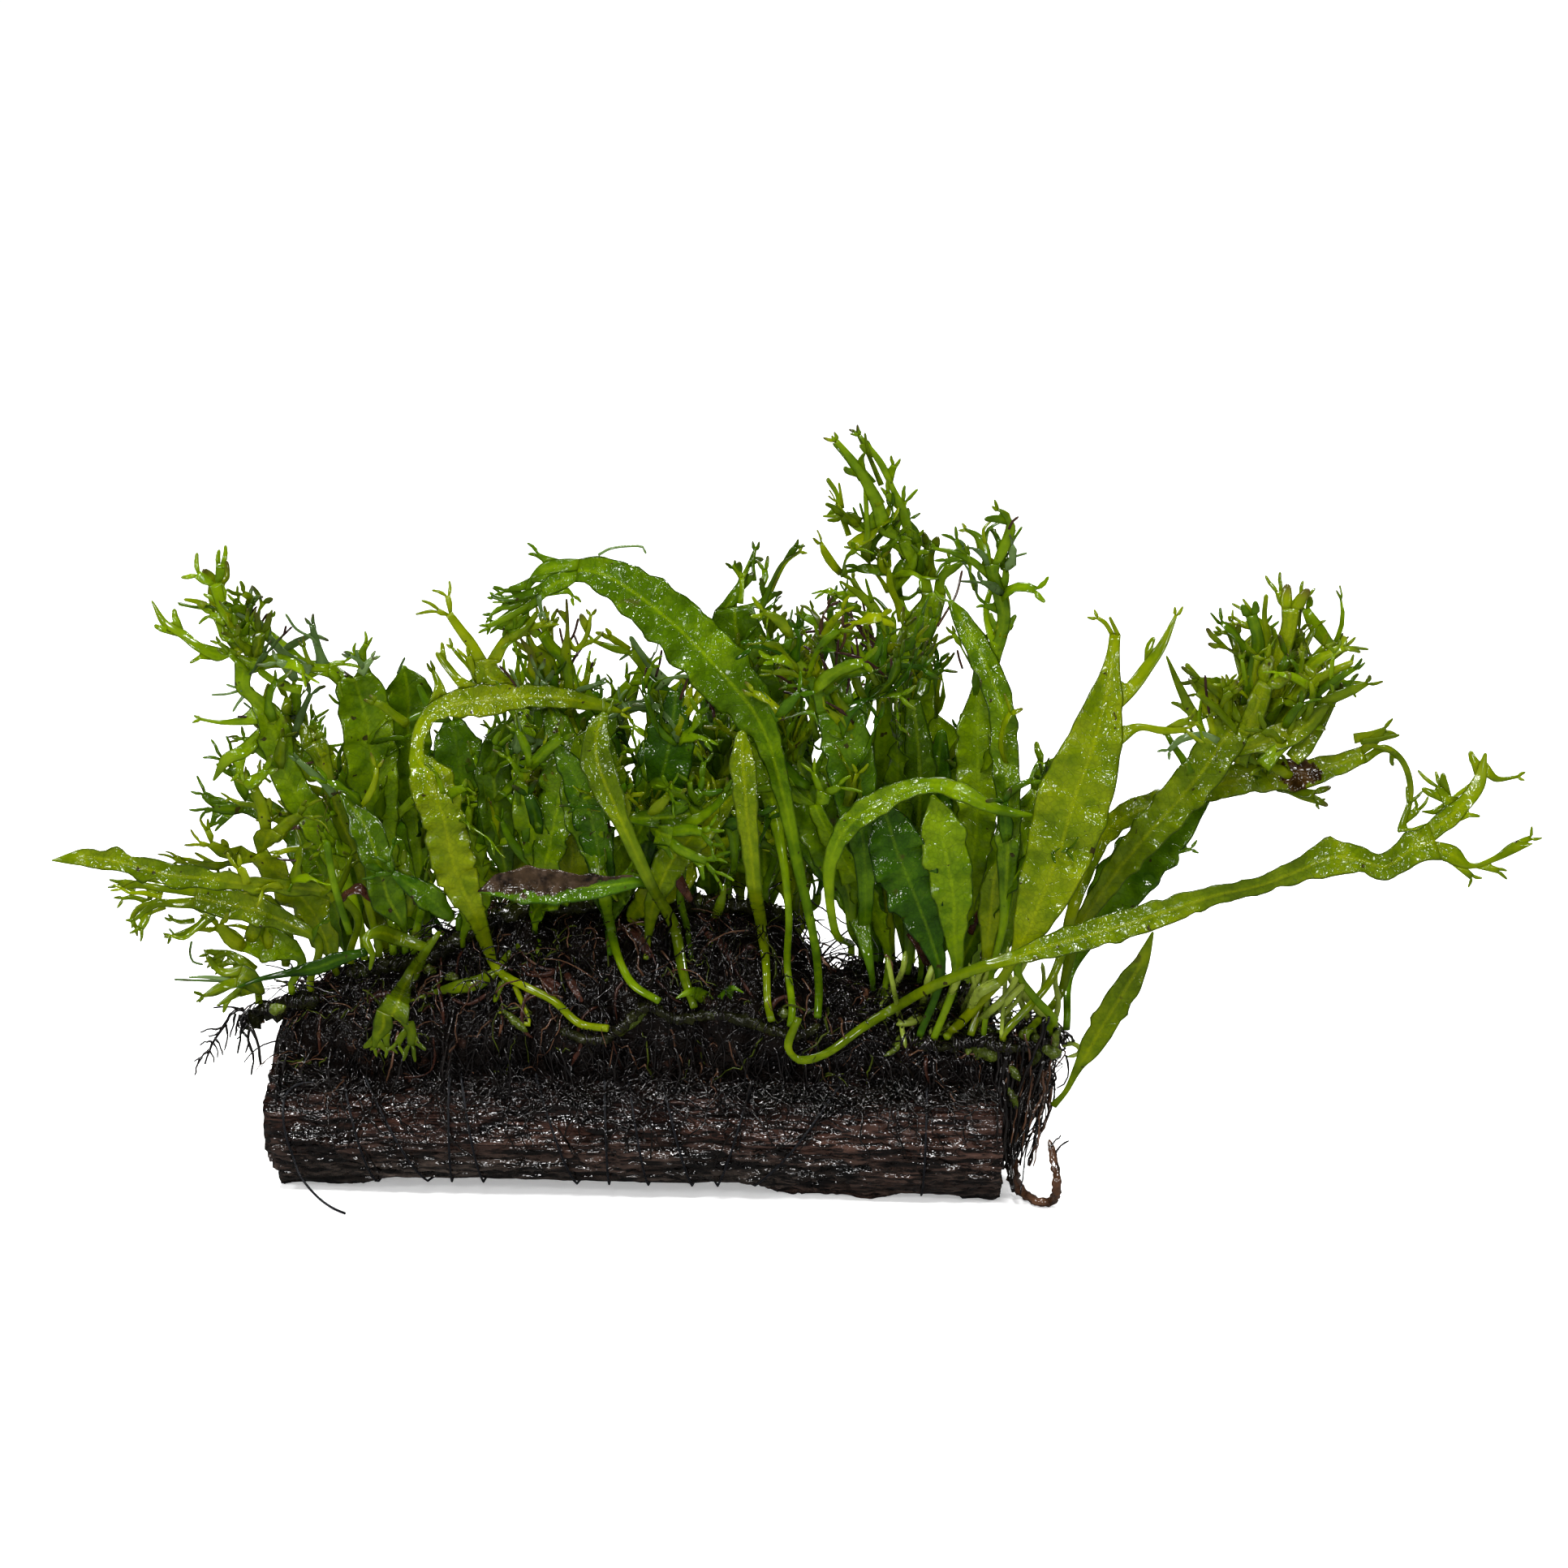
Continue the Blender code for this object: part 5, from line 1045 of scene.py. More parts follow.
# ------------------------------------------------------------ fine fronds
def catmull(ctrl, step):
    K = len(ctrl)
    mid = ctrl.mean(axis=1)
    d = np.maximum(1e-4, np.linalg.norm(np.diff(mid, axis=0), axis=1))
    out, ts = [], []
    for k in range(K - 1):
        p1, p2 = ctrl[k], ctrl[k + 1]
        m1 = (p2 - ctrl[k - 1]) / (d[k - 1] + d[k]) * d[k] if k > 0 else p2 - p1
        m2 = (ctrl[k + 2] - p1) / (d[k] + d[k + 1]) * d[k] if k < K - 2 else p2 - p1
        n = max(1, int(round(d[k] / step)))
        for i in range(n):
            t = i / n
            t2, t3 = t * t, t * t * t
            out.append((2 * t3 - 3 * t2 + 1) * p1 + (t3 - 2 * t2 + t) * m1
                       + (3 * t2 - 2 * t3) * p2 + (t3 - t2) * m2)
            ts.append(k + t)
    out.append(ctrl[-1])
    ts.append(K - 1.0)
    return np.array(out), np.array(ts)


WIDE = np.array([1, .84, .62, .40, .20, .06, -.06, -.20, -.40, -.62, -.84, -1.0])
MEDIUM = np.array([1, .7, .36, .08, -.08, -.36, -.7, -1.0])
NARROW = np.array([1, .45, -.45, -1.0])


def rand(*k):
    return 0.5 + 0.5 * wobble(*k)


def ribbon(heap, rec, rootline, s0, prm, level):
    """One strip of blade.  rec: pts, w, c (control rows), ends, lobes."""
    pts = [np.array(p) for p in rec["pts"]]
    ws = list(rec["w"])
    cs = [np.array(c) for c in rec["c"]]
    wmax = max(ws)
    if prm.get("slim"):
        cols = MEDIUM if level == 0 or wmax > 1.5 else NARROW
    else:
        cols = WIDE if wmax > 1.9 else (MEDIUM if wmax > 0.75 or level == 0 else NARROW)
    ends, lobes = rec["ends"], rec["lobes"]
    ctrl = []
    if rootline is not None:
        ctrl.append(rootline(cols))
    for p, w, c in zip(pts, ws, cs):
        ctrl.append(p[None, :] + cols[:, None] * (c * w)[None, :])
    if not ends:
        a = pts[-2] if len(pts) > 1 else ctrl[0].mean(axis=0)
        t = pts[-1] - a
        t = t / (np.linalg.norm(t) + 1e-9)
        reach = max(0.4, 1.0 * ws[-1])
        ctrl.append(pts[-1] + t * reach * 0.60 + cols[:, None] * (cs[-1] * ws[-1] * 0.74)[None, :])
        ctrl.append(pts[-1] + t * reach + cols[:, None] * (cs[-1] * min(0.16, ws[-1] * 0.3))[None, :])
    ctrl = np.array(ctrl)
    step = prm["step"] if level == 0 else max(0.45, prm["step"] * 0.75)
    G, ts = catmull(ctrl, step)
    R, M = G.shape[:2]
    mid = G.mean(axis=1)
    seg = np.linalg.norm(np.diff(mid, axis=0), axis=1)
    s = np.concatenate([[0.0], np.cumsum(seg)])
    half = 0.5 * np.linalg.norm(G[:, 0] - G[:, -1], axis=1)
    gu = np.gradient(G, axis=1)
    gs = np.gradient(G, axis=0) if R > 1 else np.zeros_like(G)
    N = np.cross(gu, gs)
    N /= np.linalg.norm(N, axis=2, keepdims=True) + 1e-9
    C = (G[:, 0] - G[:, -1])
    C /= np.linalg.norm(C, axis=1, keepdims=True) + 1e-9
    u = cols[None, :]
    S = (s + s0)[:, None]
    W = half[:, None]
    ramp = np.ones(R) if rootline is None else np.clip(s / 2.2, 0, 1) ** 2 * (3 - 2 * np.clip(s / 2.2, 0, 1))
    ramp = ramp[:, None]
    broad = np.clip((W - 0.7) / 1.6, 0, 1)
    lam, ph = prm["lam"], prm["ph"]
    side = np.where(u > 0, 0.0, 1.9)
    ruf = (np.sin(2 * np.pi * S / lam + ph + side) + 0.5 * np.sin(2 * np.pi * S / (lam * 0.43) + 2.1 * ph - side)
           + 0.35 * np.sin(2 * np.pi * S / (lam * 2.3) + 0.7 * ph))
    amp = prm["ruffle"] * np.minimum(1.5, 0.20 * W) * np.abs(u) ** 1.5
    lift = ramp * broad * (amp * ruf + prm["cup"] * W * np.abs(u) ** 1.2)
    lift += ramp * broad * 0.05 * np.sin(2 * np.pi * (S / 2.9 - np.abs(u) * W / 4.2)) * (1 - np.abs(u) ** 3) * (np.abs(u) > 0.1)
    G = G + N * lift[:, :, None]
    slow = 0.55 + 0.45 * np.sin(2 * np.pi * S / (lam * 2.7) + 5.0 * ph + 2.0 * side)
    wave = ramp * broad * 0.11 * prm.get("frill", 1.0) * W * u * np.abs(u) * slow * (np.sin(2 * np.pi * S / (lam * 0.9) + 3.0 * ph + side)
                                                           + 0.35 * np.sin(2 * np.pi * S / (lam * 0.53) + ph - side))
    G = G + C[:, None, :] * wave[:, :, None]
    stalky = np.clip(1.0 - (W - 0.75) / 0.7, 0, 1)
    if level > 0:
        stalky = stalky * 0.15
    if prm.get("flat"):
        stalky = stalky * 0.0
    Hs = 0.115 + 0.26 * np.exp(-(u * W / 0.42) ** 2) * np.clip(W / 2.0, 0.25, 1.0) * (0.55 if level else 1.0)
    Hs = Hs * (1 - 0.72 * np.abs(u) ** 6)
    Hr = (0.50 if level == 0 else 0.42) * np.minimum(1.0, W / 0.7) * np.sqrt(np.maximum(0.02, 1 - 0.97 * u * u))
    H = (1 - stalky) * Hs + stalky * Hr
    gu = np.gradient(G, axis=1)
    gs = np.gradient(G, axis=0)
    N = np.cross(gu, gs)
    N /= np.linalg.norm(N, axis=2, keepdims=True) + 1e-9
    top = G + N * H[:, :, None]
    bot = G - N * H[:, :, None]
    k = R * M
    idx = np.arange(k).reshape(R, M)
    a, b, c, d = idx[:-1, :-1], idx[:-1, 1:], idx[1:, 1:], idx[1:, :-1]
    q1 = np.stack([a, b, c, d], -1).reshape(-1, 4)
    q2 = np.stack([d, c, b, a], -1).reshape(-1, 4) + k
    l0, l1 = idx[:-1, 0], idx[1:, 0]
    r0, r1 = idx[:-1, -1], idx[1:, -1]
    q3 = np.stack([l0, l1, l1 + k, l0 + k], -1)
    q4 = np.stack([r1, r0, r0 + k, r1 + k], -1)
    e0, e1 = idx[0, :-1], idx[0, 1:]
    q5 = np.stack([e1, e0, e0 + k, e1 + k], -1)
    t0, t1 = idx[-1, :-1], idx[-1, 1:]
    q6 = np.stack([t0, t1, t1 + k, t0 + k], -1)
    verts = np.concatenate([top.reshape(-1, 3), bot.reshape(-1, 3)])
    total = prm["total"]
    tip = np.clip((S + 0 * u) / total, 0, 1)
    near = prm["tipdark"] * np.clip((s / max(s[-1], 1e-6))[:, None] * 1.6 - 0.6, 0, 1) * (0.0 if (ends or level == 0) else 1.0) + 0 * u
    att = np.stack([np.broadcast_to(u, (R, M)), np.broadcast_to(S, (R, M)), np.maximum(tip * 0.0, near),
                    np.full((R, M), prm["tone"]), np.broadcast_to(W, (R, M))], -1).reshape(-1, 5)
    heap.add(verts, [q1, q2, q3, q4, q5, q6], np.concatenate([att, att]))
    # children
    off = 0 if rootline is None else 1

    def end_line(lo, hi):
        def f(cc):
            uu = lo + (hi - lo) * (1 - cc) / 2          # cc=+1 -> lo (left)
            return np.stack([np.interp(-uu, -cols, G[-1, :, i]) for i in range(3)], -1)
        return f

    def edge_line(col, i0, i1):
        def f(cc):
            tt = i0 + (i1 - i0) * (1 - cc) / 2
            return np.stack([np.interp(tt, ts, G[:, col, i]) for i in range(3)], -1)
        return f

    if len(ends) == 1:
        ribbon(heap, ends[0][1], end_line(1.0, -1.0), s0 + s[-1], prm, level + 1)
    for which, child in (ends if len(ends) == 2 else []):
        ribbon(heap, child, end_line(1.0, 0.0) if which == "l" else end_line(0.0, -1.0), s0 + s[-1], prm, level + 1)
    for which, i, child in lobes:
        # a lobe springs from the margin between two control rows
        i0, i1 = float(i), float(min(i + 1, len(ctrl) - 1))
        lo = np.interp(i0, ts, s)
        hi = np.interp(i1, ts, s)
        want = min(hi - lo, 2.6 * child["w"][0] + 1.2)
        m = 0.5 * (lo + hi)
        i0 = float(np.interp(m - want / 2, s, ts))
        i1 = float(np.interp(m + want / 2, s, ts))
        if which == "L":
            ribbon(heap, child, edge_line(0, i0, i1), s0 + m, prm, level + 1)
        else:
            ribbon(heap, child, edge_line(-1, i1, i0), s0 + m, prm, level + 1)


def rec_of(sheet, root, rows, branches, seed):
    # the same layout as strip(), kept as control rows
    pts = [r[0] for r in rows]
    n = len(rows)
    idx = {"l": [], "r": []}
    lefts, rights, crosses = [], [], []
    if root is not None:
        lefts.append(root[0])
        rights.append(root[1])
        prev = (sheet.v[root[0]] + sheet.v[root[1]]) * 0.5
    for i in range(n):
        a = pts[i - 1] if i > 0 else (prev if root is not None else pts[0])
        b = pts[i + 1] if i < n - 1 else pts[i]
        t = (b - a).normalized()
        c = cross_vector(pts[i], t, rows[i][2])
        crosses.append(c)
        lefts.append(sheet.add(pts[i] + c * rows[i][1], 0))
        rights.append(sheet.add(pts[i] - c * rows[i][1], 0))
    rec = {"pts": pts, "w": [r[1] for r in rows], "c": crosses, "ends": [], "lobes": []}
    ends = [b for b in branches if b[0] in "lr"]
    sides = [b for b in branches if b[0] in "LR"]
    m = len(lefts)
    if len(ends) == 2:
        mid = sheet.add((sheet.v[lefts[-1]] + sheet.v[rights[-1]]) * 0.5, 0)
    for k, b in enumerate(ends):
        if len(ends) == 1:
            rt = (lefts[-1], rights[-1])
        else:
            rt = (lefts[-1], mid) if b[0] == "l" else (mid, rights[-1])
        rec["ends"].append((b[0], branch_rec(sheet, rt, b, seed + 3.1 * (k + 1))))
    used = set()
    for k, b in enumerate(sides):
        side = lefts if b[0] == "L" else rights
        best, pick = 1e9, None
        u, v = b[1][0][0], b[1][0][1]
        for i in range(m - 1):
            if (b[0], i) in used or (root is not None and i == 0):
                continue
            g = project((sheet.v[side[i]] + sheet.v[side[i + 1]]) * 0.5)
            d = math.hypot(g[0] - u, g[1] - v)
            if d < best:
                best, pick = d, i
        used.add((b[0], pick))
        rt = (side[pick], side[pick + 1]) if b[0] == "L" else (side[pick + 1], side[pick])
        rec["lobes"].append((b[0], pick, branch_rec(sheet, rt, b, seed + 5.7 * (k + 1))))
    return rec


def branch_rec(sheet, root, branch, seed):
    where, pts, subs = branch
    c = (sheet.v[root[0]] + sheet.v[root[1]]) * 0.5
    y = c.y
    slope = 0.42 * wobble(seed, pts[-1][0] * 0.37, pts[-1][1] * 0.11)
    rows = []
    last = c
    for (u, v, w) in pts:
        guess = spot(u, v, y)
        y += slope * (guess - last).length
        p = spot(u, v, y)
        rows.append((p, w * unit_at(p), 12.0 * wobble(seed, u, v)))
        last = p
    return rec_of(sheet, root, rows, subs, seed + 1.3)


def finger(base, d, c, w, length, seed, bend=0.25):
    # a short pointed finger as control rows
    d = d.normalized()
    c = (c - d * c.dot(d)).normalized()
    n = d.cross(c).normalized()
    pts, ws, cc = [], [], []
    p = base.copy()
    for k in range(3):
        turn = bend * wobble(seed, k)
        d = (d + c * turn + n * 0.3 * wobble(seed, k + 5.0)).normalized()
        c = (c - d * c.dot(d)).normalized()
        p = p + d * (length / 3.0)
        pts.append(p.copy())
        cc.append(c.copy())
        ws.append(max(0.22, w * (1.0, 0.88, 0.66)[k]))
    return {"pts": pts, "w": ws, "c": cc, "ends": [], "lobes": []}


def tangent(rec):
    p = rec["pts"]
    return (p[-1] - p[-2]).normalized() if len(p) > 1 else Vector((0, 0, 1))


def fork(rec, seed, depth, w, spread=0.45, length=None):
    # splits the end of a strip into two fingers, and those again
    t, c = tangent(rec), rec["c"][-1]
    base = rec["pts"][-1]
    for k, sgn in ((0, 1.0), (1, -1.0)):
        a = spread * (0.65 + 0.6 * rand(seed, k, 1.0))
        d = t * math.cos(a) + c * (sgn * math.sin(a))
        ln = (length or 2.5 * w + 1.6) * (0.65 + 0.8 * rand(seed, k, 2.0))
        f = finger(base + c * (sgn * w * 0.5), d, c, max(0.38, w * 0.70), ln, seed + k, 0.30)
        if depth > 1 and w > 0.45:
            f["pts"], f["w"], f["c"] = f["pts"][:2], [f["w"][0] * 1.1, f["w"][1] * 1.15], f["c"][:2]
            fork(f, seed + 2.7 + k, depth - 1, max(0.3, w * 0.6), spread, None if length is None else length * 0.75)
        rec["ends"].append(("l" if sgn > 0 else "r", f))


def lace(rec, level, seed, prm):
    # adds the fine fingers that the coarse shape leaves out
    for k, (which, child) in enumerate(rec["ends"]):
        lace(child, level + 1, seed + 1.9 * (k + 1), prm)
    for k, (which, i, child) in enumerate(rec["lobes"]):
        lace(child, level + 1, seed + 2.3 * (k + 1), prm)
    w = rec["w"][-1]
    if not rec["ends"] and (level > 0 or prm["crest"]):
        if w > 0.42:
            if w > 0.8 or rand(seed, 3.0) < 0.85:
                fork(rec, seed + 0.3, 2 if w > 0.75 else 1, w)
        elif len(rec["pts"]) > 1 and rand(seed, 4.0) < 0.6:
            rec["pts"], rec["w"], rec["c"] = rec["pts"], rec["w"][:-1] + [max(w, 0.33)], rec["c"]
            fork(rec, seed + 0.6, 1, 0.33, 0.5, 1.3)
    n = len(rec["pts"])
    if level > 0 and n > 1:
        taken = set((a, i) for a, i, _ in rec["lobes"])
        for i in range(1, n):
            for which in "LR":
                if (which, i) in taken or rand(seed, i, 7.0 + ord(which) * 0.1) > prm["spurs"]:
                    continue
                p = (rec["pts"][i - 1] + rec["pts"][i]) * 0.5
                wd = (rec["w"][i - 1] + rec["w"][i]) * 0.5
                t = (rec["pts"][i] - rec["pts"][i - 1])
                if t.length < 1.4:
                    continue
                t.normalize()
                c = rec["c"][i]
                sgn = 1.0 if which == "L" else -1.0
                d = t * 0.95 + c * sgn * (0.45 + 0.4 * rand(seed, i, 3.3))
                c2 = (c * 1.0 - t * (sgn * 0.8)).normalized()
                ln = 1.5 + 3.2 * rand(seed, i, 9.1)
                f = finger(p + c * (sgn * wd), d, c2, 0.46 + 0.46 * rand(seed, i, 4.4), ln, seed + i, 0.35)
                if ln > 3.4:
                    f["pts"], f["w"], f["c"] = f["pts"][:2], f["w"][:2], f["c"][:2]
                    fork(f, seed + i + 0.77, 1, 0.45, 0.5, 1.9)
                rec["lobes"].append((which, i, f))


def frond_prm(name, slot, total, wmax, crest):
    h = sum(ord(ch) * (i + 1) for i, ch in enumerate(name)) * 0.017
    return {"step": 1.05, "lam": 5.2 + 3.2 * rand(h, 1.0), "ph": 6.28 * rand(h, 2.0),
            "ruffle": 0.65 + 0.80 * rand(h, 3.0), "cup": 0.10 + 0.22 * rand(h, 4.0),
            "tone": rand(h, 5.0), "total": total, "tipdark": 0.25 + 0.75 * rand(h, 6.0) if rand(h, 7.0) > 0.35 else 0.0,
            "crest": crest, "spurs": 0.36}

# ------------------------------------------------------------ materials
def node(nt, kind, x=0, **kw):
    n = nt.nodes.new(kind)
    n.location = (x, 0)
    for k, v in kw.items():
        setattr(n, k, v)
    return n


class Mat:
    def __init__(self, name):
        self.m = bpy.data.materials.new(name)
        self.m.use_nodes = True
        self.nt = self.m.node_tree
        self.b = self.nt.nodes["Principled BSDF"]
        self.out = self.nt.nodes["Material Output"]

    def link(self, a, b):
        self.nt.links.new(a, b)

    def attr(self, name):
        n = node(self.nt, "ShaderNodeAttribute", attribute_name=name)
        n.attribute_type = "GEOMETRY"
        return n.outputs["Fac"]

    def math(self, op, a, b=None, c=None, clamp=False):
        n = node(self.nt, "ShaderNodeMath", operation=op, use_clamp=clamp)
        for i, v in enumerate((a, b, c)):
            if v is None:
                continue
            if isinstance(v, (int, float)):
                n.inputs[i].default_value = v
            else:
                self.link(v, n.inputs[i])
        return n.outputs[0]

    def coords(self, sx=1.0, sy=1.0, sz=1.0):
        t = node(self.nt, "ShaderNodeTexCoord")
        mp = node(self.nt, "ShaderNodeMapping")
        mp.inputs["Scale"].default_value = (sx, sy, sz)
        self.link(t.outputs["Object"], mp.inputs["Vector"])
        return mp.outputs["Vector"]

    def noise(self, scale, detail=4.0, rough=0.55, vec=None, distort=0.0):
        n = node(self.nt, "ShaderNodeTexNoise")
        n.inputs["Scale"].default_value = scale
        n.inputs["Detail"].default_value = detail
        n.inputs["Roughness"].default_value = rough
        n.inputs["Distortion"].default_value = distort
        self.link(vec if vec is not None else self.coords(), n.inputs["Vector"])
        return n.outputs["Fac"]

    def cells(self, scale, vec=None, feature="F1", out="Distance"):
        n = node(self.nt, "ShaderNodeTexVoronoi", feature=feature)
        n.inputs["Scale"].default_value = scale
        self.link(vec if vec is not None else self.coords(), n.inputs["Vector"])
        return n.outputs[out]

    def ramp(self, fac, lo, hi, a=0.0, b=1.0):
        n = node(self.nt, "ShaderNodeMapRange")
        n.inputs["From Min"].default_value = lo
        n.inputs["From Max"].default_value = hi
        n.inputs["To Min"].default_value = a
        n.inputs["To Max"].default_value = b
        self.link(fac, n.inputs["Value"])
        return n.outputs["Result"]

    def mix(self, fac, a, b):
        n = node(self.nt, "ShaderNodeMix", data_type="RGBA")
        if isinstance(fac, (int, float)):
            n.inputs[0].default_value = fac
        else:
            self.link(fac, n.inputs[0])
        for v, i in ((a, 6), (b, 7)):
            if isinstance(v, tuple):
                n.inputs[i].default_value = (*v, 1.0)
            else:
                self.link(v, n.inputs[i])
        return n.outputs[2]

    def bump(self, height, strength, dist):
        n = node(self.nt, "ShaderNodeBump")
        n.inputs["Strength"].default_value = strength
        n.inputs["Distance"].default_value = dist
        self.link(height, n.inputs["Height"])
        self.link(n.outputs["Normal"], self.b.inputs["Normal"])
        return n.outputs["Normal"]


def leaf_mat(name, deep, mid, light, glow, trans=0.34, wither=False, blotch=None, spec=0.33):
    M = Mat(name)
    u, s, tone, tipped, wide = (M.attr(k) for k in ("across", "along", "tone", "tipped", "wide"))
    au = M.math("ABSOLUTE", u)
    big = M.noise(90.0, 4.0, 0.6)
    mott = M.noise(330.0, 4.0, 0.6)
    t = M.math("ADD", M.math("MULTIPLY", tone, 0.40), M.ramp(big, 0.32, 0.68, 0.13, 0.46))
    t = M.math("ADD", t, M.ramp(mott, 0.35, 0.65, -0.10, 0.10), clamp=True)
    col = M.mix(M.ramp(t, 0.0, 0.5), deep, mid)
    col = M.mix(M.ramp(t, 0.45, 1.0), col, light)
    # pale midrib and oblique side veins
    wu = M.math("MULTIPLY", au, wide)
    rib = M.math("MULTIPLY", M.ramp(wu, 0.16, 0.50, 1.0, 0.0), M.ramp(wide, 0.8, 1.8, 0.0, 1.0))
    col = M.mix(M.math("MULTIPLY", rib, 0.40), col, light)
    vein = M.math("SUBTRACT", M.math("MULTIPLY", s, 0.34), M.math("MULTIPLY", wu, 0.24))
    vein = M.math("ADD", vein, M.math("MULTIPLY", mott, 0.55))
    tri = M.math("PINGPONG", vein, 0.5)
    line = M.math("MULTIPLY", M.ramp(tri, 0.0, 0.06, 1.0, 0.0), M.ramp(wide, 1.2, 2.4, 0.0, 1.0))
    col = M.mix(M.math("MULTIPLY", line, 0.13), col, deep)
    cell = M.cells(1000.0, feature="DISTANCE_TO_EDGE")
    net = M.math("MULTIPLY", M.ramp(cell, 0.0, 0.12, 1.0, 0.0), M.ramp(wide, 1.0, 2.0, 0.0, 0.34))
    col = M.mix(net, col, deep)
    # margins darkened as painted edge shade, small brown specks, dark crests
    edge = M.math("MULTIPLY", M.math("SUBTRACT", 1.0, au), wide)
    rim = M.math("MULTIPLY", M.ramp(edge, 0.06, 0.42, 0.95, 0.0), M.ramp(wide, 0.5, 1.9, 0.05, 0.90))
    col = M.mix(rim, col, deep)
    speck = M.ramp(M.noise(430.0, 2.0, 0.5), 0.705, 0.735)
    col = M.mix(M.math("MULTIPLY", speck, 0.9), col, (0.022, 0.014, 0.004))
    blot = M.ramp(M.noise(140.0, 3.0, 0.6), 0.69, 0.74)
    col = M.mix(M.math("MULTIPLY", blot, 0.65), col, (0.045, 0.036, 0.006))
    col = M.mix(M.math("MULTIPLY", tipped, 0.85), col, (0.040, 0.014, 0.012))
    gl = M.mix(M.ramp(t, 0.1, 0.9), mid, glow)
    # less glow along the veins and the painted-shade margins
    gl = M.mix(M.math("MAXIMUM", M.math("MULTIPLY", line, 0.14), rim), gl, mid)
    gl = M.mix(M.math("MAXIMUM", tipped, M.math("MAXIMUM", speck, M.math("MULTIPLY", blot, 0.7))), gl, (0.03, 0.014, 0.008))
    if wither:
        # brown along one margin and towards the tip
        k = M.math("ADD", M.math("MULTIPLY", u, -0.95), M.ramp(mott, 0.3, 0.7, -0.35, 0.35))
        k = M.math("ADD", k, M.ramp(s, 26.0, 46.0, -1.15, 0.70))
        dry = M.ramp(k, 0.12, 0.26)
        brown = M.mix(M.ramp(mott, 0.38, 0.62), (0.006, 0.0035, 0.002), (0.040, 0.024, 0.012))
        brown = M.mix(M.math("MULTIPLY", M.ramp(M.noise(420.0, 3.0, 0.6), 0.50, 0.66), 0.6), brown, (0.085, 0.055, 0.036))
        col = M.mix(dry, col, brown)
        gl = M.mix(dry, gl, (0.03, 0.012, 0.008))
    if blotch:
        # one dead patch part way along the blade
        far = node(M.nt, "ShaderNodeVectorMath", operation="DISTANCE")
        M.link(M.coords(), far.inputs[0])
        far.inputs[1].default_value = blotch[0]
        dd = M.math("ADD", far.outputs["Value"], M.ramp(mott, 0.3, 0.7, -0.0018, 0.0018))
        dry = M.ramp(dd, blotch[1], blotch[1] + 0.0006, 1.0, 0.0)
        col = M.mix(dry, col, M.mix(M.ramp(mott, 0.4, 0.6), (0.020, 0.009, 0.002), (0.075, 0.036, 0.006)))
        gl = M.mix(dry, gl, (0.02, 0.008, 0.003))
    M.link(col, M.b.inputs["Base Color"])
    M.link(M.ramp(mott, 0.3, 0.7, 0.05, 0.15), M.b.inputs["Roughness"])
    M.b.inputs["Specular IOR Level"].default_value = spec
    h = M.math("ADD", M.math("MULTIPLY", line, -0.18), M.math("MULTIPLY", rib, -0.25))
    h = M.math("ADD", h, M.math("MULTIPLY", M.noise(270.0, 0.5, 0.5), 1.35))
    h = M.math("ADD", h, M.math("MULTIPLY", M.noise(700.0, 0.0, 0.5), 0.10))
    h = M.math("ADD", h, M.math("MULTIPLY", net, -0.25))
    M.bump(h, 0.85, 0.00027)
    tr = node(M.nt, "ShaderNodeBsdfTranslucent")
    M.link(gl, tr.inputs["Color"])
    mx = node(M.nt, "ShaderNodeMixShader")
    mx.inputs[0].default_value = trans
    M.link(M.b.outputs[0], mx.inputs[1])
    M.link(tr.outputs[0], mx.inputs[2])
    M.link(mx.outputs[0], M.out.inputs["Surface"])
    return M.m


TONES = {
    "leaf_bright": ((0.016, 0.032, 0.001), (0.092, 0.142, 0.001), (0.240, 0.280, 0.001), (0.330, 0.390, 0.001), 0.38),
    "leaf_mid": ((0.006, 0.019, 0.001), (0.056, 0.113, 0.001), (0.192, 0.280, 0.001), (0.310, 0.450, 0.001), 0.36),
    "leaf_dark": ((0.002, 0.010, 0.001), (0.024, 0.070, 0.001), (0.098, 0.180, 0.002), (0.172, 0.318, 0.001), 0.34),
}
LEAF = {k: leaf_mat(k, *TONES[k]) for k in TONES}
WITHERED = leaf_mat("leaf_withered", (0.012, 0.036, 0.001), (0.060, 0.135, 0.002), (0.170, 0.290, 0.003), (0.300, 0.460, 0.003), 0.25, True)


def simple_wet(name, dark, light, scale, rough=(0.18, 0.5), bump=(0.6, 0.0004), aniso=(1, 1, 1), coat=0.3, third=None):
    M = Mat(name)
    v = M.coords(*aniso)
    a = M.noise(scale, 6.0, 0.62, v)
    b = M.noise(scale * 5.3, 4.0, 0.6, v)
    col = M.mix(M.ramp(a, 0.32, 0.68), dark, light)
    if third is not None:
        col = M.mix(M.ramp(M.noise(scale * 0.7, 4.0, 0.6, v), 0.60, 0.70, 0.0, 0.9), col, third)
    M.link(col, M.b.inputs["Base Color"])
    M.link(M.ramp(b, 0.3, 0.7, rough[0], rough[1]), M.b.inputs["Roughness"])
    M.b.inputs["Specular IOR Level"].default_value = 0.17 + coat
    ha = M.noise(scale * 1.3, 1.0, 0.5, v)
    hb = M.noise(scale * 4.2, 1.0, 0.5, v)
    M.bump(M.math("ADD", M.math("MULTIPLY", ha, 0.8), M.math("MULTIPLY", hb, 0.45)), *bump)
    return M


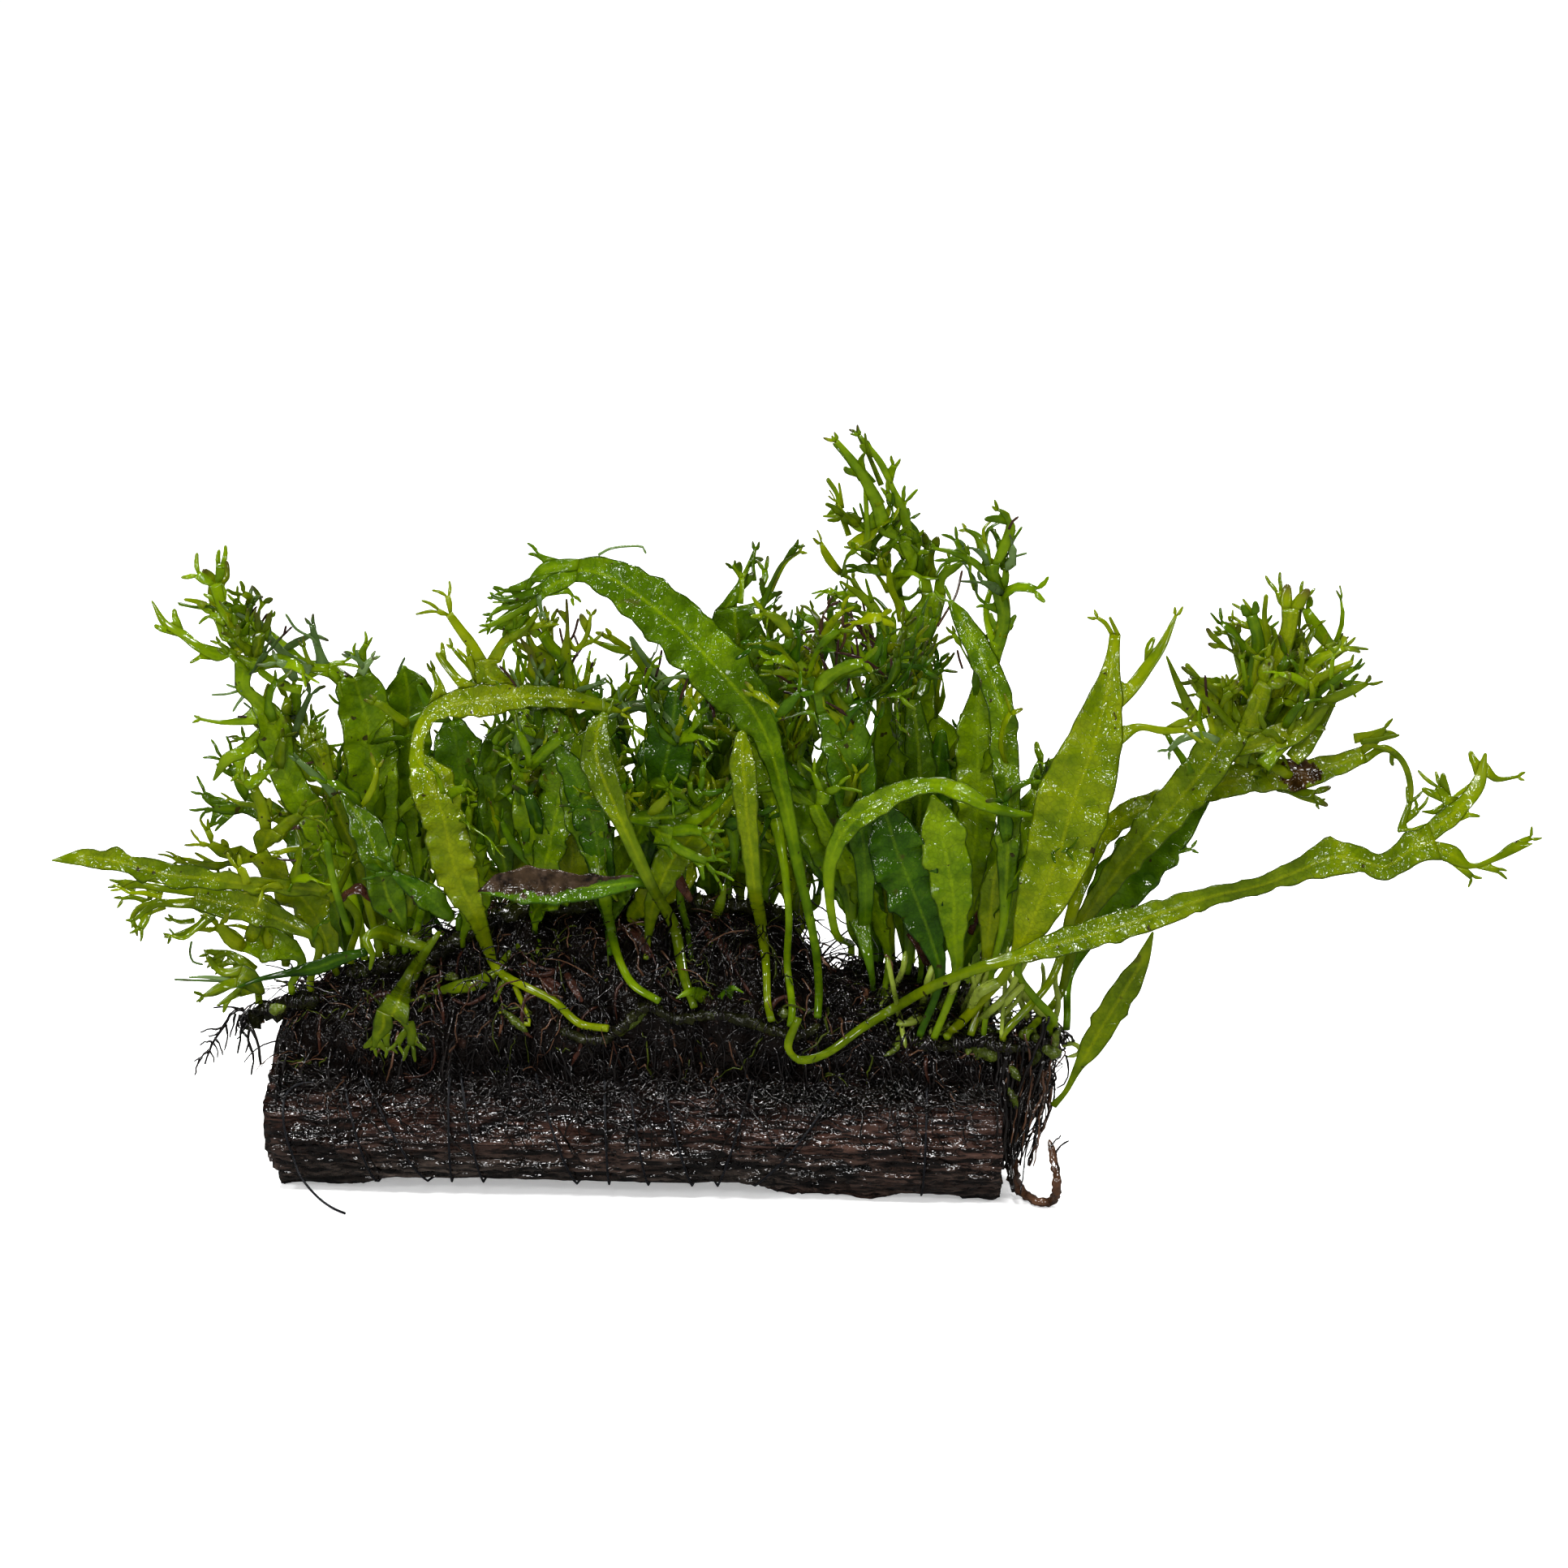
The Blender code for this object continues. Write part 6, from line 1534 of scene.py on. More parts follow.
def bark_material():
    M = Mat("bark_wet")
    long_v = M.coords(0.12, 1.0, 1.0)
    mid_v = M.coords(0.30, 1.0, 1.0)
    g1 = M.noise(300.0, 8.0, 0.65, long_v, 0.4)
    g2 = M.noise(1000.0, 6.0, 0.6, long_v)
    g3 = M.noise(60.0, 4.0, 0.5, mid_v)
    g4 = M.noise(1300.0, 3.0, 0.6, M.coords(0.45, 1.0, 1.0))
    top = M.attr("height")
    deep = M.attr("deep")
    # by height: red-brown above, grey below; the grey is partly the wood's tone and partly painted reflection of the
    # white floor
    red = M.mix(M.ramp(g1, 0.36, 0.66), (0.0008, 0.0006, 0.0005), (0.056, 0.0250, 0.0175))
    grey = M.mix(M.ramp(g1, 0.36, 0.66), (0.0010, 0.0008, 0.0007), (0.050, 0.038, 0.031))
    col = M.mix(M.ramp(top, 0.22, 0.50), grey, red)
    col = M.mix(M.math("MULTIPLY", M.ramp(g3, 0.50, 0.70), 0.60), col, (0.066, 0.034, 0.025))
    col = M.mix(M.math("MULTIPLY", M.ramp(g2, 0.45, 0.56), 0.95), col, (0.0009, 0.0007, 0.0006))
    black = M.ramp(M.noise(150.0, 5.0, 0.62, mid_v), 0.47, 0.56)
    col = M.mix(M.math("MULTIPLY", black, M.ramp(top, 0.55, 0.92, 0.30, 0.95)), col, (0.0012, 0.0010, 0.0009))
    # painted shade: crevices and cracks darkened by the deep attribute; on the sawn ends the same attribute gives the
    # darker growth rings
    col = M.mix(M.math("MULTIPLY", deep, 0.97), col, (0.0008, 0.0006, 0.0006))
    M.link(col, M.b.inputs["Base Color"])
    M.link(M.ramp(g4, 0.38, 0.62, 0.05, 0.14), M.b.inputs["Roughness"])
    M.b.inputs["Specular IOR Level"].default_value = 0.38
    h = M.math("MULTIPLY", M.noise(330.0, 1.5, 0.5, M.coords(0.22, 1.0, 1.0)), 1.0)
    h = M.math("ADD", h, M.math("MULTIPLY", M.noise(900.0, 1.0, 0.5, M.coords(0.45, 1.0, 1.0)), 0.50))
    M.bump(h, 1.0, 0.0012)
    return M.m


BARK = bark_material()
HAIR = simple_wet("root_hair", (0.0006, 0.0005, 0.0005), (0.0050, 0.0035, 0.0027), 180.0, (0.05, 0.12), coat=0.33).m
HAIR_BROWN = simple_wet("root_hair_brown", (0.008, 0.0040, 0.0024), (0.080, 0.038, 0.020), 160.0, (0.06, 0.14), coat=0.30).m
SOIL = simple_wet("root_mat", (0.0004, 0.0003, 0.0003), (0.0040, 0.0027, 0.0020), 240.0, (0.05, 0.14), (1.0, 0.0015), coat=-0.04,
                  third=(0.016, 0.0075, 0.0050)).m
STALK = simple_wet("leaf_stalk", (0.040, 0.062, 0.004), (0.190, 0.240, 0.030), 150.0, (0.06, 0.16), (0.6, 0.0005), coat=0.1,
                   third=(0.030, 0.040, 0.006)).m
STEM = simple_wet("rhizome", (0.030, 0.060, 0.003), (0.150, 0.230, 0.010), 230.0, (0.10, 0.25), (0.8, 0.0007), coat=0.1,
                  third=(0.016, 0.012, 0.005)).m
STEM_DARK = simple_wet("rhizome_dark", (0.0012, 0.0012, 0.0008), (0.011, 0.012, 0.002), 230.0, (0.08, 0.20), (1.0, 0.0008), coat=0.0,
                       third=(0.024, 0.034, 0.003)).m
THREAD = simple_wet("thread", (0.0015, 0.0015, 0.0020), (0.0085, 0.0090, 0.0110), 1500.0, (0.18, 0.35), (0.8, 0.0002), coat=-0.02).m
OLIVE = simple_wet("rhizome_olive", (0.006, 0.009, 0.001), (0.055, 0.078, 0.005), 330.0, (0.05, 0.14), (1.0, 0.0012), coat=0.12,
                   third=(0.010, 0.007, 0.003)).m
DEAD = simple_wet("dead_leaf", (0.006, 0.0025, 0.0018), (0.034, 0.011, 0.006), 260.0, (0.08, 0.25), (0.9, 0.0007), coat=0.1,
                  third=(0.060, 0.026, 0.012)).m

# ------------------------------------------------------------ camera
cam = bpy.data.cameras.new("camera")
cam.sensor_width = 36.0
cam.lens = VIEW_F / 1932.0 * 36.0
cam.clip_start = 0.01
cam.clip_end = 20.0
co = bpy.data.objects.new("camera", cam)
bpy.context.scene.collection.objects.link(co)
co.location = Vector(put(EYE))
co.rotation_euler = (math.radians(90.0) - VIEW_EL, 0.0, 0.0)
bpy.context.scene.camera = co

# ------------------------------------------------------------ solid layout, as packed
LOG_M, MAT_M = build_log(), build_mat()
SOLID = bvh(list(LOG_M[0]) + list(MAT_M[0]), LOG_M[1] + [tuple(i + len(LOG_M[0]) for i in f) for f in MAT_M[1]])
PARTS = {"driftwood_log": LOG_M, "root_mat": MAT_M, "end_root_bundle": build_bundle(), "hanging_root_loop": build_root_loop()}
PARTS.update(build_rhizomes(SOLID))
PARTS["tie_thread"] = build_thread()

# ------------------------------------------------------------ thread tail, a cord
keys = tail_route(SOLID)
route = spline(keys, 40)
tail = [Vector((p.x, p.y, max(p.z, 0.27))) for p in route]
cu = bpy.data.curves.new("thread_tail_line", "CURVE")
cu.dimensions = "3D"
cu.bevel_depth = 0.5 * THREAD_D * MM
cu.bevel_resolution = 4
cu.use_fill_caps = True
sp = cu.splines.new("POLY")
sp.points.add(len(tail) - 1)
for q, p in zip(sp.points, tail):
    w = put(p)
    q.co = (w[0], w[1], w[2], 1.0)
cu.materials.append(THREAD)
tail_ob = bpy.data.objects.new("loose_thread_end", cu)
bpy.context.scene.collection.objects.link(tail_ob)
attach(tail_ob, "root")
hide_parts("thread_tail")


# ------------------------------------------------------------ log
def fnoise(x, y, z, octaves=4):
    return noise.fractal(Vector((x, y, z)), 1.0, 2.0, octaves)


def bark_shape(x, a):
    """Height of the bark's relief in mm, and how deep a point lies (0..1); the bark material darkens deep points as
    painted shade.
    """
    cy, cz = math.cos(a) * 16.0, math.sin(a) * 16.0
    warp = 1.6 * fnoise(x * 0.03, cy * 0.05, cz * 0.05, 2)
    g = fnoise(x * 0.05 + warp, cy * 0.36, cz * 0.36, 5)
    f = fnoise(x * 0.20, cy * 1.0, cz * 1.0 + 7.0, 3)
    ridge = 1.0 - abs(g) * 2.2
    ledge = abs(fnoise(x * 0.025 + 4.0, cy * 0.30, cz * 0.30 + 3.0, 2))
    h = 1.05 * g + 0.75 * f - 0.20 - 0.9 * max(0.0, 0.10 - ledge) * 10.0
    deep = max(0.0, min(1.0, (ridge - 0.80) * 4.5))
    h -= 0.55 * deep
    return h, deep


def near_line(u, v, a, b):
    du, dv = b[0] - a[0], b[1] - a[1]
    t = max(0.0, min(1.0, ((u - a[0]) * du + (v - a[1]) * dv) / (du * du + dv * dv)))
    return math.hypot(u - a[0] - du * t, v - a[1] - dv * t)


# cracks and hollows seen on the front: ends, half width, depth
CRACKS = [((312, 1398), (420, 1402), 3.0, 0.8), ((420, 1402), (560, 1408), 2.2, 0.45), ((985, 1447), (1070, 1441), 4.5, 1.2),
          ((1070, 1441), (1236, 1449), 2.5, 0.6), ((596, 1393), (614, 1386), 9.0, 1.3), ((340, 1340), (460, 1344), 2.4, 0.6),
          ((620, 1352), (735, 1349), 2.4, 0.6), ((800, 1362), (940, 1366), 2.2, 0.6), ((1010, 1372), (1180, 1368), 2.2, 0.5),
          ((660, 1412), (800, 1417), 2.0, 0.5), ((1060, 1412), (1210, 1406), 2.0, 0.5), ((440, 1376), (545, 1372), 2.0, 0.5),
          ((1225, 1330), (1232, 1420), 3.0, 0.5)]


def cracks(p):
    u, v = project(p)
    h = 0.0
    for a, b, w, dpt in CRACKS:
        d = near_line(u, v + 2.0 * wobble(u * 0.05, a[0]), a, b)
        if d < w * 1.6:
            h = max(h, dpt * math.exp(-(d / w) ** 2 * 1.6))
    return h


def build_fine_log():
    xs = np.concatenate([np.linspace(LOG_LEFT, LOG_RIGHT, 272)])
    ANG = np.concatenate([np.linspace(-90.0, 56.0, 92, endpoint=False), np.linspace(56.0, 270.0, 36, endpoint=False)])
    A = len(ANG)
    verts = np.zeros((len(xs), A, 3))
    deep = np.zeros((len(xs), A))
    high = np.zeros((len(xs), A))
    for i, x in enumerate(xs):
        el = smooth(0.0, 2.2, x - LOG_LEFT) * smooth(0.0, 1.6, LOG_RIGHT - x)
        for j in range(A):
            a = math.radians(ANG[j])
            r = bark_r(x, a)
            h, d = bark_shape(x, a)
            s = math.sin(a)
            if s < -0.5 and r * -s > AXIS_Z - underside(x) - 0.35:
                h = min(h, 0.0) * 0.3
            h -= (1.0 - el) * (0.35 + 0.25 * wobble(j * 0.31, 2.0))
            # thicker bark past the step low on the right
            if x > 2.0 and -1.25 < a < -0.30:
                h += 0.45 * smooth(2.0, 4.0, x)
            if 3.0 < x < 17.0 and abs(a + 0.82 - 0.004 * x) < 0.055:
                h -= 0.8
                d = 1.0
            if -1.3 < a < 0.6:
                ck = cracks(round_log(x, a, r))
                h -= ck
                d = max(d, min(1.0, ck * 1.3))
            r2 = r + h
            p = round_log(x, a, r2)
            p.z = max(p.z, 0.0)
            verts[i, j] = p
            if i < 5:
                verts[i, j, 0] += (1.0 - i / 5.0) * (1.3 * fnoise(a * 2.0, 3.0, 1.0, 3) + 2.4 * s * s - 0.7 + 0.8)
            if i > len(xs) - 5:
                verts[i, j, 0] += (1.0 - (len(xs) - 1 - i) / 5.0) * (0.9 * fnoise(a * 2.0, 8.0, 1.0, 3) - 0.6)
            # deep also sets the painted shade in the crevices, in the bark material
            deep[i, j] = d
            high[i, j] = p.z / 32.0
    n = len(xs)
    idx = np.arange(n * A).reshape(n, A)
    a, d = idx[:-1], idx[1:]
    b, c = np.roll(a, -1, axis=1), np.roll(d, -1, axis=1)
    faces = [np.stack([d, c, b, a], -1).reshape(-1, 4)]
    V, dp, hi = [verts.reshape(-1, 3)], [deep.ravel()], [high.ravel()]
    base = n * A
    # sawn ends: rings closing on the pith, with growth rings as relief
    for end, ring, flip in ((0, idx[0], False), (1, idx[-1], True)):
        cen = verts[0 if end == 0 else -1].mean(axis=0)
        prev = ring
        rim = verts[0 if end == 0 else -1]
        for k, f in enumerate((0.93, 0.85, 0.76, 0.66, 0.56, 0.46, 0.36, 0.26, 0.16, 0.07)):
            row = cen + (rim - cen) * f
            sgn = -1.0 if end == 0 else 1.0
            row[:, 0] = (rim[:, 0] * f + cen[0] * (1 - f)) + sgn * (0.25 * math.sin(k * 2.4) - 0.3)
            for j in range(A):
                row[j, 0] += 0.35 * fnoise(row[j, 1] * 0.5, row[j, 2] * 0.5, 3.0 + end, 3)
            V.append(row)
            dp.append(np.full(A, 0.25 + 0.25 * (k % 2)))
            hi.append(row[:, 2] / 32.0)
            cur = base + np.arange(A)
            base += A
            q = np.stack([prev, np.roll(prev, -1), np.roll(cur, -1), cur], -1)
            faces.append(q[:, ::-1] if flip else q)
            prev = cur
        V.append(cen[None, :])
        dp.append(np.array([0.6]))
        hi.append(np.array([cen[2] / 32.0]))
        tri = np.stack([prev, np.roll(prev, -1), np.full(A, base)], -1)
        faces.append(tri[:, ::-1] if flip else tri)
        base += 1
    return np.concatenate(V), faces, np.concatenate(dp), np.concatenate(hi)


V, Fc, dp, hi = build_fine_log()
make_piece("wet_driftwood", V, Fc, BARK, ["driftwood_log"], {"deep": dp, "height": hi})


# ------------------------------------------------------------ root mat
def mat_surface(x, a_deg):
    # the front edge hangs unevenly over the bark
    edge = MAT_FRONT + 4.5 + 8.0 * fnoise(x * 0.09, 2.0, 4.0, 3) + 3.0 * fnoise(x * 0.5, 7.0, 4.0, 2) + 15.0 * (1.0 - smooth(-99.0, -82.0, x))
    t = smooth(edge - 3.0, edge + 9.0, a_deg) * (1.0 - smooth(MAT_BACK - 8.0, MAT_BACK + 5.0, a_deg))
    e = smooth(-104.0, -99.0, x) * (1.0 - smooth(41.0, 44.0, x))
    r0 = LOG_RADIUS - 0.6
    return r0 + (mat_r(x, max(MAT_FRONT, min(MAT_BACK, a_deg))) - r0) * t * e


STEMS = np.array([list(p) for name in RHIZOMES for p in spline(RZ_PATH[name], 60)])


def build_fine_mat():
    xs = np.linspace(-103.5, 43.6, 210)
    As = np.linspace(MAT_FRONT - 8.0, MAT_BACK + 6.0, 78)
    n, m = len(xs), len(As)
    outer = np.zeros((n, m, 3))
    inner = np.zeros((n, m, 3))
    for i, x in enumerate(xs):
        for j, a in enumerate(As):
            r = mat_surface(x, a)
            k = min(1.0, (r - LOG_RADIUS) / 4.0)
            h = 2.4 * fnoise(x * 0.12, a * 0.05, 1.0, 4) + 1.7 * abs(fnoise(x * 0.42, a * 0.15, 5.0, 3)) + 0.5 * fnoise(x * 1.3, a * 0.45, 9.0, 2) - 1.2
            q = np.array(round_log(x, math.radians(a), r))
            near = np.sqrt(((STEMS - q) ** 2).sum(axis=1).min())
            bury = 2.7 * math.exp(-(near / 4.2) ** 2)
            k = max(0.0, k)
            outer[i, j] = round_log(x, math.radians(a), max(LOG_RADIUS - 0.9, r + h * k - 0.4 * k + bury * k))
            inner[i, j] = round_log(x, math.radians(a), LOG_RADIUS - 1.8)
    k = n * m
    idx = np.arange(k).reshape(n, m)
    a, b, c, d = idx[:-1, :-1], idx[:-1, 1:], idx[1:, 1:], idx[1:, :-1]
    f = [np.stack([a, b, c, d], -1).reshape(-1, 4)[:, ::-1], np.stack([a, b, c, d], -1).reshape(-1, 4) + k]
    for e in (idx[:, 0], idx[:, -1][::-1], idx[0, ::-1], idx[-1, :]):
        f.append(np.stack([e[:-1], e[1:], e[1:] + k, e[:-1] + k], -1))
    return np.concatenate([outer.reshape(-1, 3), inner.reshape(-1, 3)]), f


V, Fc = build_fine_mat()
make_piece("root_mat_body", V, Fc, SOIL, ["root_mat"])


def surf_point(x, a, off):
    r = bark_r(x, math.radians(a)) + 0.15
    if MAT_FRONT - 8 < a < MAT_BACK + 6:
        r = max(r, mat_surface(x, a))
    return round_log(x, math.radians(a), r + off)


def hair_on_mat(count, K, seed, length, arch, rad, x_range=(-102.0, 42.5), a_range=(30.0, 150.0), drift=0.0):
    rng = np.random.default_rng(seed)
    P = np.zeros((count, K, 3))
    for h in range(count):
        x = rng.uniform(*x_range)
        a = rng.uniform(*a_range)
        th = rng.uniform(0, 2 * math.pi)
        L = rng.uniform(*length)
        bend = rng.normal(0, 1.1)
        up = rng.uniform(0.0, arch)
        w1, w2 = rng.uniform(0, 6.28, 2)
        ds = L / (K - 1)
        base = rng.uniform(-0.25, 0.45)
        for k in range(K):
            t = k / (K - 1)
            th2 = th + bend * t + 0.9 * math.sin(w1 + t * 9.0) * 0.5 + 0.5 * math.sin(w2 + t * 21.0)
            o = base + up * math.sin(math.pi * t) + 0.25 * math.sin(w2 + t * 14.0)
            P[h, k] = surf_point(x, a, max(0.0, o))
            r = 17.5 + 8.0
            x += ds * math.cos(th2)
            a += math.degrees(ds * math.sin(th2) / r) - drift * ds
            x = min(max(x, x_range[0]), x_range[1])
            a = min(max(a, -10.0), 158.0)
    R = rng.uniform(rad[0], rad[1], (count, 1)) * np.linspace(1.0, 0.45, K)[None, :]
    return P, R


def hairs_piece(name, specs, mat, sides=3):
    vs, fs, n = [], [], 0
    for i, (P, R) in enumerate(specs):
        v, f = hair_tubes(P, R, sides, np.random.default_rng(100 + i))
        vs.append(v)
        fs += [q + n for q in f]
        n += len(v)
    return make_piece(name, np.concatenate(vs), fs, mat)


def over_stems(count, K, seed, x_low=-200.0, thick=(0.11, 0.24)):
    # roots that grip the creeping stems
    rng = np.random.default_rng(seed)
    P = np.zeros((count, K, 3))
    for h in range(count):
        i = int(rng.integers(2, len(STEMS) - 3))
        while STEMS[i][0] < x_low:
            i = int(rng.integers(2, len(STEMS) - 3))
        c = STEMS[i]
        t = STEMS[i + 1] - STEMS[i - 1]
        if np.linalg.norm(t) > 6.0:
            t = np.array([1.0, 0.0, 0.0])
        t /= np.linalg.norm(t) + 1e-9
        n1 = np.cross(t, [0.0, 0.3, 1.0])
        n1 /= np.linalg.norm(n1)
        n2 = np.cross(n1, t)
        if n2[2] < 0:
            n2 = -n2
        skew = rng.normal(0, 1.6)
        rr = rng.uniform(2.2, 3.0)
        for k in range(K):
            g = math.radians(-20.0 + 220.0 * k / (K - 1))
            P[h, k] = c + n1 * (rr * math.cos(g)) + n2 * (rr * 0.8 * math.sin(g)) + t * (skew * (k / (K - 1) - 0.5) * 2 + 0.25 * math.sin(h + k * 1.7))
    R = rng.uniform(*thick, (count, 1)) * np.ones((1, K))
    return P, R


def wires(count, K, seed, reach, rad, a_range=(42.0, 132.0), x_range=(-100.0, 41.0)):
    # stiff wiry roots that leave the mat and come back
    rng = np.random.default_rng(seed)
    P = np.zeros((count, K, 3))
    for h in range(count):
        x, a = rng.uniform(*x_range), rng.uniform(*a_range)
        p = np.array(surf_point(x, a, -0.5))
        out = np.array([0.0, math.cos(math.radians(a)), math.sin(math.radians(a))])
        out[1] *= 1.0
        side = rng.normal(size=3)
        side -= out * side.dot(out)
        side /= np.linalg.norm(side) + 1e-9
        side2 = np.cross(out, side)
        L = rng.uniform(*reach)
        turn = rng.uniform(0.8, 2.6)
        wig = rng.uniform(0.2, 0.6)
        w1 = rng.uniform(0, 6.28)
        d = out * rng.uniform(0.5, 1.0) + side * rng.uniform(0.4, 1.0)
        d /= np.linalg.norm(d)
        for k in range(K):
            P[h, k] = p
            d = d - out * (turn / K * 0.9) + side2 * (wig * math.sin(w1 + k * 1.3)) + rng.normal(0, 0.10, 3)
            d /= np.linalg.norm(d)
            p = p + d * (L / (K - 1))
    P[:, :, 2] = np.maximum(P[:, :, 2], 1.0)
    R = rng.uniform(rad[0], rad[1], (count, 1)) * np.linspace(1.0, 0.5, K)[None, :]
    return P, R


hairs_piece("hair_roots_a", [hair_on_mat(520, 10, 1, (7.0, 20.0), 2.8, (0.16, 0.32), a_range=(45.0, 150.0)),
                             hair_on_mat(230, 10, 6, (5.0, 14.0), 5.0, (0.11, 0.22), a_range=(55.0, 125.0)),
                             over_stems(260, 9, 21), over_stems(130, 9, 23, 14.0, (0.16, 0.34))], HAIR)
GREENISH = simple_wet("root_olive", (0.004, 0.006, 0.001), (0.050, 0.066, 0.006), 150.0, (0.06, 0.18), coat=0.02).m
hairs_piece("bark_roots", [hair_on_mat(120, 12, 43, (5.0, 15.0), 1.6, (0.22, 0.44), a_range=(26.0, 47.0)),
                           hair_on_mat(64, 12, 41, (8.0, 24.0), 1.8, (0.18, 0.36), a_range=(14.0, 44.0)),
                           wires(90, 9, 42, (4.0, 11.0), (0.20, 0.38), a_range=(36.0, 125.0))], HAIR)
hairs_piece("olive_roots", [wires(70, 9, 34, (4.0, 12.0), (0.14, 0.36), a_range=(40.0, 118.0)),
                            hair_on_mat(80, 10, 35, (5.0, 14.0), 2.6, (0.16, 0.40), a_range=(40.0, 118.0))], GREENISH)
hairs_piece("hair_roots_b", [wires(460, 10, 2, (5.0, 16.0), (0.18, 0.42)),
                             wires(280, 10, 12, (6.0, 14.0), (0.14, 0.30), a_range=(66.0, 112.0)),
                             wires(130, 10, 17, (5.0, 12.0), (0.16, 0.34), a_range=(55.0, 105.0), x_range=(26.0, 43.5)),
                             hair_on_mat(190, 12, 3, (7.0, 17.0), 1.6, (0.14, 0.32), a_range=(44.0, 58.0), drift=1.7),
                             hair_on_mat(80, 12, 8, (10.0, 26.0), 1.0, (0.16, 0.32), a_range=(38.0, 50.0), drift=2.0)], HAIR)
hairs_piece("brown_roots", [wires(190, 9, 4, (5.0, 15.0), (0.14, 0.34), a_range=(40.0, 120.0)),
                            hair_on_mat(70, 10, 14, (6.0, 14.0), 2.8, (0.14, 0.30), a_range=(40.0, 120.0))], HAIR_BROWN)

# ------------------------------------------------------------ rhizomes
def fine_tube(points, radii, per, sides, rough, seed, spread=0.0):
    path = smooth_path(points, max(4, int(sum((Vector(b) - Vector(a)).length for a, b in zip(points, points[1:])) / per)))
    n = len(path)
    rr = np.interp(np.linspace(0, 1, n), np.linspace(0, 1, len(radii)), radii)
    T = np.gradient(path, axis=0)
    T /= np.linalg.norm(T, axis=1, keepdims=True) + 1e-9
    ref = np.array([0.0, 0.0, 1.0]) if abs(T[0][2]) < 0.8 else np.array([1.0, 0, 0])
    V = []
    nrm = ref
    for i in range(n):
        nrm = nrm - T[i] * nrm.dot(T[i])
        nrm /= np.linalg.norm(nrm) + 1e-9
        bi = np.cross(T[i], nrm)
        for k in range(sides):
            g = 2 * math.pi * k / sides
            d = nrm * math.cos(g) + bi * math.sin(g)
            q = path[i] + d * rr[i]
            r = rr[i] * (1.0 + rough * fnoise(q[0] * 0.9, q[1] * 0.9, q[2] * 0.9 + seed, 3))
            if i in (0, n - 1):
                r *= 0.35
            V.append(path[i] + d * r)
    V = np.array(V)
    idx = np.arange(n * sides).reshape(n, sides)
    a, d = idx[:-1], idx[1:]
    b, c = np.roll(a, -1, axis=1), np.roll(d, -1, axis=1)
    q = np.stack([a, b, c, d], -1).reshape(-1, 4)
    caps = []
    for j in range(1, sides - 1):
        caps.append([idx[0, 0], idx[0, j + 1], idx[0, j]])
        caps.append([idx[-1, 0], idx[-1, j], idx[-1, j + 1]])
    return V, [q, np.array(caps)]


for name in RHIZOMES:
    V, Fc = fine_tube(RZ_PATH[name], [r * (0.62 if name in ("right_rhizome", "front_rhizome") else 1.0) for r in RZ_RAD[name]], 0.7, 14, 0.75, len(name))
    make_piece("fine_" + name, V, Fc, STEM_DARK, [name])

# ------------------------------------------------------------ threads
V, Fc = PARTS["tie_thread"]
tp = []
for k, (u0, u1) in enumerate(PASSES):
    x0, x1 = grid_x(u0, -14.0), grid_x(u1, -10.0)
    seg = [(40.0, x0), (-62.0, x1)]
    n = 16
    for i in range(n):
        t = i / n
        a = 40.0 - 102.0 * t
        x = x0 + (x1 - x0) * t
        tp.append(round_log(x, math.radians(a), bark_r(x, math.radians(a)) + 0.62 + 0.35 * max(0.0, math.sin((a - 10.0) / 30.0))))
    if k == len(PASSES) - 1:
        break
    x2 = grid_x(PASSES[k + 1][0], -14.0)
    n = 34
    for i in range(n):
        t = i / n
        a = -62.0 - 258.0 * t
        x = x1 + (x2 - x1) * t
        tp.append(round_log(x, math.radians(a), bark_r(x, math.radians(a)) + 0.5))
for p in tp:
    p.z = max(p.z, 0.3)
path = np.array([list(p) for p in tp])[None]
v1, f1 = hair_tubes(path, np.full(path.shape[:2], 0.25), 7, RNG)
make_piece("tying_thread", v1, f1, THREAD, ["tie_thread"])

# ------------------------------------------------------------ end bundle and loop
BUNDLE_PX = [(1275, 1248, 26), (1271, 1275, 33), (1268, 1305, 37), (1265, 1340, 36), (1262, 1375, 28), (1252, 1408, 15), (1246, 1430, 7)]


def bundle_axis(t):
    k = t * (len(BUNDLE_PX) - 1)
    i = min(len(BUNDLE_PX) - 2, int(k))
    f = k - i
    u, v, w = (BUNDLE_PX[i][c] + (BUNDLE_PX[i + 1][c] - BUNDLE_PX[i][c]) * f for c in range(3))
    p = spot(u, v, -6.0)
    w *= unit_at(p)
    return np.array(p), w, w * 1.05


def hanging(count, seed, top, long, spread):
    rng = np.random.default_rng(seed)
    K = 13
    P = np.zeros((count, K, 3))
    for h in range(count):
        t0 = rng.uniform(*top)
        t1 = min(1.0, t0 + rng.uniform(*long))
        g0 = rng.uniform(0, 6.28)
        dg = rng.normal(0, spread)
        rad = rng.uniform(0.15, 1.05)
        w1, w2 = rng.uniform(0, 6.28, 2)
        for k in range(K):
            t = t0 + (t1 - t0) * k / (K - 1.0)
            c, rx, ry = bundle_axis(t)
            g = g0 + dg * k / (K - 1.0) + 0.35 * spread * math.sin(w1 + k * 0.8)
            q = rad * (1.0 + 0.22 * math.sin(w2 + k * 0.7))
            P[h, k] = c + np.array([rx * q * math.cos(g), ry * q * math.sin(g), 0.5 * math.sin(w1 * 1.7 + k)])
    P[:, :, 0] = np.maximum(P[:, :, 0], 44.9)
    R = rng.uniform(0.12, 0.32, (count, 1)) * np.linspace(1.0, 0.55, K)[None, :]
    return P, R


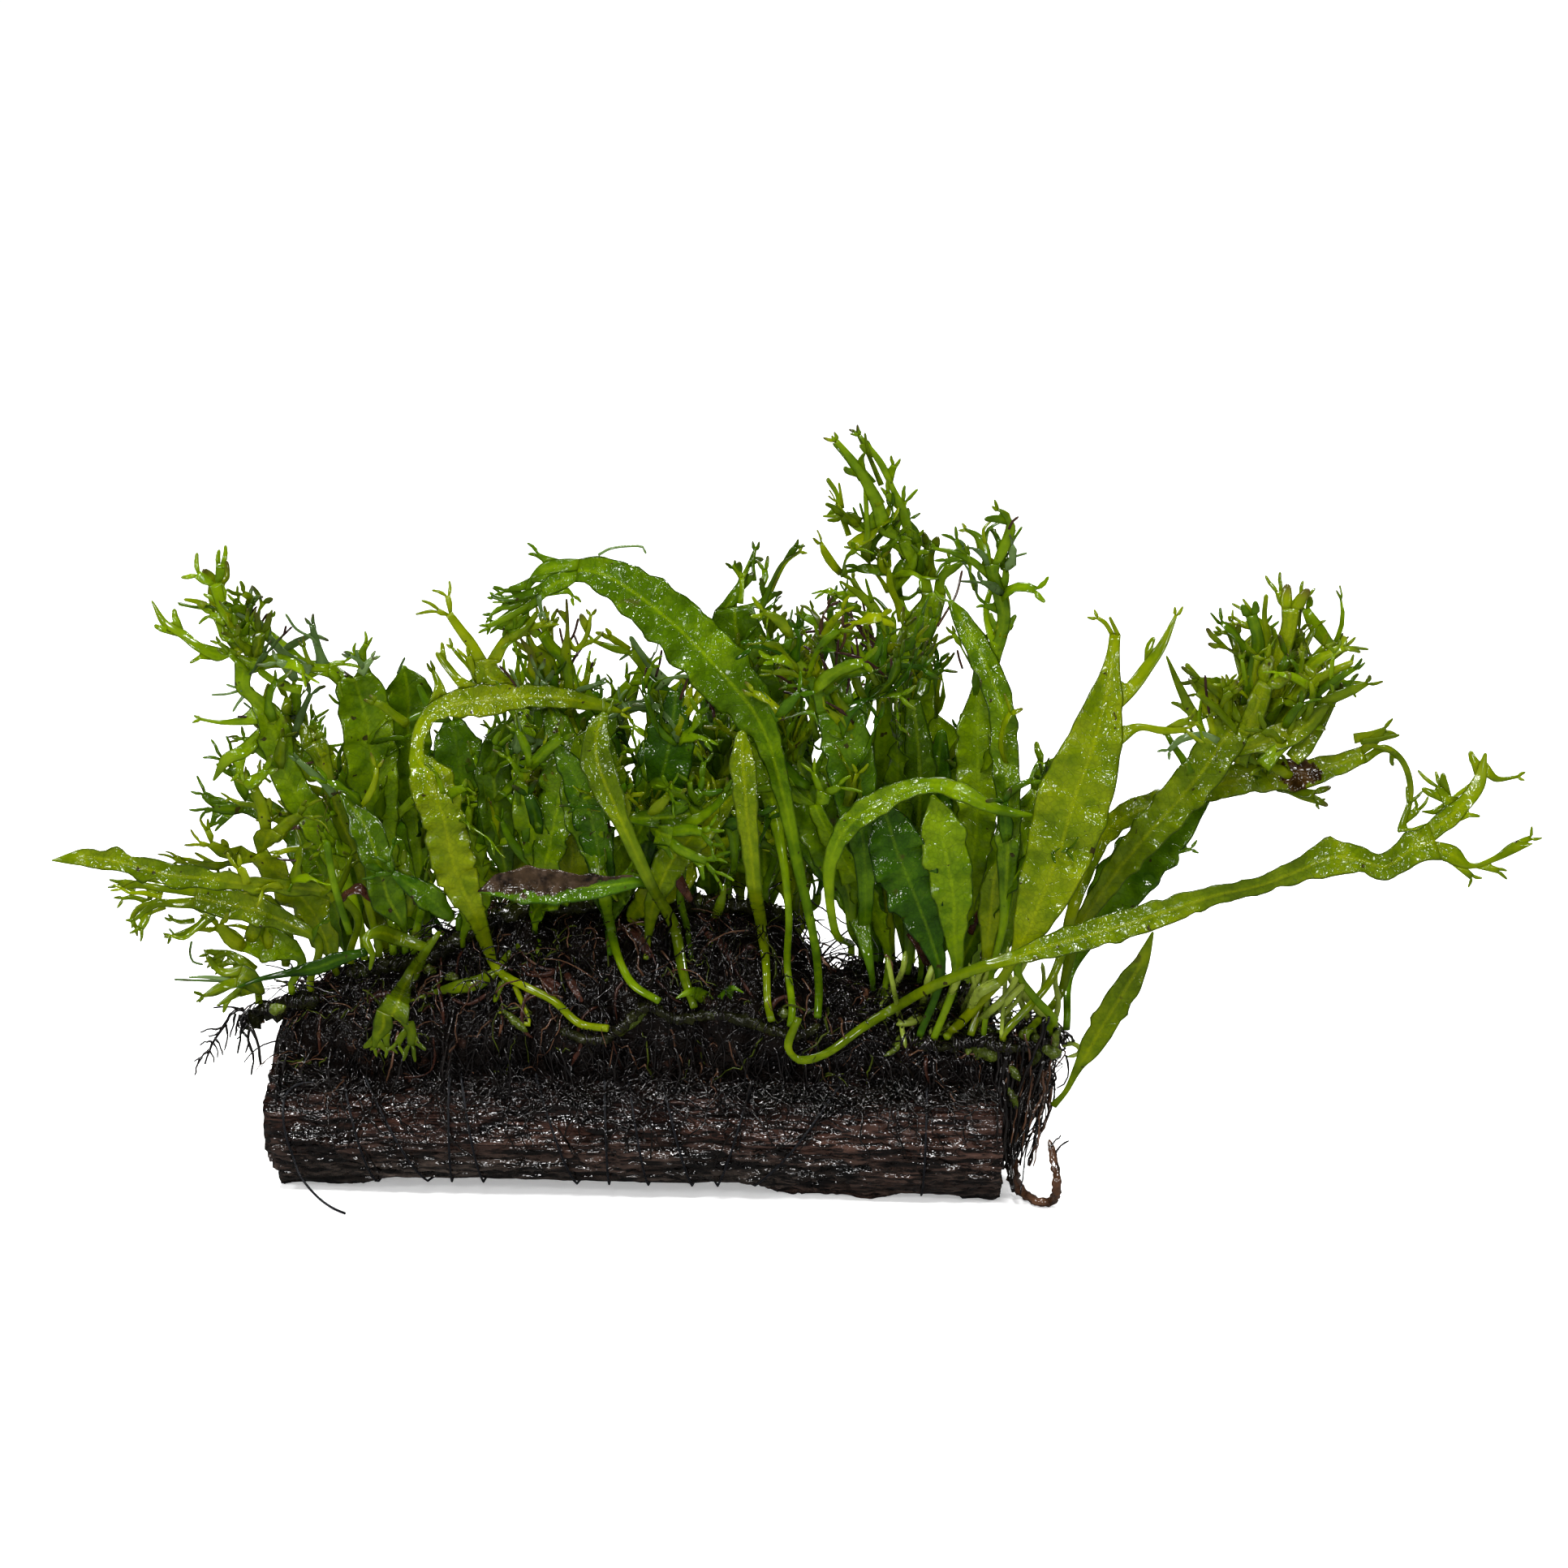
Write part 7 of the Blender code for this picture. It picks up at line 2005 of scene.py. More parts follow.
for nm, mt, specs, rep_nodes in (
        ("hanging_hair_roots", HAIR, [hanging(62, 77, (0.0, 0.30), (0.25, 0.85), 0.8), hanging(74, 78, (0.0, 0.30), (0.06, 0.22), 2.2)], ["end_root_bundle"]),
        ("hanging_brown_roots", HAIR_BROWN, [hanging(34, 79, (0.05, 0.45), (0.30, 0.70), 0.7)], [])):
    vs, fs, n = [], [], 0
    for P, R in specs:
        v, f = hair_tubes(P, R, 5, np.random.default_rng(80))
        vs.append(v)
        fs += [q + n for q in f]
        n += len(v)
    make_piece(nm, np.concatenate(vs), fs, mt, rep_nodes)


# ------------------------------------------------------------ single strands, seen in the photo
def touch(u, v, off):
    # the nearest solid point on or just above this line of sight
    for k in range(24):
        p = hug(SOLID, u, v - 2.0 * k, off)
        if p is not None:
            return p
    return spot(u, v, -16.0)


def strand_path(pts, off=0.35, fine=1.3, key=0.0):
    out = []
    for q in pts:
        u, v = q[0], q[1]
        p = touch(u, v, off) if len(q) == 2 else spot(u, v, q[2])
        out.append(p)
    L = sum((b - a).length for a, b in zip(out, out[1:]))
    path = smooth_path(out, max(6, int(L / fine)))
    for i in range(len(path)):
        path[i] += 0.16 * np.array([wobble(i * 0.8, key, 1.0), wobble(i * 0.8, key, 2.0), wobble(i * 0.8, key, 3.0)])
    path[:, 2] = np.maximum(path[:, 2], 0.3)
    return path


def strands(name, rows, mat, sides=5):
    vs, fs, n = [], [], 0
    for i, (r0, r1, pts) in enumerate(rows):
        path = strand_path(pts, 0.2 + r0, key=i * 1.7)
        R = np.linspace(r0, r1, len(path))[None, :] * (1.0 + 0.15 * np.sin(np.arange(len(path)) * 1.9))[None, :]
        v, f = hair_tubes(path[None], R, sides, np.random.default_rng(500 + i))
        vs.append(v)
        fs += [q + n for q in f]
        n += len(v)
    make_piece(name, np.concatenate(vs), fs, mat)


rows = []
for i in range(78):
    key = 41.0 + 1.37 * i
    a, b, c = rand(key, 1.0), rand(key, 2.0), rand(key, 3.0)
    u0, v0 = 1239.0 + 62.0 * a, 1252.0 + 70.0 * b * b
    u1 = 1238.0 + (u0 - 1238.0) * (0.15 + 0.55 * c)
    v1 = min(1436.0, v0 + 60.0 + 120.0 * rand(key, 4.0))
    y0, y1 = -3.0 - 14.0 * rand(key, 5.0), -5.0 - 11.0 * rand(key, 6.0)
    pts = []
    for k in range(5):
        f = k / 4.0
        pts.append((u0 + (u1 - u0) * f ** 1.3 + 9.0 * math.sin(math.pi * f) * wobble(key, 7.0) + 4.0 * wobble(key, k, 8.0),
                    v0 + (v1 - v0) * f, y0 + (y1 - y0) * f + 1.5 * wobble(key, k, 9.0)))
    thick = 0.20 + 0.26 * rand(key, 10.0)
    rows.append((thick, thick * 0.6, pts))
for i, (u, v0, v1) in enumerate([(1237, 1280, 1350), (1239, 1300, 1372), (1236, 1330, 1400), (1238, 1350, 1430), (1240, 1286, 1330), (1235, 1364, 1440)]):
    rows.append((0.55, 0.42, [(u, v0, -15.5), (u + 2.5, v0 + (v1 - v0) * 0.35, -15.0), (u - 2.0, v0 + (v1 - v0) * 0.7, -15.5), (u + 1.0, v1, -14.5)]))
strands("bundle_strands", [q for i, q in enumerate(rows) if i % 3 or i > 77], HAIR)
strands("bundle_strands_brown", [q for i, q in enumerate(rows) if i % 3 == 0 and i < 78], HAIR_BROWN)
strands("bark_strands", [
    (0.30, 0.18, [(415, 1295), (417, 1328), (420, 1360)]), (0.24, 0.14, [(408, 1290), (404, 1322), (410, 1352)]),
    (0.22, 0.12, [(424, 1300), (428, 1330), (436, 1352)]),
    (0.26, 0.16, [(430, 1330), (445, 1360), (460, 1385), (515, 1433)]), (0.22, 0.16, [(432, 1390), (450, 1418), (467, 1445)]),
    (0.34, 0.20, [(560, 1240), (546, 1310), (548, 1340), (555, 1400), (575, 1420), (590, 1425)]),
    (0.26, 0.14, [(565, 1245), (554, 1312), (543, 1342), (551, 1396), (562, 1412)]),
    (0.26, 0.14, [(592, 1275), (572, 1330), (570, 1370)]), (0.22, 0.14, [(665, 1330), (675, 1375), (690, 1395), (715, 1430)]),
    (0.24, 0.16, [(742, 1340), (746, 1390), (748, 1430)]), (0.24, 0.16, [(770, 1335), (800, 1375), (802, 1430)]),
    (0.26, 0.18, [(820, 1385), (850, 1425), (860, 1437)]), (0.26, 0.18, [(925, 1330), (912, 1385), (895, 1405), (880, 1437)]),
    (0.22, 0.14, [(1075, 1325), (1062, 1338), (1050, 1350)]), (0.24, 0.16, [(1035, 1365), (985, 1400), (912, 1437)]),
    (0.22, 0.14, [(992, 1310), (995, 1345), (1000, 1380)]), (0.24, 0.14, [(1150, 1300), (1151, 1325), (1150, 1350)]),
    (0.22, 0.14, [(1150, 1340), (1142, 1385), (1130, 1430)]), (0.24, 0.12, [(352, 1300), (347, 1340), (350, 1385), (362, 1440)]),
    (0.30, 0.16, [(500, 1285), (492, 1320), (478, 1350)]), (0.26, 0.12, [(622, 1290), (630, 1325), (622, 1360)]),
    (0.26, 0.12, [(690, 1290), (700, 1322), (712, 1352)]), (0.28, 0.12, [(832, 1290), (838, 1320), (830, 1352), (836, 1372)]),
    (0.26, 0.12, [(905, 1285), (918, 1318), (914, 1345)]), (0.26, 0.12, [(1085, 1290), (1098, 1320), (1100, 1345)]),
    (0.24, 0.12, [(1200, 1290), (1196, 1322), (1204, 1350)]), (0.22, 0.12, [(765, 1290), (757, 1322), (762, 1350)]),
    (0.26, 0.12, [(385, 1290), (372, 1318), (378, 1345)]), (0.22, 0.12, [(955, 1290), (962, 1325), (950, 1352)]),
], HAIR)
strands("free_roots", [
    (0.34, 0.16, [(300, 1245, -4), (285, 1240, -4), (263, 1241, -4)]),
    (0.41, 0.22, [(300, 1243, -5), (285, 1248, -5), (278, 1260, -5), (265, 1278, -5), (255, 1300, -5), (252, 1310, -5)]),
    (0.27, 0.14, [(272, 1267, -5), (259, 1268, -5), (246, 1272, -5)]), (0.27, 0.14, [(260, 1283, -5), (253, 1284, -5), (247, 1287, -5)]),
    (0.29, 0.14, [(265, 1278, -5), (271, 1288, -5), (275, 1300, -5)]), (0.29, 0.14, [(279, 1262, -4), (280, 1278, -4), (277, 1294, -4)]),
    (0.31, 0.14, [(290, 1250, -3), (287, 1262, -3), (283, 1278, -3)]), (0.31, 0.14, [(305, 1262, -3), (300, 1270, -3), (292, 1281, -3)]),
    (0.31, 0.14, [(258, 1293, -5), (250, 1300, -5), (240, 1308, -5)]), (0.31, 0.14, [(248, 1303, -5), (243, 1312, -5), (240, 1325, -5)]),
    (0.44, 0.26, [(308, 1262, -7), (315, 1275, -7), (319, 1292, -7), (321, 1312, -7)]),
    (0.41, 0.19, [(312, 1255, 2), (306, 1280, 2), (312, 1300, 2), (309, 1325, 2)]),
    (0.20, 0.12, [(985, 1098, -8), (995, 1105, -8), (1010, 1118, -8), (1045, 1140, -8), (1062, 1160, -8)]),
    (0.20, 0.12, [(995, 1160, -6), (1010, 1163, -6), (1035, 1155, -6)]), (0.22, 0.12, [(1005, 1195, -6), (1017, 1185, -6), (1030, 1175, -6), (1055, 1178, -6), (1075, 1190, -6)]),
    (0.22, 0.12, [(1060, 1185, -4), (1075, 1175, -4), (1105, 1180, -4), (1122, 1196, -4)]),
    (0.18, 0.10, [(1000, 1130, 2), (1025, 1150, 2), (1048, 1182, 2)]), (0.18, 0.10, [(1010, 1180, 2), (1040, 1168, 2), (1078, 1160, 2)]),
    (0.20, 0.12, [(590, 1118, -10), (560, 1124, -12), (540, 1146, -14)]), (0.18, 0.10, [(760, 1110, -8), (700, 1098, -8), (650, 1106, -8)]),
    (0.20, 0.12, [(1233, 1365, -8), (1237, 1395, -8), (1236, 1425, -8)]), (0.20, 0.12, [(1247, 1370, -8), (1244, 1390, -8), (1246, 1402, -8)]),
    (0.22, 0.14, [(1292, 1325, -8), (1287, 1360, -8), (1280, 1402, -8)]), (0.24, 0.14, [(1268, 1400, -9), (1262, 1435, -12), (1257, 1470, -16)]),
    (0.26, 0.14, [(1255, 1400, -9), (1246, 1430, -11), (1249, 1468, -15)]),
    (0.30, 0.16, [(1296, 1425, -13.4), (1303, 1416, -13), (1308, 1410, -12.6), (1317, 1406, -12)]),
    (0.26, 0.14, [(1293, 1415, -13), (1299, 1407, -12.8), (1307, 1398, -12.4)]),
    (0.34, 0.20, [(303, 1255, -2), (296, 1268, -2), (297, 1280, -2), (292, 1298, -2)]), (0.30, 0.18, [(296, 1250, -4), (292, 1262, -4), (290, 1276, -4)]),
    (0.30, 0.16, [(300, 1272, -3), (306, 1282, -3), (303, 1296, -3)]), (0.26, 0.14, [(270, 1272, -5), (262, 1276, -5), (256, 1276, -5)]),
    (0.26, 0.14, [(256, 1292, -5), (262, 1300, -5), (264, 1310, -5)]), (0.24, 0.13, [(262, 1283, -5), (268, 1294, -5), (268, 1304, -5)]),
    (0.26, 0.14, [(1313, 1300, -9), (1317, 1318, -9), (1313, 1334, -9), (1302, 1341, -9)]),
    (0.34, 0.20, [(1238, 1284, -13), (1234, 1316, -14), (1238, 1350, -14), (1235, 1384, -14)]), (0.30, 0.18, [(1242, 1290, -12), (1240, 1330, -13), (1236, 1366, -14), (1239, 1410, -13)]),
    (0.28, 0.16, [(1233, 1292, -15), (1236, 1326, -15), (1232, 1352, -16), (1236, 1376, -16)]), (0.36, 0.20, [(1246, 1300, -11), (1243, 1346, -12), (1246, 1392, -12), (1241, 1430, -11)]),
    (0.26, 0.16, [(1236, 1310, -15), (1231, 1340, -16), (1235, 1372, -15), (1232, 1404, -14)]), (0.30, 0.16, [(1239, 1330, -12), (1243, 1360, -12), (1238, 1396, -12), (1242, 1432, -11)]),
    (0.30, 0.18, [(1228, 1288, -18), (1231, 1312, -18), (1227, 1336, -18)]), (0.30, 0.18, [(1237, 1340, -14), (1234, 1368, -14), (1240, 1398, -13), (1236, 1426, -12)]),
    (0.55, 0.40, [(1241, 1424, -10), (1244, 1448, -12.5), (1248, 1468, -15)]),
], HAIR)
strands("brown_stalks", [
    (0.30, 0.18, [(490, 1270), (483, 1310), (475, 1335)]), (0.26, 0.16, [(770, 1205), (773, 1228), (772, 1252)]),
    (0.34, 0.20, [(893, 1190), (898, 1205), (900, 1224)]), (0.30, 0.20, [(1090, 1176), (1098, 1186), (1100, 1200)]),
    (0.34, 0.22, [(655, 1195), (672, 1210), (690, 1232)]), (0.26, 0.18, [(815, 1170), (830, 1192), (828, 1215)]),
    (0.30, 0.20, [(1012, 1180), (1020, 1190), (1024, 1205)]),
], HAIR_BROWN)


# ------------------------------------------------------------ dead scraps and stem nodules in the mat
def scrap(heap, rows, key, depth=0):
    rec = rec_of(Sheet(), None, rows, (), key)
    prm = frond_prm("scrap%d" % int(key * 11), "dead", 20.0, 2.0, False)
    prm["step"], prm["slim"], prm["ruffle"] = 1.3, True, 1.8
    if depth:
        fork(rec, key, depth, rows[-1][1] * 1.2, 0.5)
    ribbon(heap, rec, None, 0.0, prm, 0)


def placed_rows(path):
    rows = []
    for (u, v, y, w, roll) in path:
        p = hug(SOLID, u, v, 0.9) if y is None else None
        if p is None:
            p = spot(u, v, -14.0 if y is None else y)
        rows.append((p, w * unit_at(p), roll))
    return rows


dead = Heap()
for i, (depth, path) in enumerate([
    (0, [(418, 1112, -18, 4, 20), (430, 1100, -19, 10, 60), (444, 1096, -19, 9, 40), (458, 1108, -18, 4, 0)]),
    (0, [(722, 1040, -15, 4, 0), (728, 1024, -16, 9, 70), (738, 1012, -16, 8, 40), (750, 1020, -15, 5, -30), (746, 1036, -14, 3, 0)]),
    (0, [(698, 1200, None, 4, 0), (706, 1214, None, 6, 20), (716, 1232, None, 3, 0)]),
    (0, [(646, 1188, None, 4, 10), (664, 1198, None, 8, 40), (684, 1222, None, 5, 10)]),
    (0, [(812, 1054, -15, 4, 0), (824, 1066, -16, 9, 50), (836, 1084, -16, 8, 30), (850, 1108, -14, 4, 0)]),
    (0, [(668, 1206, None, 3, 0), (678, 1208, None, 5, 40), (688, 1214, None, 3, 0)]),
    (0, [(870, 1150, None, 4, 0), (888, 1162, None, 7, 40), (902, 1182, None, 4, 0)]),
    (0, [(760, 1140, None, 4, 0), (782, 1152, None, 7, 30), (800, 1176, None, 5, 0)]),
    (0, [(1120, 1150, -8, 4, 0), (1133, 1166, -9, 8, 50), (1142, 1186, -9, 5, 10)]),
    (0, [(1196, 1150, -12, 4, 0), (1204, 1130, -13, 7, 50), (1218, 1112, -13, 4, 10)]),
    (0, [(1220, 1196, -10, 4, 0), (1212, 1178, -11, 6, 50), (1218, 1160, -11, 3, 10)]),
    (0, [(455, 1232, None, 4, 0), (470, 1224, None, 5, 30), (488, 1226, None, 3, 0)]),
]):
    scrap(dead, placed_rows(path), 61.0 + i * 1.3, depth)
rng = np.random.default_rng(911)
for i in range(64):
    x, a = rng.uniform(-98.0, 40.0), rng.uniform(44.0, 118.0)
    th, L = rng.uniform(0, 6.28), rng.uniform(2.5, 9.0)
    roll = rng.uniform(-80, 80)
    wid = rng.uniform(0.22, 0.60)
    turn = rng.normal(0, 0.8)
    rows = []
    for k in range(5):
        f = k / 4.0
        th2 = th + turn * f
        rows.append((surf_point(x + L * f * math.cos(th2), a + math.degrees(L * f * math.sin(th2) / 24.0), 0.4 + 1.4 * math.sin(math.pi * f) * rng.uniform(0.3, 1.0)),
                     (0.7, 1.1, 0.8, 1.0, 0.5)[k] * wid * rng.uniform(0.6, 1.3), roll + rng.uniform(-50, 50)))
    scrap(dead, rows, 90.0 + i * 0.77)
dead.done("dead_scraps", DEAD, "roots")

nod = []
for (pts, rads) in [([(503, 1192), (513, 1182), (526, 1176)], (0.8, 1.5, 1.0)), ([(522, 1198), (529, 1195), (538, 1198)], (0.7, 1.2, 0.7)),
                    ([(548, 1206), (556, 1203), (565, 1206)], (0.6, 1.1, 0.6)), ([(332, 1246), (342, 1243), (352, 1240)], (1.3, 1.2, 0.6)),
                    ([(958, 1250), (966, 1248), (974, 1247)], (0.7, 1.2, 0.8)), ([(616, 1242), (632, 1256), (650, 1272)], (0.4, 0.9, 0.5)),
                    ([(1150, 1292), (1172, 1284), (1196, 1276)], (0.7, 1.1, 0.6)), ([(1206, 1262), (1222, 1272), (1240, 1280)], (0.7, 1.1, 0.6)),
                    ([(745, 1277), (768, 1268), (786, 1254), (801, 1240)], (0.8, 1.1, 1.0, 0.7)),
                    ([(1185, 1284), (1207, 1292), (1231, 1303)], (1.3, 1.9, 1.4)), ([(1243, 1340), (1248, 1352), (1253, 1366)], (0.5, 0.9, 0.5)),
                    ([(1244, 1312), (1250, 1322), (1256, 1332)], (0.5, 0.9, 0.5)), ([(1285, 1290), (1296, 1297), (1308, 1296)], (0.9, 1.3, 0.9))]:
    q = [hug(SOLID, u, v, 1.2) or spot(u, v, -16.0) for u, v in pts]
    nod.append(fine_tube(q, list(rads), 0.5, 10, 0.4, len(nod) * 1.9))
vs, fs, n = [], [], 0
for v, f in nod:
    vs.append(v)
    fs += [q + n for q in f]
    n += len(v)
for i in range(11):
    key = 61.0 + 1.9 * i
    u, v = 1106.0 + 205.0 * rand(key, 1.0), 1262.0 + 36.0 * rand(key, 2.0)
    a = 1.9 * wobble(key, 3.0)
    ln = 7.0 + 12.0 * rand(key, 4.0)
    q = [hug(SOLID, uu, vv, 1.5) or spot(uu, vv, -13.0 - 4.0 * rand(key, 5.0))
         for uu, vv in ((u, v), (u + ln * math.cos(a), v + ln * math.sin(a)), (u + 1.9 * ln * math.cos(a + 0.4), v + 1.9 * ln * math.sin(a + 0.4)))]
    r = 0.6 + 0.6 * rand(key, 6.0)
    v2, f2 = fine_tube(q, [r * 0.7, r, r * 0.5], 0.8, 8, 0.4, i * 2.9)
    vs.append(v2)
    fs += [k2 + n for k2 in f2]
    n += len(v2)
make_piece("stem_nodules", np.concatenate(vs), fs, OLIVE)

loop = [spot(1247, 1428, -7.0), spot(1249, 1448, -11.0), spot_z(1255, 1466, 1.6), spot_z(1270, 1477, 1.1),
        spot_z(1285, 1484, 1.0), spot_z(1297, 1480, 1.2), spot(1302, 1466, -17.5), spot(1301, 1445, -15.5),
        spot(1297, 1424, -13.5), spot(1293, 1404, -12.0)]
loop = spline(loop, 14)
for p in loop:
    p.z = max(p.z, 1.25)
V, Fc = fine_tube(loop, [1.25, 1.3, 1.2, 1.0, 0.95, 0.9, 0.9, 0.95, 0.9, 0.85, 0.85, 0.8, 0.7, 0.5], 0.5, 14, 0.6, 3.0)
V = np.asarray(V, float)
V[:, 2] = np.maximum(V[:, 2], -float(SH[2]))
make_piece("bent_root", V, Fc, HAIR_BROWN, ["hanging_root_loop"])

# ------------------------------------------------------------ fronds
def solve_layout():
    placed = [bvh(v, f) for v, f in PARTS.values()]
    placed.append(bvh(*tube(spline(tail_route(SOLID), 40), [0.3] * 40, 6)))
    tries = []
    for k in range(0, 81):
        step = 0.5 * ((k + 1) // 2)
        for slide in (0.0, 0.02, -0.02, 0.045, -0.045, 0.08, -0.08, 0.12, -0.12):
            for lift in (0.0, 0.9, 2.0, 3.5):
                tries.append((step + 60.0 * abs(slide) + 1.6 * lift, -step if k % 2 else step, slide, lift))
    tries.sort(key=lambda q: q[0])
    out = {}
    for frond in FRONDS:
        best = None
        for cost, push, slide, lift in tries:
            sh = frond_sheet(frond, push, slide, lift, SOLID)
            tree = bvh(*thicken(sh, GAP))
            hits = sum(len(tree.overlap(o)) for o in placed)
            if best is None or hits < best[0]:
                best = (hits, push, slide, lift, sh)
            if hits == 0:
                break
        placed.append(bvh(*thicken(best[4], 0.0)))
        out[frond[0]] = best[1:4]
    return out


LAYOUT = solve_layout()
NO_CREST = {"frond_front_narrow", "frond_withered", "frond_centre_flat", "frond_lower_right", "frond_front_crossing",
            "frond_stalk_left_of_middle", "frond_right_pointed", "frond_spotted_left", "frond_left_round",
            "frond_left_lower_a", "frond_spotted_right", "frond_right_mottled", "frond_left_low_broad", "frond_left_long"}
ANCHORS = []
CLEAN = []
SLENDER = {"frond_tallest": 0.74, "frond_right_cluster": 1.08, "frond_centre_fan": 0.62, "frond_behind_arch": 0.72, "frond_pale_crest": 0.75,
           "frond_right_ribbon": 0.86, "frond_left_low_crested": 0.85}


def slim_down(rec, k, level=0):
    # the branches, not the blade itself
    if level:
        rec["w"] = [w * k for w in rec["w"]]
    for e in rec["ends"]:
        slim_down(e[1], k, level + 1)
    for e in rec["lobes"]:
        slim_down(e[2], k, level + 1)



def walk(rec):
    for p in rec["pts"]:
        ANCHORS.append((*project(p), p.y))
    for e in rec["ends"]:
        walk(e[1])
    for e in rec["lobes"]:
        walk(e[2])


for frond in FRONDS:
    name, slot = frond[0], frond[1]
    push, slide, lift = LAYOUT[name]
    rows = frond_rows(frond, push, slide, lift, SOLID)
    rec = rec_of(Sheet(), None, rows, frond[4], 1.7 * len(name) + 0.9 * len(frond[3]))
    total = sum((b[0] - a[0]).length for a, b in zip(rows, rows[1:])) + 10.0
    prm = frond_prm(name, slot, total, max(r[1] for r in rows), name not in NO_CREST)
    slim_down(rec, SLENDER.get(name, 1.0))
    if name == "frond_right_ribbon":
        rec["w"] = [w * 0.76 for w in rec["w"]]
    prm["tipdark"] = {"frond_purple_tips": 0.9, "frond_centre_fan": 0.7, "frond_tallest": 0.35, "frond_behind_arch": 0.5, "frond_pale_crest": 0.3,
                      "frond_grey_crest": 0.5, "frond_left_tall": 0.25}.get(name, 0.08)
    if name == "frond_right_cluster":
        prm["tone"], prm["spurs"] = 0.50, 0.12
    if name == "frond_left_long":
        prm["frill"], prm["lam"] = 3.4, 8.4
    if name == "frond_front_yellow":
        prm["ruffle"], prm["lam"] = 1.5, 4.6
    if name == "frond_front_right_broad":
        prm["frill"], prm["ruffle"], prm["lam"] = 0.35, 0.55, 9.0
    lace(rec, 0, 3.3 * prm["ph"] + len(name), prm)
    heap = Heap()
    ribbon(heap, rec, None, 0.0, prm, 0)
    had = len(ANCHORS)
    walk(rec)
    if name in ("frond_front_narrow", "frond_front_arching", "frond_front_yellow", "frond_right_long", "frond_front_right_broad", "frond_front_crossing",
                "frond_withered", "frond_stalk_middle", "frond_thin_middle_stalk", "frond_stalk_left_of_middle", "frond_spotted_left", "frond_spotted_right"):
        CLEAN.extend(ANCHORS[had:])
    skin = LEAF[slot]
    if name == "frond_withered":
        skin = WITHERED
    if name == "frond_right_middle":
        at = min((p for p in rec["pts"]), key=lambda p: abs(project(p)[0] - 1592.0))
        skin = leaf_mat("leaf_with_dead_patch", *TONES["leaf_bright"],
                        blotch=(tuple(float(c) for c in put(at)), 0.0032))
    if name == "frond_front_arching":
        skin = leaf_mat("leaf_less_wet", *TONES[slot], spec=0.15)
    if name == "frond_right_long":
        skin = leaf_mat("leaf_very_wet", *TONES[slot], spec=0.30)
    heap.done("leaf_" + name[6:], skin, slot, [name])

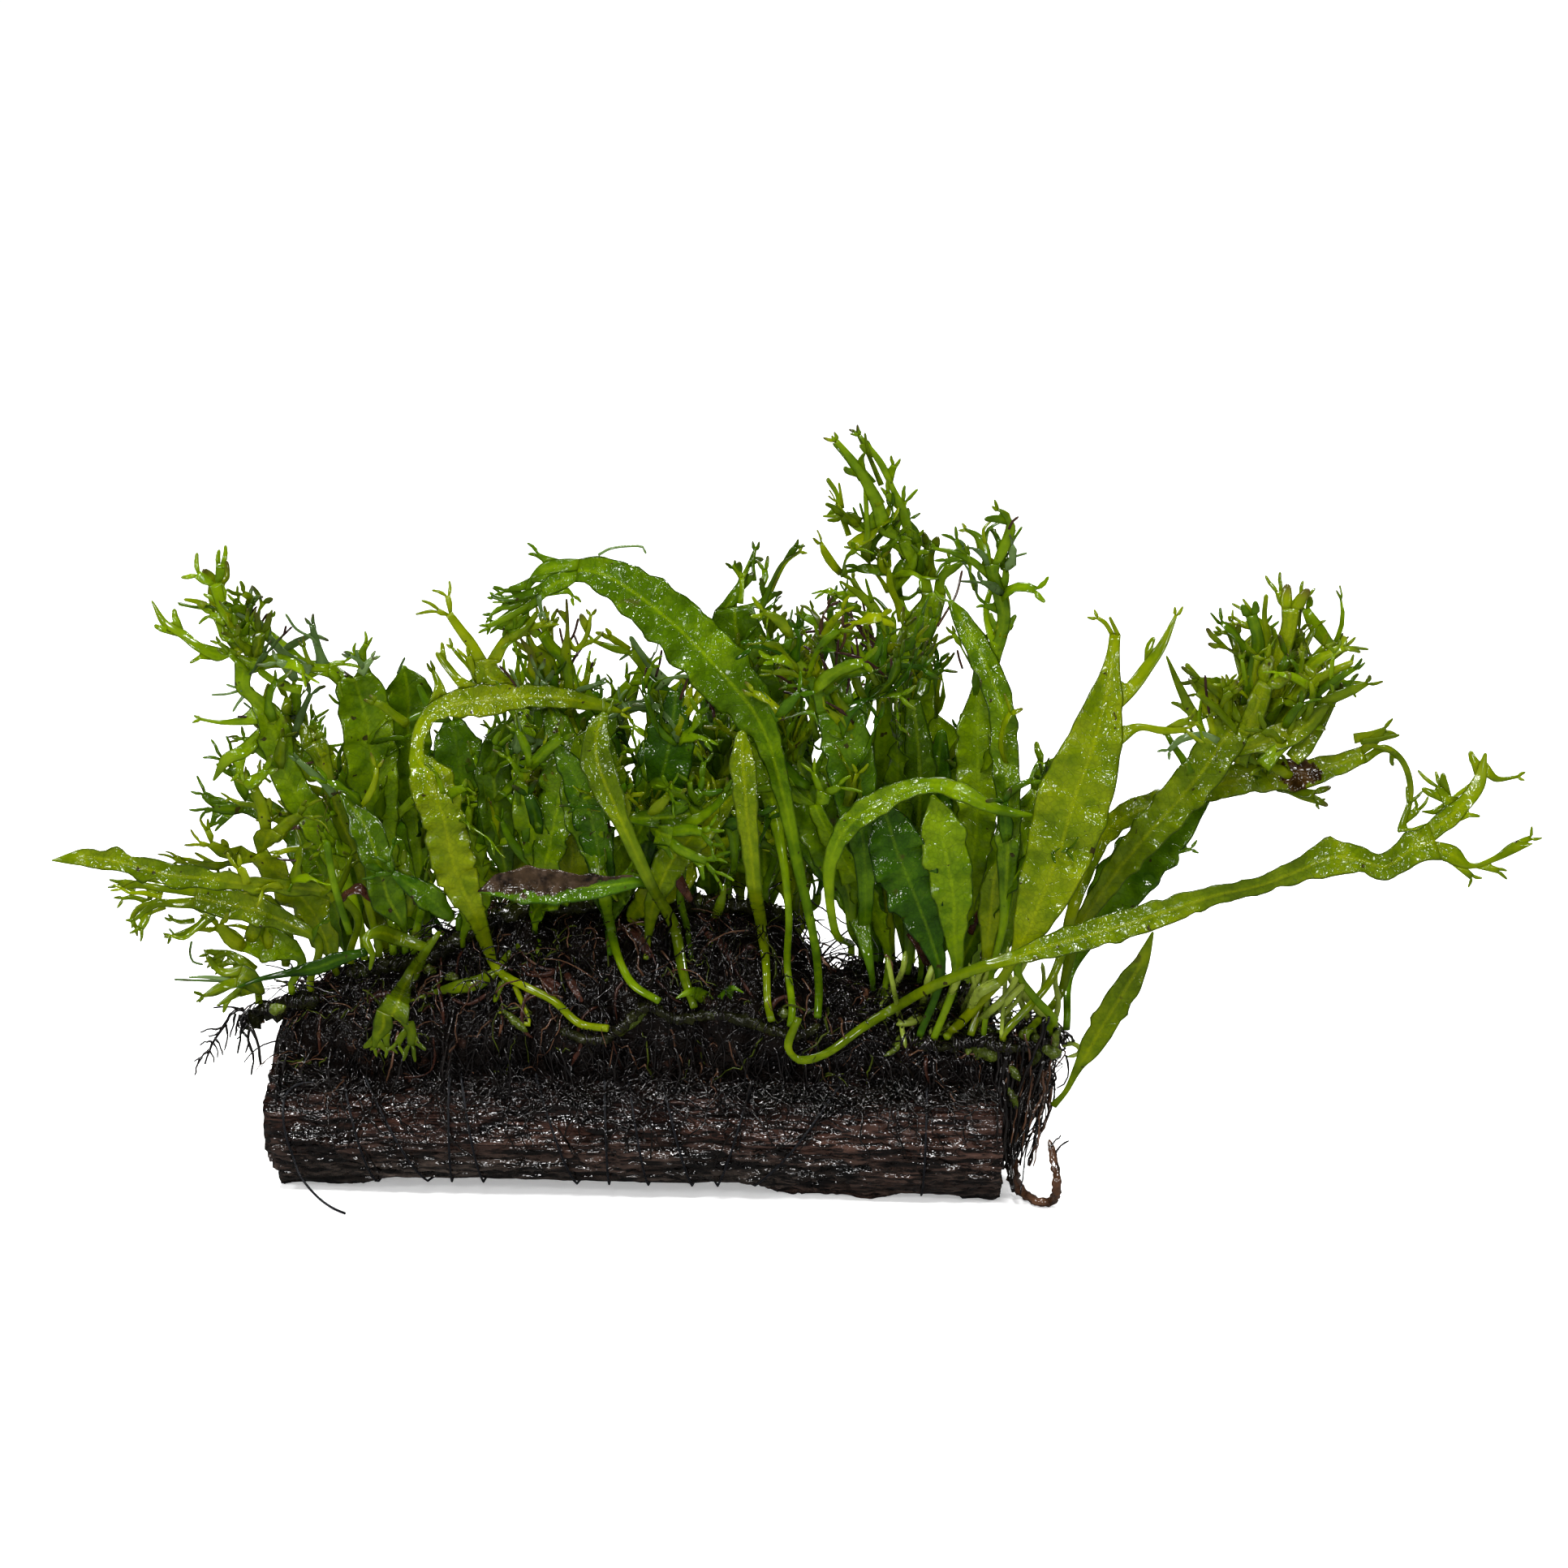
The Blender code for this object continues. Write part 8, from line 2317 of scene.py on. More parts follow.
# ------------------------------------------------------------ leaves past the coarse model's limit
# (slot, crested, [(u, v, depth or None, half width, roll)])
SMALL = [
    ("leaf_mid", 1, [(1118, 1200, -4, 4, 0), (1124, 1120, -6, 12, 8), (1130, 1040, -8, 19, 5), (1134, 965, -9, 21, 0), (1130, 905, -9, 16, -5), (1124, 862, -9, 9, 0)]),
    ("leaf_dark", 0, [(1150, 1190, -2, 4, 0), (1150, 1110, -3, 14, 0), (1150, 1030, -4, 20, 0), (1154, 960, -4, 18, 0), (1160, 905, -4, 7, 0)]),
    ("leaf_mid", 1, [(664, 1176, None, 4, 0), (662, 1140, None, 5, 0), (670, 1080, -14, 15, 10), (684, 1010, -15, 25, 15), (694, 950, -15, 27, 10), (690, 905, -14, 20, 0), (676, 872, -12, 9, -8)]),
    ("leaf_bright", 0, [(796, 1182, None, 3.5, 0), (799, 1150, None, 5, 0), (808, 1105, -17, 13, 8), (832, 1055, -19, 22, 12), (872, 1012, -20, 20, 8), (912, 972, -20, 5, 0)]),
    ("leaf_dark", 0, [(1076, 1222, None, 3.5, 0), (1072, 1190, None, 5, 0), (1056, 1125, -11, 14, 0), (1018, 1058, -12, 23, 0), (980, 1006, -12, 20, 0), (952, 972, -12, 6, 0)]),
    ("leaf_dark", 0, [(752, 1176, None, 3.5, 0), (749, 1140, None, 5, 0), (742, 1075, -16, 16, 10), (728, 1005, -17, 22, 14), (706, 950, -17, 17, 8), (682, 915, -17, 5, 0)]),
    ("leaf_bright", 1, [(352, 1190, 1, 5, 0), (352, 1158, 0, 10, 10), (336, 1130, -1, 18, 10), (313, 1111, -3, 15, 0), (291, 1103, -4, 5, 0)]),
    ("leaf_dark", 1, [(556, 1132, -15, 6, 0), (532, 1108, -17, 17, 0), (508, 1092, -18, 12, 0), (484, 1076, -19, 4, 0)]),
    ("leaf_mid", 0, [(431, 1150, -18, 4.5, 0), (417, 1108, -21, 4.5, 0), (408, 1072, -22, 4.5, 0), (403, 1040, -22.5, 4.5, 0)]),
    ("leaf_bright", 0, [(530, 1170, None, 6, 0), (512, 1163, None, 7, 0), (488, 1155, None, 10, 0), (464, 1149, -20, 9, 0), (450, 1157, -21, 6, 0), (459, 1176, -21.5, 4, 0), (456, 1193, -21.5, 2, 0)]),
    ("leaf_dark", 0, [(452, 1172, None, 5, 0), (437, 1176, None, 6, 0), (418, 1181, None, 9, 20), (392, 1191, None, 10, 20), (355, 1199, -16, 5, 0), (318, 1207, -17, 3, 0), (294, 1216, -18, 1.5, 0)]),
    ("leaf_bright", 0, [(640, 1165, None, 4, 0), (626, 1176, None, 4, 0), (612, 1196, None, 5, 0), (590, 1210, None, 9, 0), (564, 1216, None, 8, 0), (538, 1222, None, 4, 0), (506, 1233, None, 1.5, 0)]),
    ("leaf_bright", 0, [(1098, 1190, 8, 5, 0), (1096, 1120, 8, 6, 0), (1092, 1050, 10, 13, 0), (1087, 990, 11, 13, 0), (1086, 945, 11, 15, 0), (1083, 910, 11, 10, 0), (1081, 893, 11, 2, 0)]),
    ("leaf_mid", 0, [(880, 1250, None, 3, 0), (879, 1240, None, 5, 0), (866, 1228, None, 9, 10), (848, 1222, -24, 5, 0), (835, 1229, -25, 1.5, 0)]),
    ("leaf_dark", 0, [(880, 1246, None, 3, 0), (886, 1236, None, 7, 0), (896, 1226, None, 8, 10), (905, 1217, -25, 3, 0), (914, 1222, -25, 1.2, 0)]),
    ("leaf_bright", 0, [(628, 1200, None, 3, 0), (618, 1212, None, 4, 0), (610, 1232, None, 3, 0)]),
    ("leaf_bright", 0, [(634, 1215, None, 3, 0), (642, 1232, None, 3.5, 0), (652, 1262, None, 3, 0), (617, 1246, None, 4, 0)]),
    ("leaf_mid", 0, [(852, 1180, None, 3, 0), (846, 1140, None, 4, 0), (838, 1105, -14, 5, 0), (842, 1070, -14, 4, 0)]),
    ("leaf_bright", 0, [(875, 1165, None, 3, 0), (880, 1135, None, 5, 0), (888, 1112, -15, 6, 0), (893, 1092, -15, 2, 0)]),
]
TOPS = [(300, 960), (340, 930), (400, 900), (450, 870), (520, 868), (600, 865), (700, 850), (780, 862), (830, 850),
        (900, 820), (960, 800), (1000, 785), (1060, 790), (1120, 810), (1180, 820), (1240, 880), (1300, 960),
        (1350, 1030), (1420, 1060)]


def leaf_rows(path):
    rows = []
    for (u, v, y, w, roll) in path:
        p = hug(SOLID, u, v, 0.9) if y is None else None
        if p is None:
            p = spot(u, v, -14.0 if y is None else y)
        rows.append((p, w * unit_at(p), roll))
    return rows


def grow_leaf(heap, rows, key, crest, depth, slot):
    rec = rec_of(Sheet(), None, rows, (), key)
    total = sum((b[0] - a[0]).length for a, b in zip(rows, rows[1:])) + 10.0
    prm = frond_prm("filler%d" % int(key * 7), slot, total, 2.0, False)
    prm["step"], prm["slim"], prm["ruffle"], prm["lam"] = 1.6, True, 1.7, 4.4 + 2.0 * rand(key, 3.3)
    if crest:
        fork(rec, key, depth, rows[-1][1] * 1.25, 0.42 + 0.25 * rand(key, 8.8))
        prm["spurs"] = 0.28
        lace(rec, 0, key, prm)
    ribbon(heap, rec, None, 0.0, prm, 0)


heaps = {k: Heap() for k in LEAF}
for i, (slot, crest, path) in enumerate(SMALL):
    grow_leaf(heaps[slot], leaf_rows(path), 31.0 + i, crest, 2, slot)

FILLERS = 47
for i in range(FILLERS):
    k = 5.1 + i * 1.37
    layer = i % 4
    frac = (i * 0.6180339) % 1.0
    u0 = 420.0 + 800.0 * frac
    x0 = grid_x(u0)
    ang = (88.0, 100.0, 112.0, 126.0)[layer] + 6.0 * wobble(k, 1.0)
    p0 = round_log(x0, math.radians(ang), mat_r(x0, ang) - 0.6)
    ub, vb = project(p0)
    if 975 < ub < 1062:
        continue
    lean = 75.0 * wobble(k, 2.0) + (-50.0 if u0 < 580 else 0.0) + (45.0 if u0 > 1120 else 0.0)
    crested = rand(k, 11.0) < 0.78
    vt = lerp_table(TOPS, u0 + lean) + (60.0, 20.0, 0.0, 10.0)[layer] + 130.0 * rand(k, 3.0) ** 1.5 + (45.0 if crested else 0.0)
    W = 15.0 + 16.0 * rand(k, 4.0)
    ytop = p0.y + (-15.0, -7.0, 1.0, 6.0)[layer] + 7.0 * wobble(k, 5.0)
    roll0, roll1 = 55.0 * wobble(k, 6.0), 75.0 * wobble(k, 7.0)
    rows = [(p0, 0.75, roll0)]
    sway = 20.0 * wobble(k, 9.0)
    stalk = 0.06 + 0.14 * rand(k, 13.0)
    for t, f in ((0.0, 0.22), (0.18, 0.62), (0.34, 0.90), (0.50, 1.0), (0.66, 0.92), (0.82, 0.74), (1.0, 0.52)):
        t = stalk + (1.0 - stalk) * t
        f *= 1.0 + 0.18 * wobble(k, t * 9.0)
        u = ub + lean * t ** 1.5 + sway * math.sin(t * 4.4 + k)
        v = vb - (vb - vt) * t
        y = p0.y + (ytop - p0.y) * t + 2.5 * math.sin(t * 5.0 + 2.0 * k)
        p = spot(u, v, y)
        rows.append((p, max(0.72, W * f * unit_at(p)), roll0 + (roll1 - roll0) * t))
    slot = ("leaf_mid", "leaf_dark", "leaf_mid", "leaf_bright", "leaf_mid")[int(rand(k, 10.0) * 4.99)]
    grow_leaf(heaps[slot], rows, k, crested, 2, slot)
for slot, hp in heaps.items():
    hp.done("young_" + slot, LEAF[slot], slot)

# ------------------------------------------------------------ crest fingers seen one by one
# (colour, depth, half width at the root, share of it left at the tip, tip to root)
FANS = [
    # right crest
    ("b", -16, 5, .6, [(1497, 858), (1500, 868), (1503, 884)]), ("b", -16, 6, .7, [(1511, 846), (1513, 865), (1512, 892)]),
    ("b", -16, 3, .6, [(1504, 779), (1513, 780), (1523, 786)]), ("b", -16, 3, .6, [(1518, 765), (1520, 774), (1524, 786)]),
    ("b", -16, 7, .7, [(1522, 782), (1526, 800), (1535, 832), (1540, 862)]), ("m", -17, 10, .5, [(1542, 758), (1550, 790), (1545, 832), (1540, 868)]),
    ("m", -17, 4, .3, [(1566, 760), (1556, 775), (1551, 796)]), ("m", -17, 4, .3, [(1574, 767), (1557, 782), (1552, 802)]),
    ("b", -17, 9, .8, [(1590, 750), (1588, 775), (1580, 802), (1573, 842), (1566, 868)]), ("b", -17, 5, .4, [(1606, 782), (1594, 786), (1584, 800)]),
    ("b", -16, 4, .4, [(1605, 802), (1604, 818), (1598, 836)]), ("m", -16, 4, .4, [(1590, 812), (1600, 825), (1604, 840)]),
    ("b", -16, 7, .7, [(1655, 797), (1638, 806), (1620, 816), (1603, 838), (1590, 862)]), ("b", -16, 3, .5, [(1652, 789), (1648, 795), (1640, 802)]),
    ("b", -16, 3, .5, [(1662, 800), (1654, 802), (1642, 806)]), ("b", -17, 6, .5, [(1664, 817), (1640, 828), (1614, 842), (1596, 866)]),
    ("m", -17, 6, .5, [(1664, 842), (1640, 845), (1618, 846), (1598, 862)]), ("m", -16, 4, .4, [(1624, 863), (1610, 870), (1592, 886)]),
    ("b", -16, 4, .4, [(1626, 876), (1606, 878), (1586, 892)]), ("b", -17, 9, .6, [(1645, 852), (1630, 880), (1612, 914), (1592, 936)]),
    ("p", -16, 2, .5, [(1485, 834), (1486, 850), (1490, 880)]), ("m", -18, 5, .5, [(1438, 905), (1448, 922), (1458, 936), (1466, 954)]),
    ("g", -18, 5, .5, [(1440, 925), (1455, 911), (1482, 906), (1500, 915)]), ("b", -18, 7, .6, [(1620, 979), (1600, 976), (1576, 966)]),
    ("b", -18, 4, .5, [(1622, 988), (1606, 982), (1586, 972)]), ("b", -14, 6, .6, [(1706, 899), (1690, 905), (1668, 910)]),
    ("b", -14, 4, .5, [(1722, 906), (1700, 911), (1676, 914)]), ("b", -14, 4, .5, [(1718, 926), (1702, 921), (1680, 918)]),
    ("b", -18, 11, .8, [(1560, 842), (1548, 872), (1536, 905), (1524, 940)]), ("m", -18, 11, .8, [(1578, 856), (1566, 884), (1550, 912), (1540, 950)]),
    ("b", -18, 8, .7, [(1528, 852), (1522, 880), (1512, 910), (1505, 940)]), ("b", -19, 8, .7, [(1606, 846), (1588, 876), (1574, 905), (1560, 940)]),
    ("m", -19, 7, .6, [(1618, 894), (1600, 905), (1578, 920), (1556, 944)]), ("b", -19, 6, .5, [(1488, 878), (1496, 900), (1500, 930)]),
    ("b", -18, 5, .4, [(1560, 735), (1558, 760), (1562, 790), (1560, 830)]), ("b", -17, 4, .5, [(1622, 770), (1612, 788), (1598, 812)]),
    ("m", -18, 4, .4, [(1480, 862), (1478, 885), (1486, 915)]), ("b", -18, 5, .5, [(1566, 812), (1562, 838), (1552, 866)]),
    ("m", -18, 4, .4, [(1530, 812), (1534, 836), (1534, 862)]), ("b", -17, 3, .5, [(1636, 866), (1620, 872), (1604, 884)]),
    # middle crests
    ("m", -12, 3, .4, [(904, 698), (909, 705), (914, 714)]), ("m", -12, 3, .4, [(923, 693), (919, 702), (914, 714)]),
    ("m", -12, 4, .6, [(914, 712), (914, 728), (912, 744)]), ("m", -12, 3, .4, [(931, 676), (928, 695), (930, 716)]),
    ("m", -12, 4, .9, [(942, 702), (943, 710), (938, 722)]), ("b", -10, 4, .5, [(985, 680), (970, 691), (960, 706), (946, 735), (935, 750)]),
    ("m", -6, 4, .4, [(955, 752), (949, 766), (950, 788)]), ("g", -8, 2, .5, [(976, 753), (973, 770), (972, 788)]),
    ("g", -8, 2, .5, [(995, 772), (970, 780), (955, 788)]), ("g", -8, 2, .5, [(997, 759), (985, 767), (983, 796)]),
    ("b", -14, 7, .5, [(1000, 752), (1010, 766), (1022, 785), (1030, 802), (1034, 830)]), ("b", -14, 4, .4, [(991, 780), (1000, 790), (1015, 802)]),
    ("m", -14, 4, .4, [(1004, 772), (1010, 786), (1020, 800)]), ("p", -15, 2.5, .5, [(1015, 760), (1030, 775), (1033, 792)]),
    ("p", -15, 2.5, .5, [(992, 797), (1005, 805), (1015, 820), (1025, 832)]), ("p", -15, 3, .6, [(1033, 790), (1030, 820), (1028, 870)]),
    ("p", -14, 3, .6, [(1036, 830), (1036, 850), (1035, 870)]), ("p", -14, 2.5, .6, [(1045, 810), (1047, 832), (1042, 862)]),
    ("p", -14, 2.2, .6, [(1055, 787), (1057, 802), (1060, 846)]), ("p", -12, 2.2, .5, [(1061, 793), (1070, 800), (1080, 812)]),
    ("p", -12, 2, .5, [(1098, 813), (1099, 830), (1098, 852)]), ("m", -12, 3, .5, [(1065, 827), (1075, 828), (1086, 836)]),
    ("p", -10, 2, .5, [(1038, 757), (1060, 775), (1086, 794)]), ("p", -10, 2, .5, [(1052, 764), (1074, 784), (1092, 800)]),
    ("p", -8, 2, .5, [(1062, 735), (1066, 755), (1074, 776)]), ("m", -8, 3, .5, [(1067, 715), (1070, 726), (1075, 742)]),
    ("m", -8, 3, .5, [(1078, 737), (1086, 744), (1095, 756)]), ("b", -8, 7, .5, [(1050, 713), (1060, 730), (1076, 746), (1085, 766), (1095, 796)]),
    ("b", -8, 6, .5, [(1095, 699), (1097, 722), (1106, 744), (1112, 766)]), ("b", -6, 4, .5, [(1083, 680), (1083, 692), (1086, 708)]),
    ("b", -6, 4, .5, [(1078, 705), (1086, 715), (1095, 730)]), ("m", -6, 4, .5, [(1130, 730), (1120, 737), (1104, 735)]),
    ("p", -12, 4, .5, [(955, 830), (968, 838), (985, 852)]), ("p", -14, 3, .5, [(967, 853), (982, 856), (1002, 862)]),
    ("p", -14, 3, .5, [(963, 888), (985, 883), (1012, 873)]), ("p", -20, 4, .6, [(864, 842), (870, 856), (878, 872), (880, 884)]),
    ("p", -20, 2, .5, [(884, 856), (876, 866), (868, 880)]),
    ("p", -14, 4, .6, [(1022, 898), (1034, 904), (1046, 908)]), ("b", -14, 5, .5, [(1024, 842), (1034, 862), (1044, 886), (1048, 910)]),
    ("m", -13, 5, .5, [(1076, 848), (1070, 872), (1060, 900)]), ("b", -12, 5, .5, [(1110, 800), (1100, 830), (1088, 862), (1080, 892)]),
    ("m", -12, 4, .5, [(1122, 822), (1112, 842), (1100, 866)]), ("b", -14, 4, .5, [(1012, 812), (1022, 832), (1030, 856)]),
    # tallest crest
    ("b", -4, 4, .5, [(1057, 535), (1064, 548), (1070, 560), (1086, 598)]), ("b", -4, 3, .4, [(1066, 536), (1068, 548), (1071, 562)]),
    ("m", -4, 2, .5, [(1070, 545), (1090, 586), (1110, 622)]), ("b", -4, 6, .5, [(1030, 543), (1045, 560), (1060, 580), (1085, 622)]),
    ("m", -4, 2, .5, [(1028, 548), (1044, 568), (1060, 592)]), ("m", -4, 2, .5, [(1060, 573), (1068, 582), (1078, 594)]),
    ("p", -4, 2, .5, [(1097, 584), (1095, 594), (1092, 608)]), ("b", -4, 4, .5, [(1021, 591), (1030, 605), (1037, 634), (1046, 660)]),
    ("b", -4, 3, .4, [(1034, 597), (1036, 610), (1037, 626)]), ("m", -4, 3, .4, [(1052, 627), (1058, 640), (1066, 654)]),
    ("m", -4, 3, .4, [(1060, 622), (1064, 636), (1070, 652)]), ("p", -4, 2, .6, [(1076, 628), (1077, 640), (1078, 656)]),
    ("m", -4, 3, .5, [(1042, 674), (1060, 677), (1086, 684)]), ("b", -6, 8, .9, [(1146, 672), (1145, 690), (1148, 714)]),
    ("m", -8, 3, .6, [(1152, 675), (1166, 679), (1180, 682), (1192, 692)]), ("p", -8, 2, .5, [(1180, 672), (1186, 676), (1194, 680)]),
    # top right crest
    ("b", -18, 5, .4, [(1190, 653), (1203, 660), (1210, 682)]), ("b", -18, 3, .4, [(1220, 643), (1212, 652), (1213, 670)]),
    ("m", -18, 3, .4, [(1231, 644), (1218, 652), (1214, 668)]), ("b", -18, 5, .4, [(1230, 628), (1241, 634), (1243, 648), (1237, 668), (1230, 694)]),
    ("p", -18, 2, .5, [(1253, 638), (1248, 642), (1243, 652)]), ("m", -18, 2, .5, [(1258, 651), (1248, 667), (1243, 684)]),
    ("g", -18, 2, .5, [(1263, 682), (1253, 685), (1240, 690)]), ("b", -19, 8, .8, [(1222, 702), (1234, 730), (1238, 756), (1232, 784)]),
    ("m", -19, 5, .7, [(1222, 722), (1215, 750), (1220, 778), (1230, 800)]), ("p", -16, 2, .6, [(1185, 705), (1178, 733), (1166, 754), (1155, 772)]),
    ("p", -18, 2, .6, [(1180, 803), (1182, 812), (1186, 824)]),
    # tips over the yellow leaf, and the dark strands beside them
    ("b", -18, 5, .5, [(660, 756), (652, 768), (640, 778), (628, 786)]), ("b", -18, 3, .4, [(668, 767), (658, 770), (646, 774)]),
    ("b", -18, 3, .6, [(557, 798), (566, 809), (578, 823), (585, 838), (583, 852)]), ("p", -18, 2, .5, [(584, 813), (588, 822), (592, 830)]),
    ("p", -14, 2, .5, [(617, 822), (626, 832), (636, 846)]), ("g", -14, 2.5, .6, [(631, 827), (634, 834), (638, 846)]),
    ("p", -11, 1.8, .5, [(634, 788), (636, 798), (640, 808)]), ("m", -11, 4, .6, [(633, 800), (642, 807), (660, 816), (684, 828)]),
    ("m", -11, 4, .5, [(639, 808), (638, 822), (638, 846)]), ("m", -11, 3.5, .5, [(641, 812), (648, 830), (664, 848)]),
    ("p", -11, 4, .7, [(652, 783), (657, 794), (660, 806), (658, 818)]), ("m", -11, 2.5, .5, [(650, 781), (650, 792), (652, 806)]),
    ("m", -11, 2.5, .6, [(637, 801), (646, 797), (657, 796)]), ("m", -10, 7, .6, [(656, 810), (656, 828), (667, 844), (674, 856)]),
    ("p", -10, 6, .6, [(658, 768), (668, 785), (676, 794)]), ("m", -10, 9, .7, [(668, 780), (680, 798), (692, 809), (700, 824), (704, 852)]),
    ("b", -10, 3, .4, [(671, 764), (675, 770), (677, 778)]), ("b", -10, 3, .4, [(686, 764), (680, 770), (677, 778)]),
    ("b", -10, 5, .9, [(677, 774), (677, 786), (678, 802)]), ("p", -10, 3, .6, [(690, 776), (693, 790), (698, 806)]),
    ("p", -10, 1.8, .8, [(698, 740), (700, 768), (700, 806)]), ("p", -10, 1.6, .5, [(712, 764), (708, 779), (700, 794)]),
    ("p", -10, 2.2, .6, [(727, 758), (727, 775), (720, 793), (708, 811), (702, 824)]), ("p", -10, 3.2, .6, [(708, 784), (713, 800), (706, 814), (702, 826)]),
    ("p", -11, 3, .6, [(730, 818), (726, 830), (720, 840)]), ("b", -11, 4, .6, [(726, 828), (720, 840), (710, 850)]),
    ("g", -12, 4, .5, [(740, 841), (726, 846), (704, 853)]), ("g", -12, 2.5, .5, [(742, 849), (732, 847), (720, 848)]),
    ("g", -8, 2.4, .7, [(762, 848), (764, 862), (774, 875)]), ("g", -8, 1.8, .6, [(771, 851), (766, 856), (763, 864)]),
    ("m", -8, 1.8, .6, [(740, 862), (754, 862), (766, 866)]), ("b", -2, 6, .8, [(752, 785), (764, 793), (776, 801)]),
    ("g", -2, 7, .5, [(778, 787), (790, 805), (806, 826), (824, 844)]), ("g", -2, 2.5, .5, [(765, 812), (772, 807), (780, 802)]),
    ("p", -13, 2.2, .7, [(815, 803), (813, 816), (808, 834)]), ("p", -13, 3, .8, [(796, 825), (795, 836), (796, 848)]),
    ("p", -14, 3, .5, [(852, 825), (846, 840), (838, 862)]), ("g", -14, 2, .5, [(838, 833), (842, 841), (848, 850)]),
    ("p", -14, 5, .4, [(864, 839), (869, 856), (877, 874)]), ("g", -14, 2, .5, [(884, 854), (876, 864), (864, 884)]),
    ("m", -20, 5, .6, [(609, 735), (622, 738), (640, 735), (662, 728)]), ("m", -20, 2, .5, [(609, 742), (617, 742), (626, 740)]),
    ("m", -20, 4, .5, [(605, 758), (614, 750), (630, 748), (646, 740)]), ("m", -20, 7, .4, [(601, 772), (622, 762), (645, 750), (662, 738)]),
    ("p", -20, 2.5, .4, [(601, 772), (610, 768), (620, 764)]), ("m", -20, 4, .5, [(622, 775), (632, 766), (642, 756)]),
    ("g", -20, 4, .5, [(667, 753), (665, 744), (664, 733)]), ("p", -20, 3, .6, [(653, 751), (658, 748), (664, 744)]),
    ("g", -18, 1.6, .8, [(795, 680), (792, 674), (775, 673), (752, 676), (737, 684)]),
    # left crests
    ("b", -8, 8, 1.1, [(267, 718), (265, 736), (273, 757), (286, 782), (300, 804)]), ("m", -8, 2.2, .6, [(221, 743), (240, 748), (256, 747), (272, 753)]),
    ("b", -8, 4, .5, [(229, 739), (242, 741), (253, 746)]), ("m", -8, 3.5, .6, [(260, 756), (271, 766), (278, 781), (290, 798)]),
    ("m", -8, 5, .5, [(270, 792), (280, 800), (292, 808)]), ("m", -8, 4, .5, [(311, 744), (306, 755), (298, 774)]),
    ("p", -8, 2, .5, [(315, 749), (310, 755), (304, 762)]), ("g", -8, 3, .7, [(283, 751), (302, 761), (320, 766), (330, 778)]),
    ("p", -8, 2, .5, [(328, 758), (323, 766), (320, 774)]), ("m", -8, 4, .5, [(334, 760), (330, 773), (326, 788)]),
    ("p", -8, 2.2, .5, [(309, 771), (303, 777), (296, 784)]), ("p", -8, 2, .5, [(319, 777), (312, 783), (302, 790)]),
    ("p", -8, 1.8, .5, [(352, 773), (350, 781), (343, 789)]), ("p", -8, 1.6, .5, [(358, 774), (354, 778), (349, 783)]),
    ("g", -8, 2.2, .6, [(353, 758), (365, 775), (384, 786), (392, 796)]), ("g", -8, 8, .4, [(384, 769), (388, 785), (394, 806), (398, 822)]),
    ("b", -8, 3.4, .7, [(374, 797), (378, 809), (384, 822)]), ("g", -8, 9, .6, [(330, 785), (346, 801), (362, 816), (382, 828)]),
    ("m", -6, 7, .6, [(312, 800), (330, 812), (352, 816), (380, 822), (405, 826)]), ("m", -6, 6, .6, [(322, 828), (336, 838), (352, 846), (372, 850)]),
    ("g", -6, 1.8, .6, [(281, 844), (290, 847), (300, 848)]), ("g", -6, 1.8, .6, [(263, 856), (280, 855), (298, 850)]),
    ("g", -6, 2.2, .6, [(288, 875), (292, 868), (300, 858)]), ("g", -6, 1.6, .6, [(302, 867), (312, 875), (324, 882)]),
    ("p", -6, 2.2, .8, [(295, 883), (300, 883), (306, 884)]), ("m", -6, 2, .5, [(318, 945), (323, 955), (334, 964)]),
    ("m", -6, 3, .5, [(300, 965), (312, 975), (334, 990)]), ("b", -6, 5, .4, [(283, 984), (296, 990), (312, 992), (334, 1004)]),
    ("b", -6, 4, .6, [(311, 981), (317, 988), (324, 998)]), ("b", -8, 9, .4, [(357, 880), (366, 889), (376, 901), (390, 913), (402, 930)]),
    ("b", -8, 3, .6, [(366, 878), (366, 888), (372, 898)]), ("b", -8, 4, .5, [(388, 899), (396, 908), (402, 924)]),
    ("g", -8, 6, .5, [(366, 936), (382, 950), (400, 966), (412, 980)]), ("p", -8, 1.5, .8, [(378, 941), (388, 939), (400, 941)]),
    ("p", -8, 4, .6, [(396, 985), (400, 994), (408, 1004)]), ("p", -12, 4, .6, [(338, 1025), (352, 1021), (372, 1019)]),
    ("b", -10, 4, .8, [(343, 1051), (356, 1047), (374, 1046)]), ("p", -10, 1.5, .8, [(344, 1058), (356, 1060), (370, 1060)]),
    ("g", -6, 4, .5, [(431, 808), (440, 813), (449, 822)]), ("g", -6, 3, .5, [(439, 803), (441, 811), (444, 818)]),
    ("g", -6, 6, .5, [(459, 811), (451, 820), (444, 830)]), ("g", -6, 1.4, .6, [(498, 812), (494, 820), (490, 830)]),
    ("b", -14, 6, .7, [(462, 865), (470, 869), (486, 881), (503, 893)]), ("b", -10, 4, .7, [(534, 828), (540, 845), (546, 862)]),
    ("b", -3, 5, .4, [(255, 1178), (262, 1190), (282, 1203), (300, 1206)]), ("b", -3, 6, .4, [(261, 1184), (278, 1175), (298, 1182), (314, 1196)]),
    ("g", -3, 1.8, .5, [(217, 1207), (242, 1208), (284, 1209)]), ("g", -3, 3.6, .4, [(235, 1204), (256, 1204), (284, 1207)]),
    ("b", -3, 5, .5, [(250, 1227), (264, 1225), (286, 1214), (306, 1206)]), ("b", -3, 3, .5, [(270, 1238), (281, 1232), (296, 1224)]),
    ("g", -3, 1.6, .7, [(248, 1188), (238, 1185), (234, 1174), (236, 1160)]), ("b", -3, 9, .7, [(292, 1198), (302, 1210), (306, 1226)]),
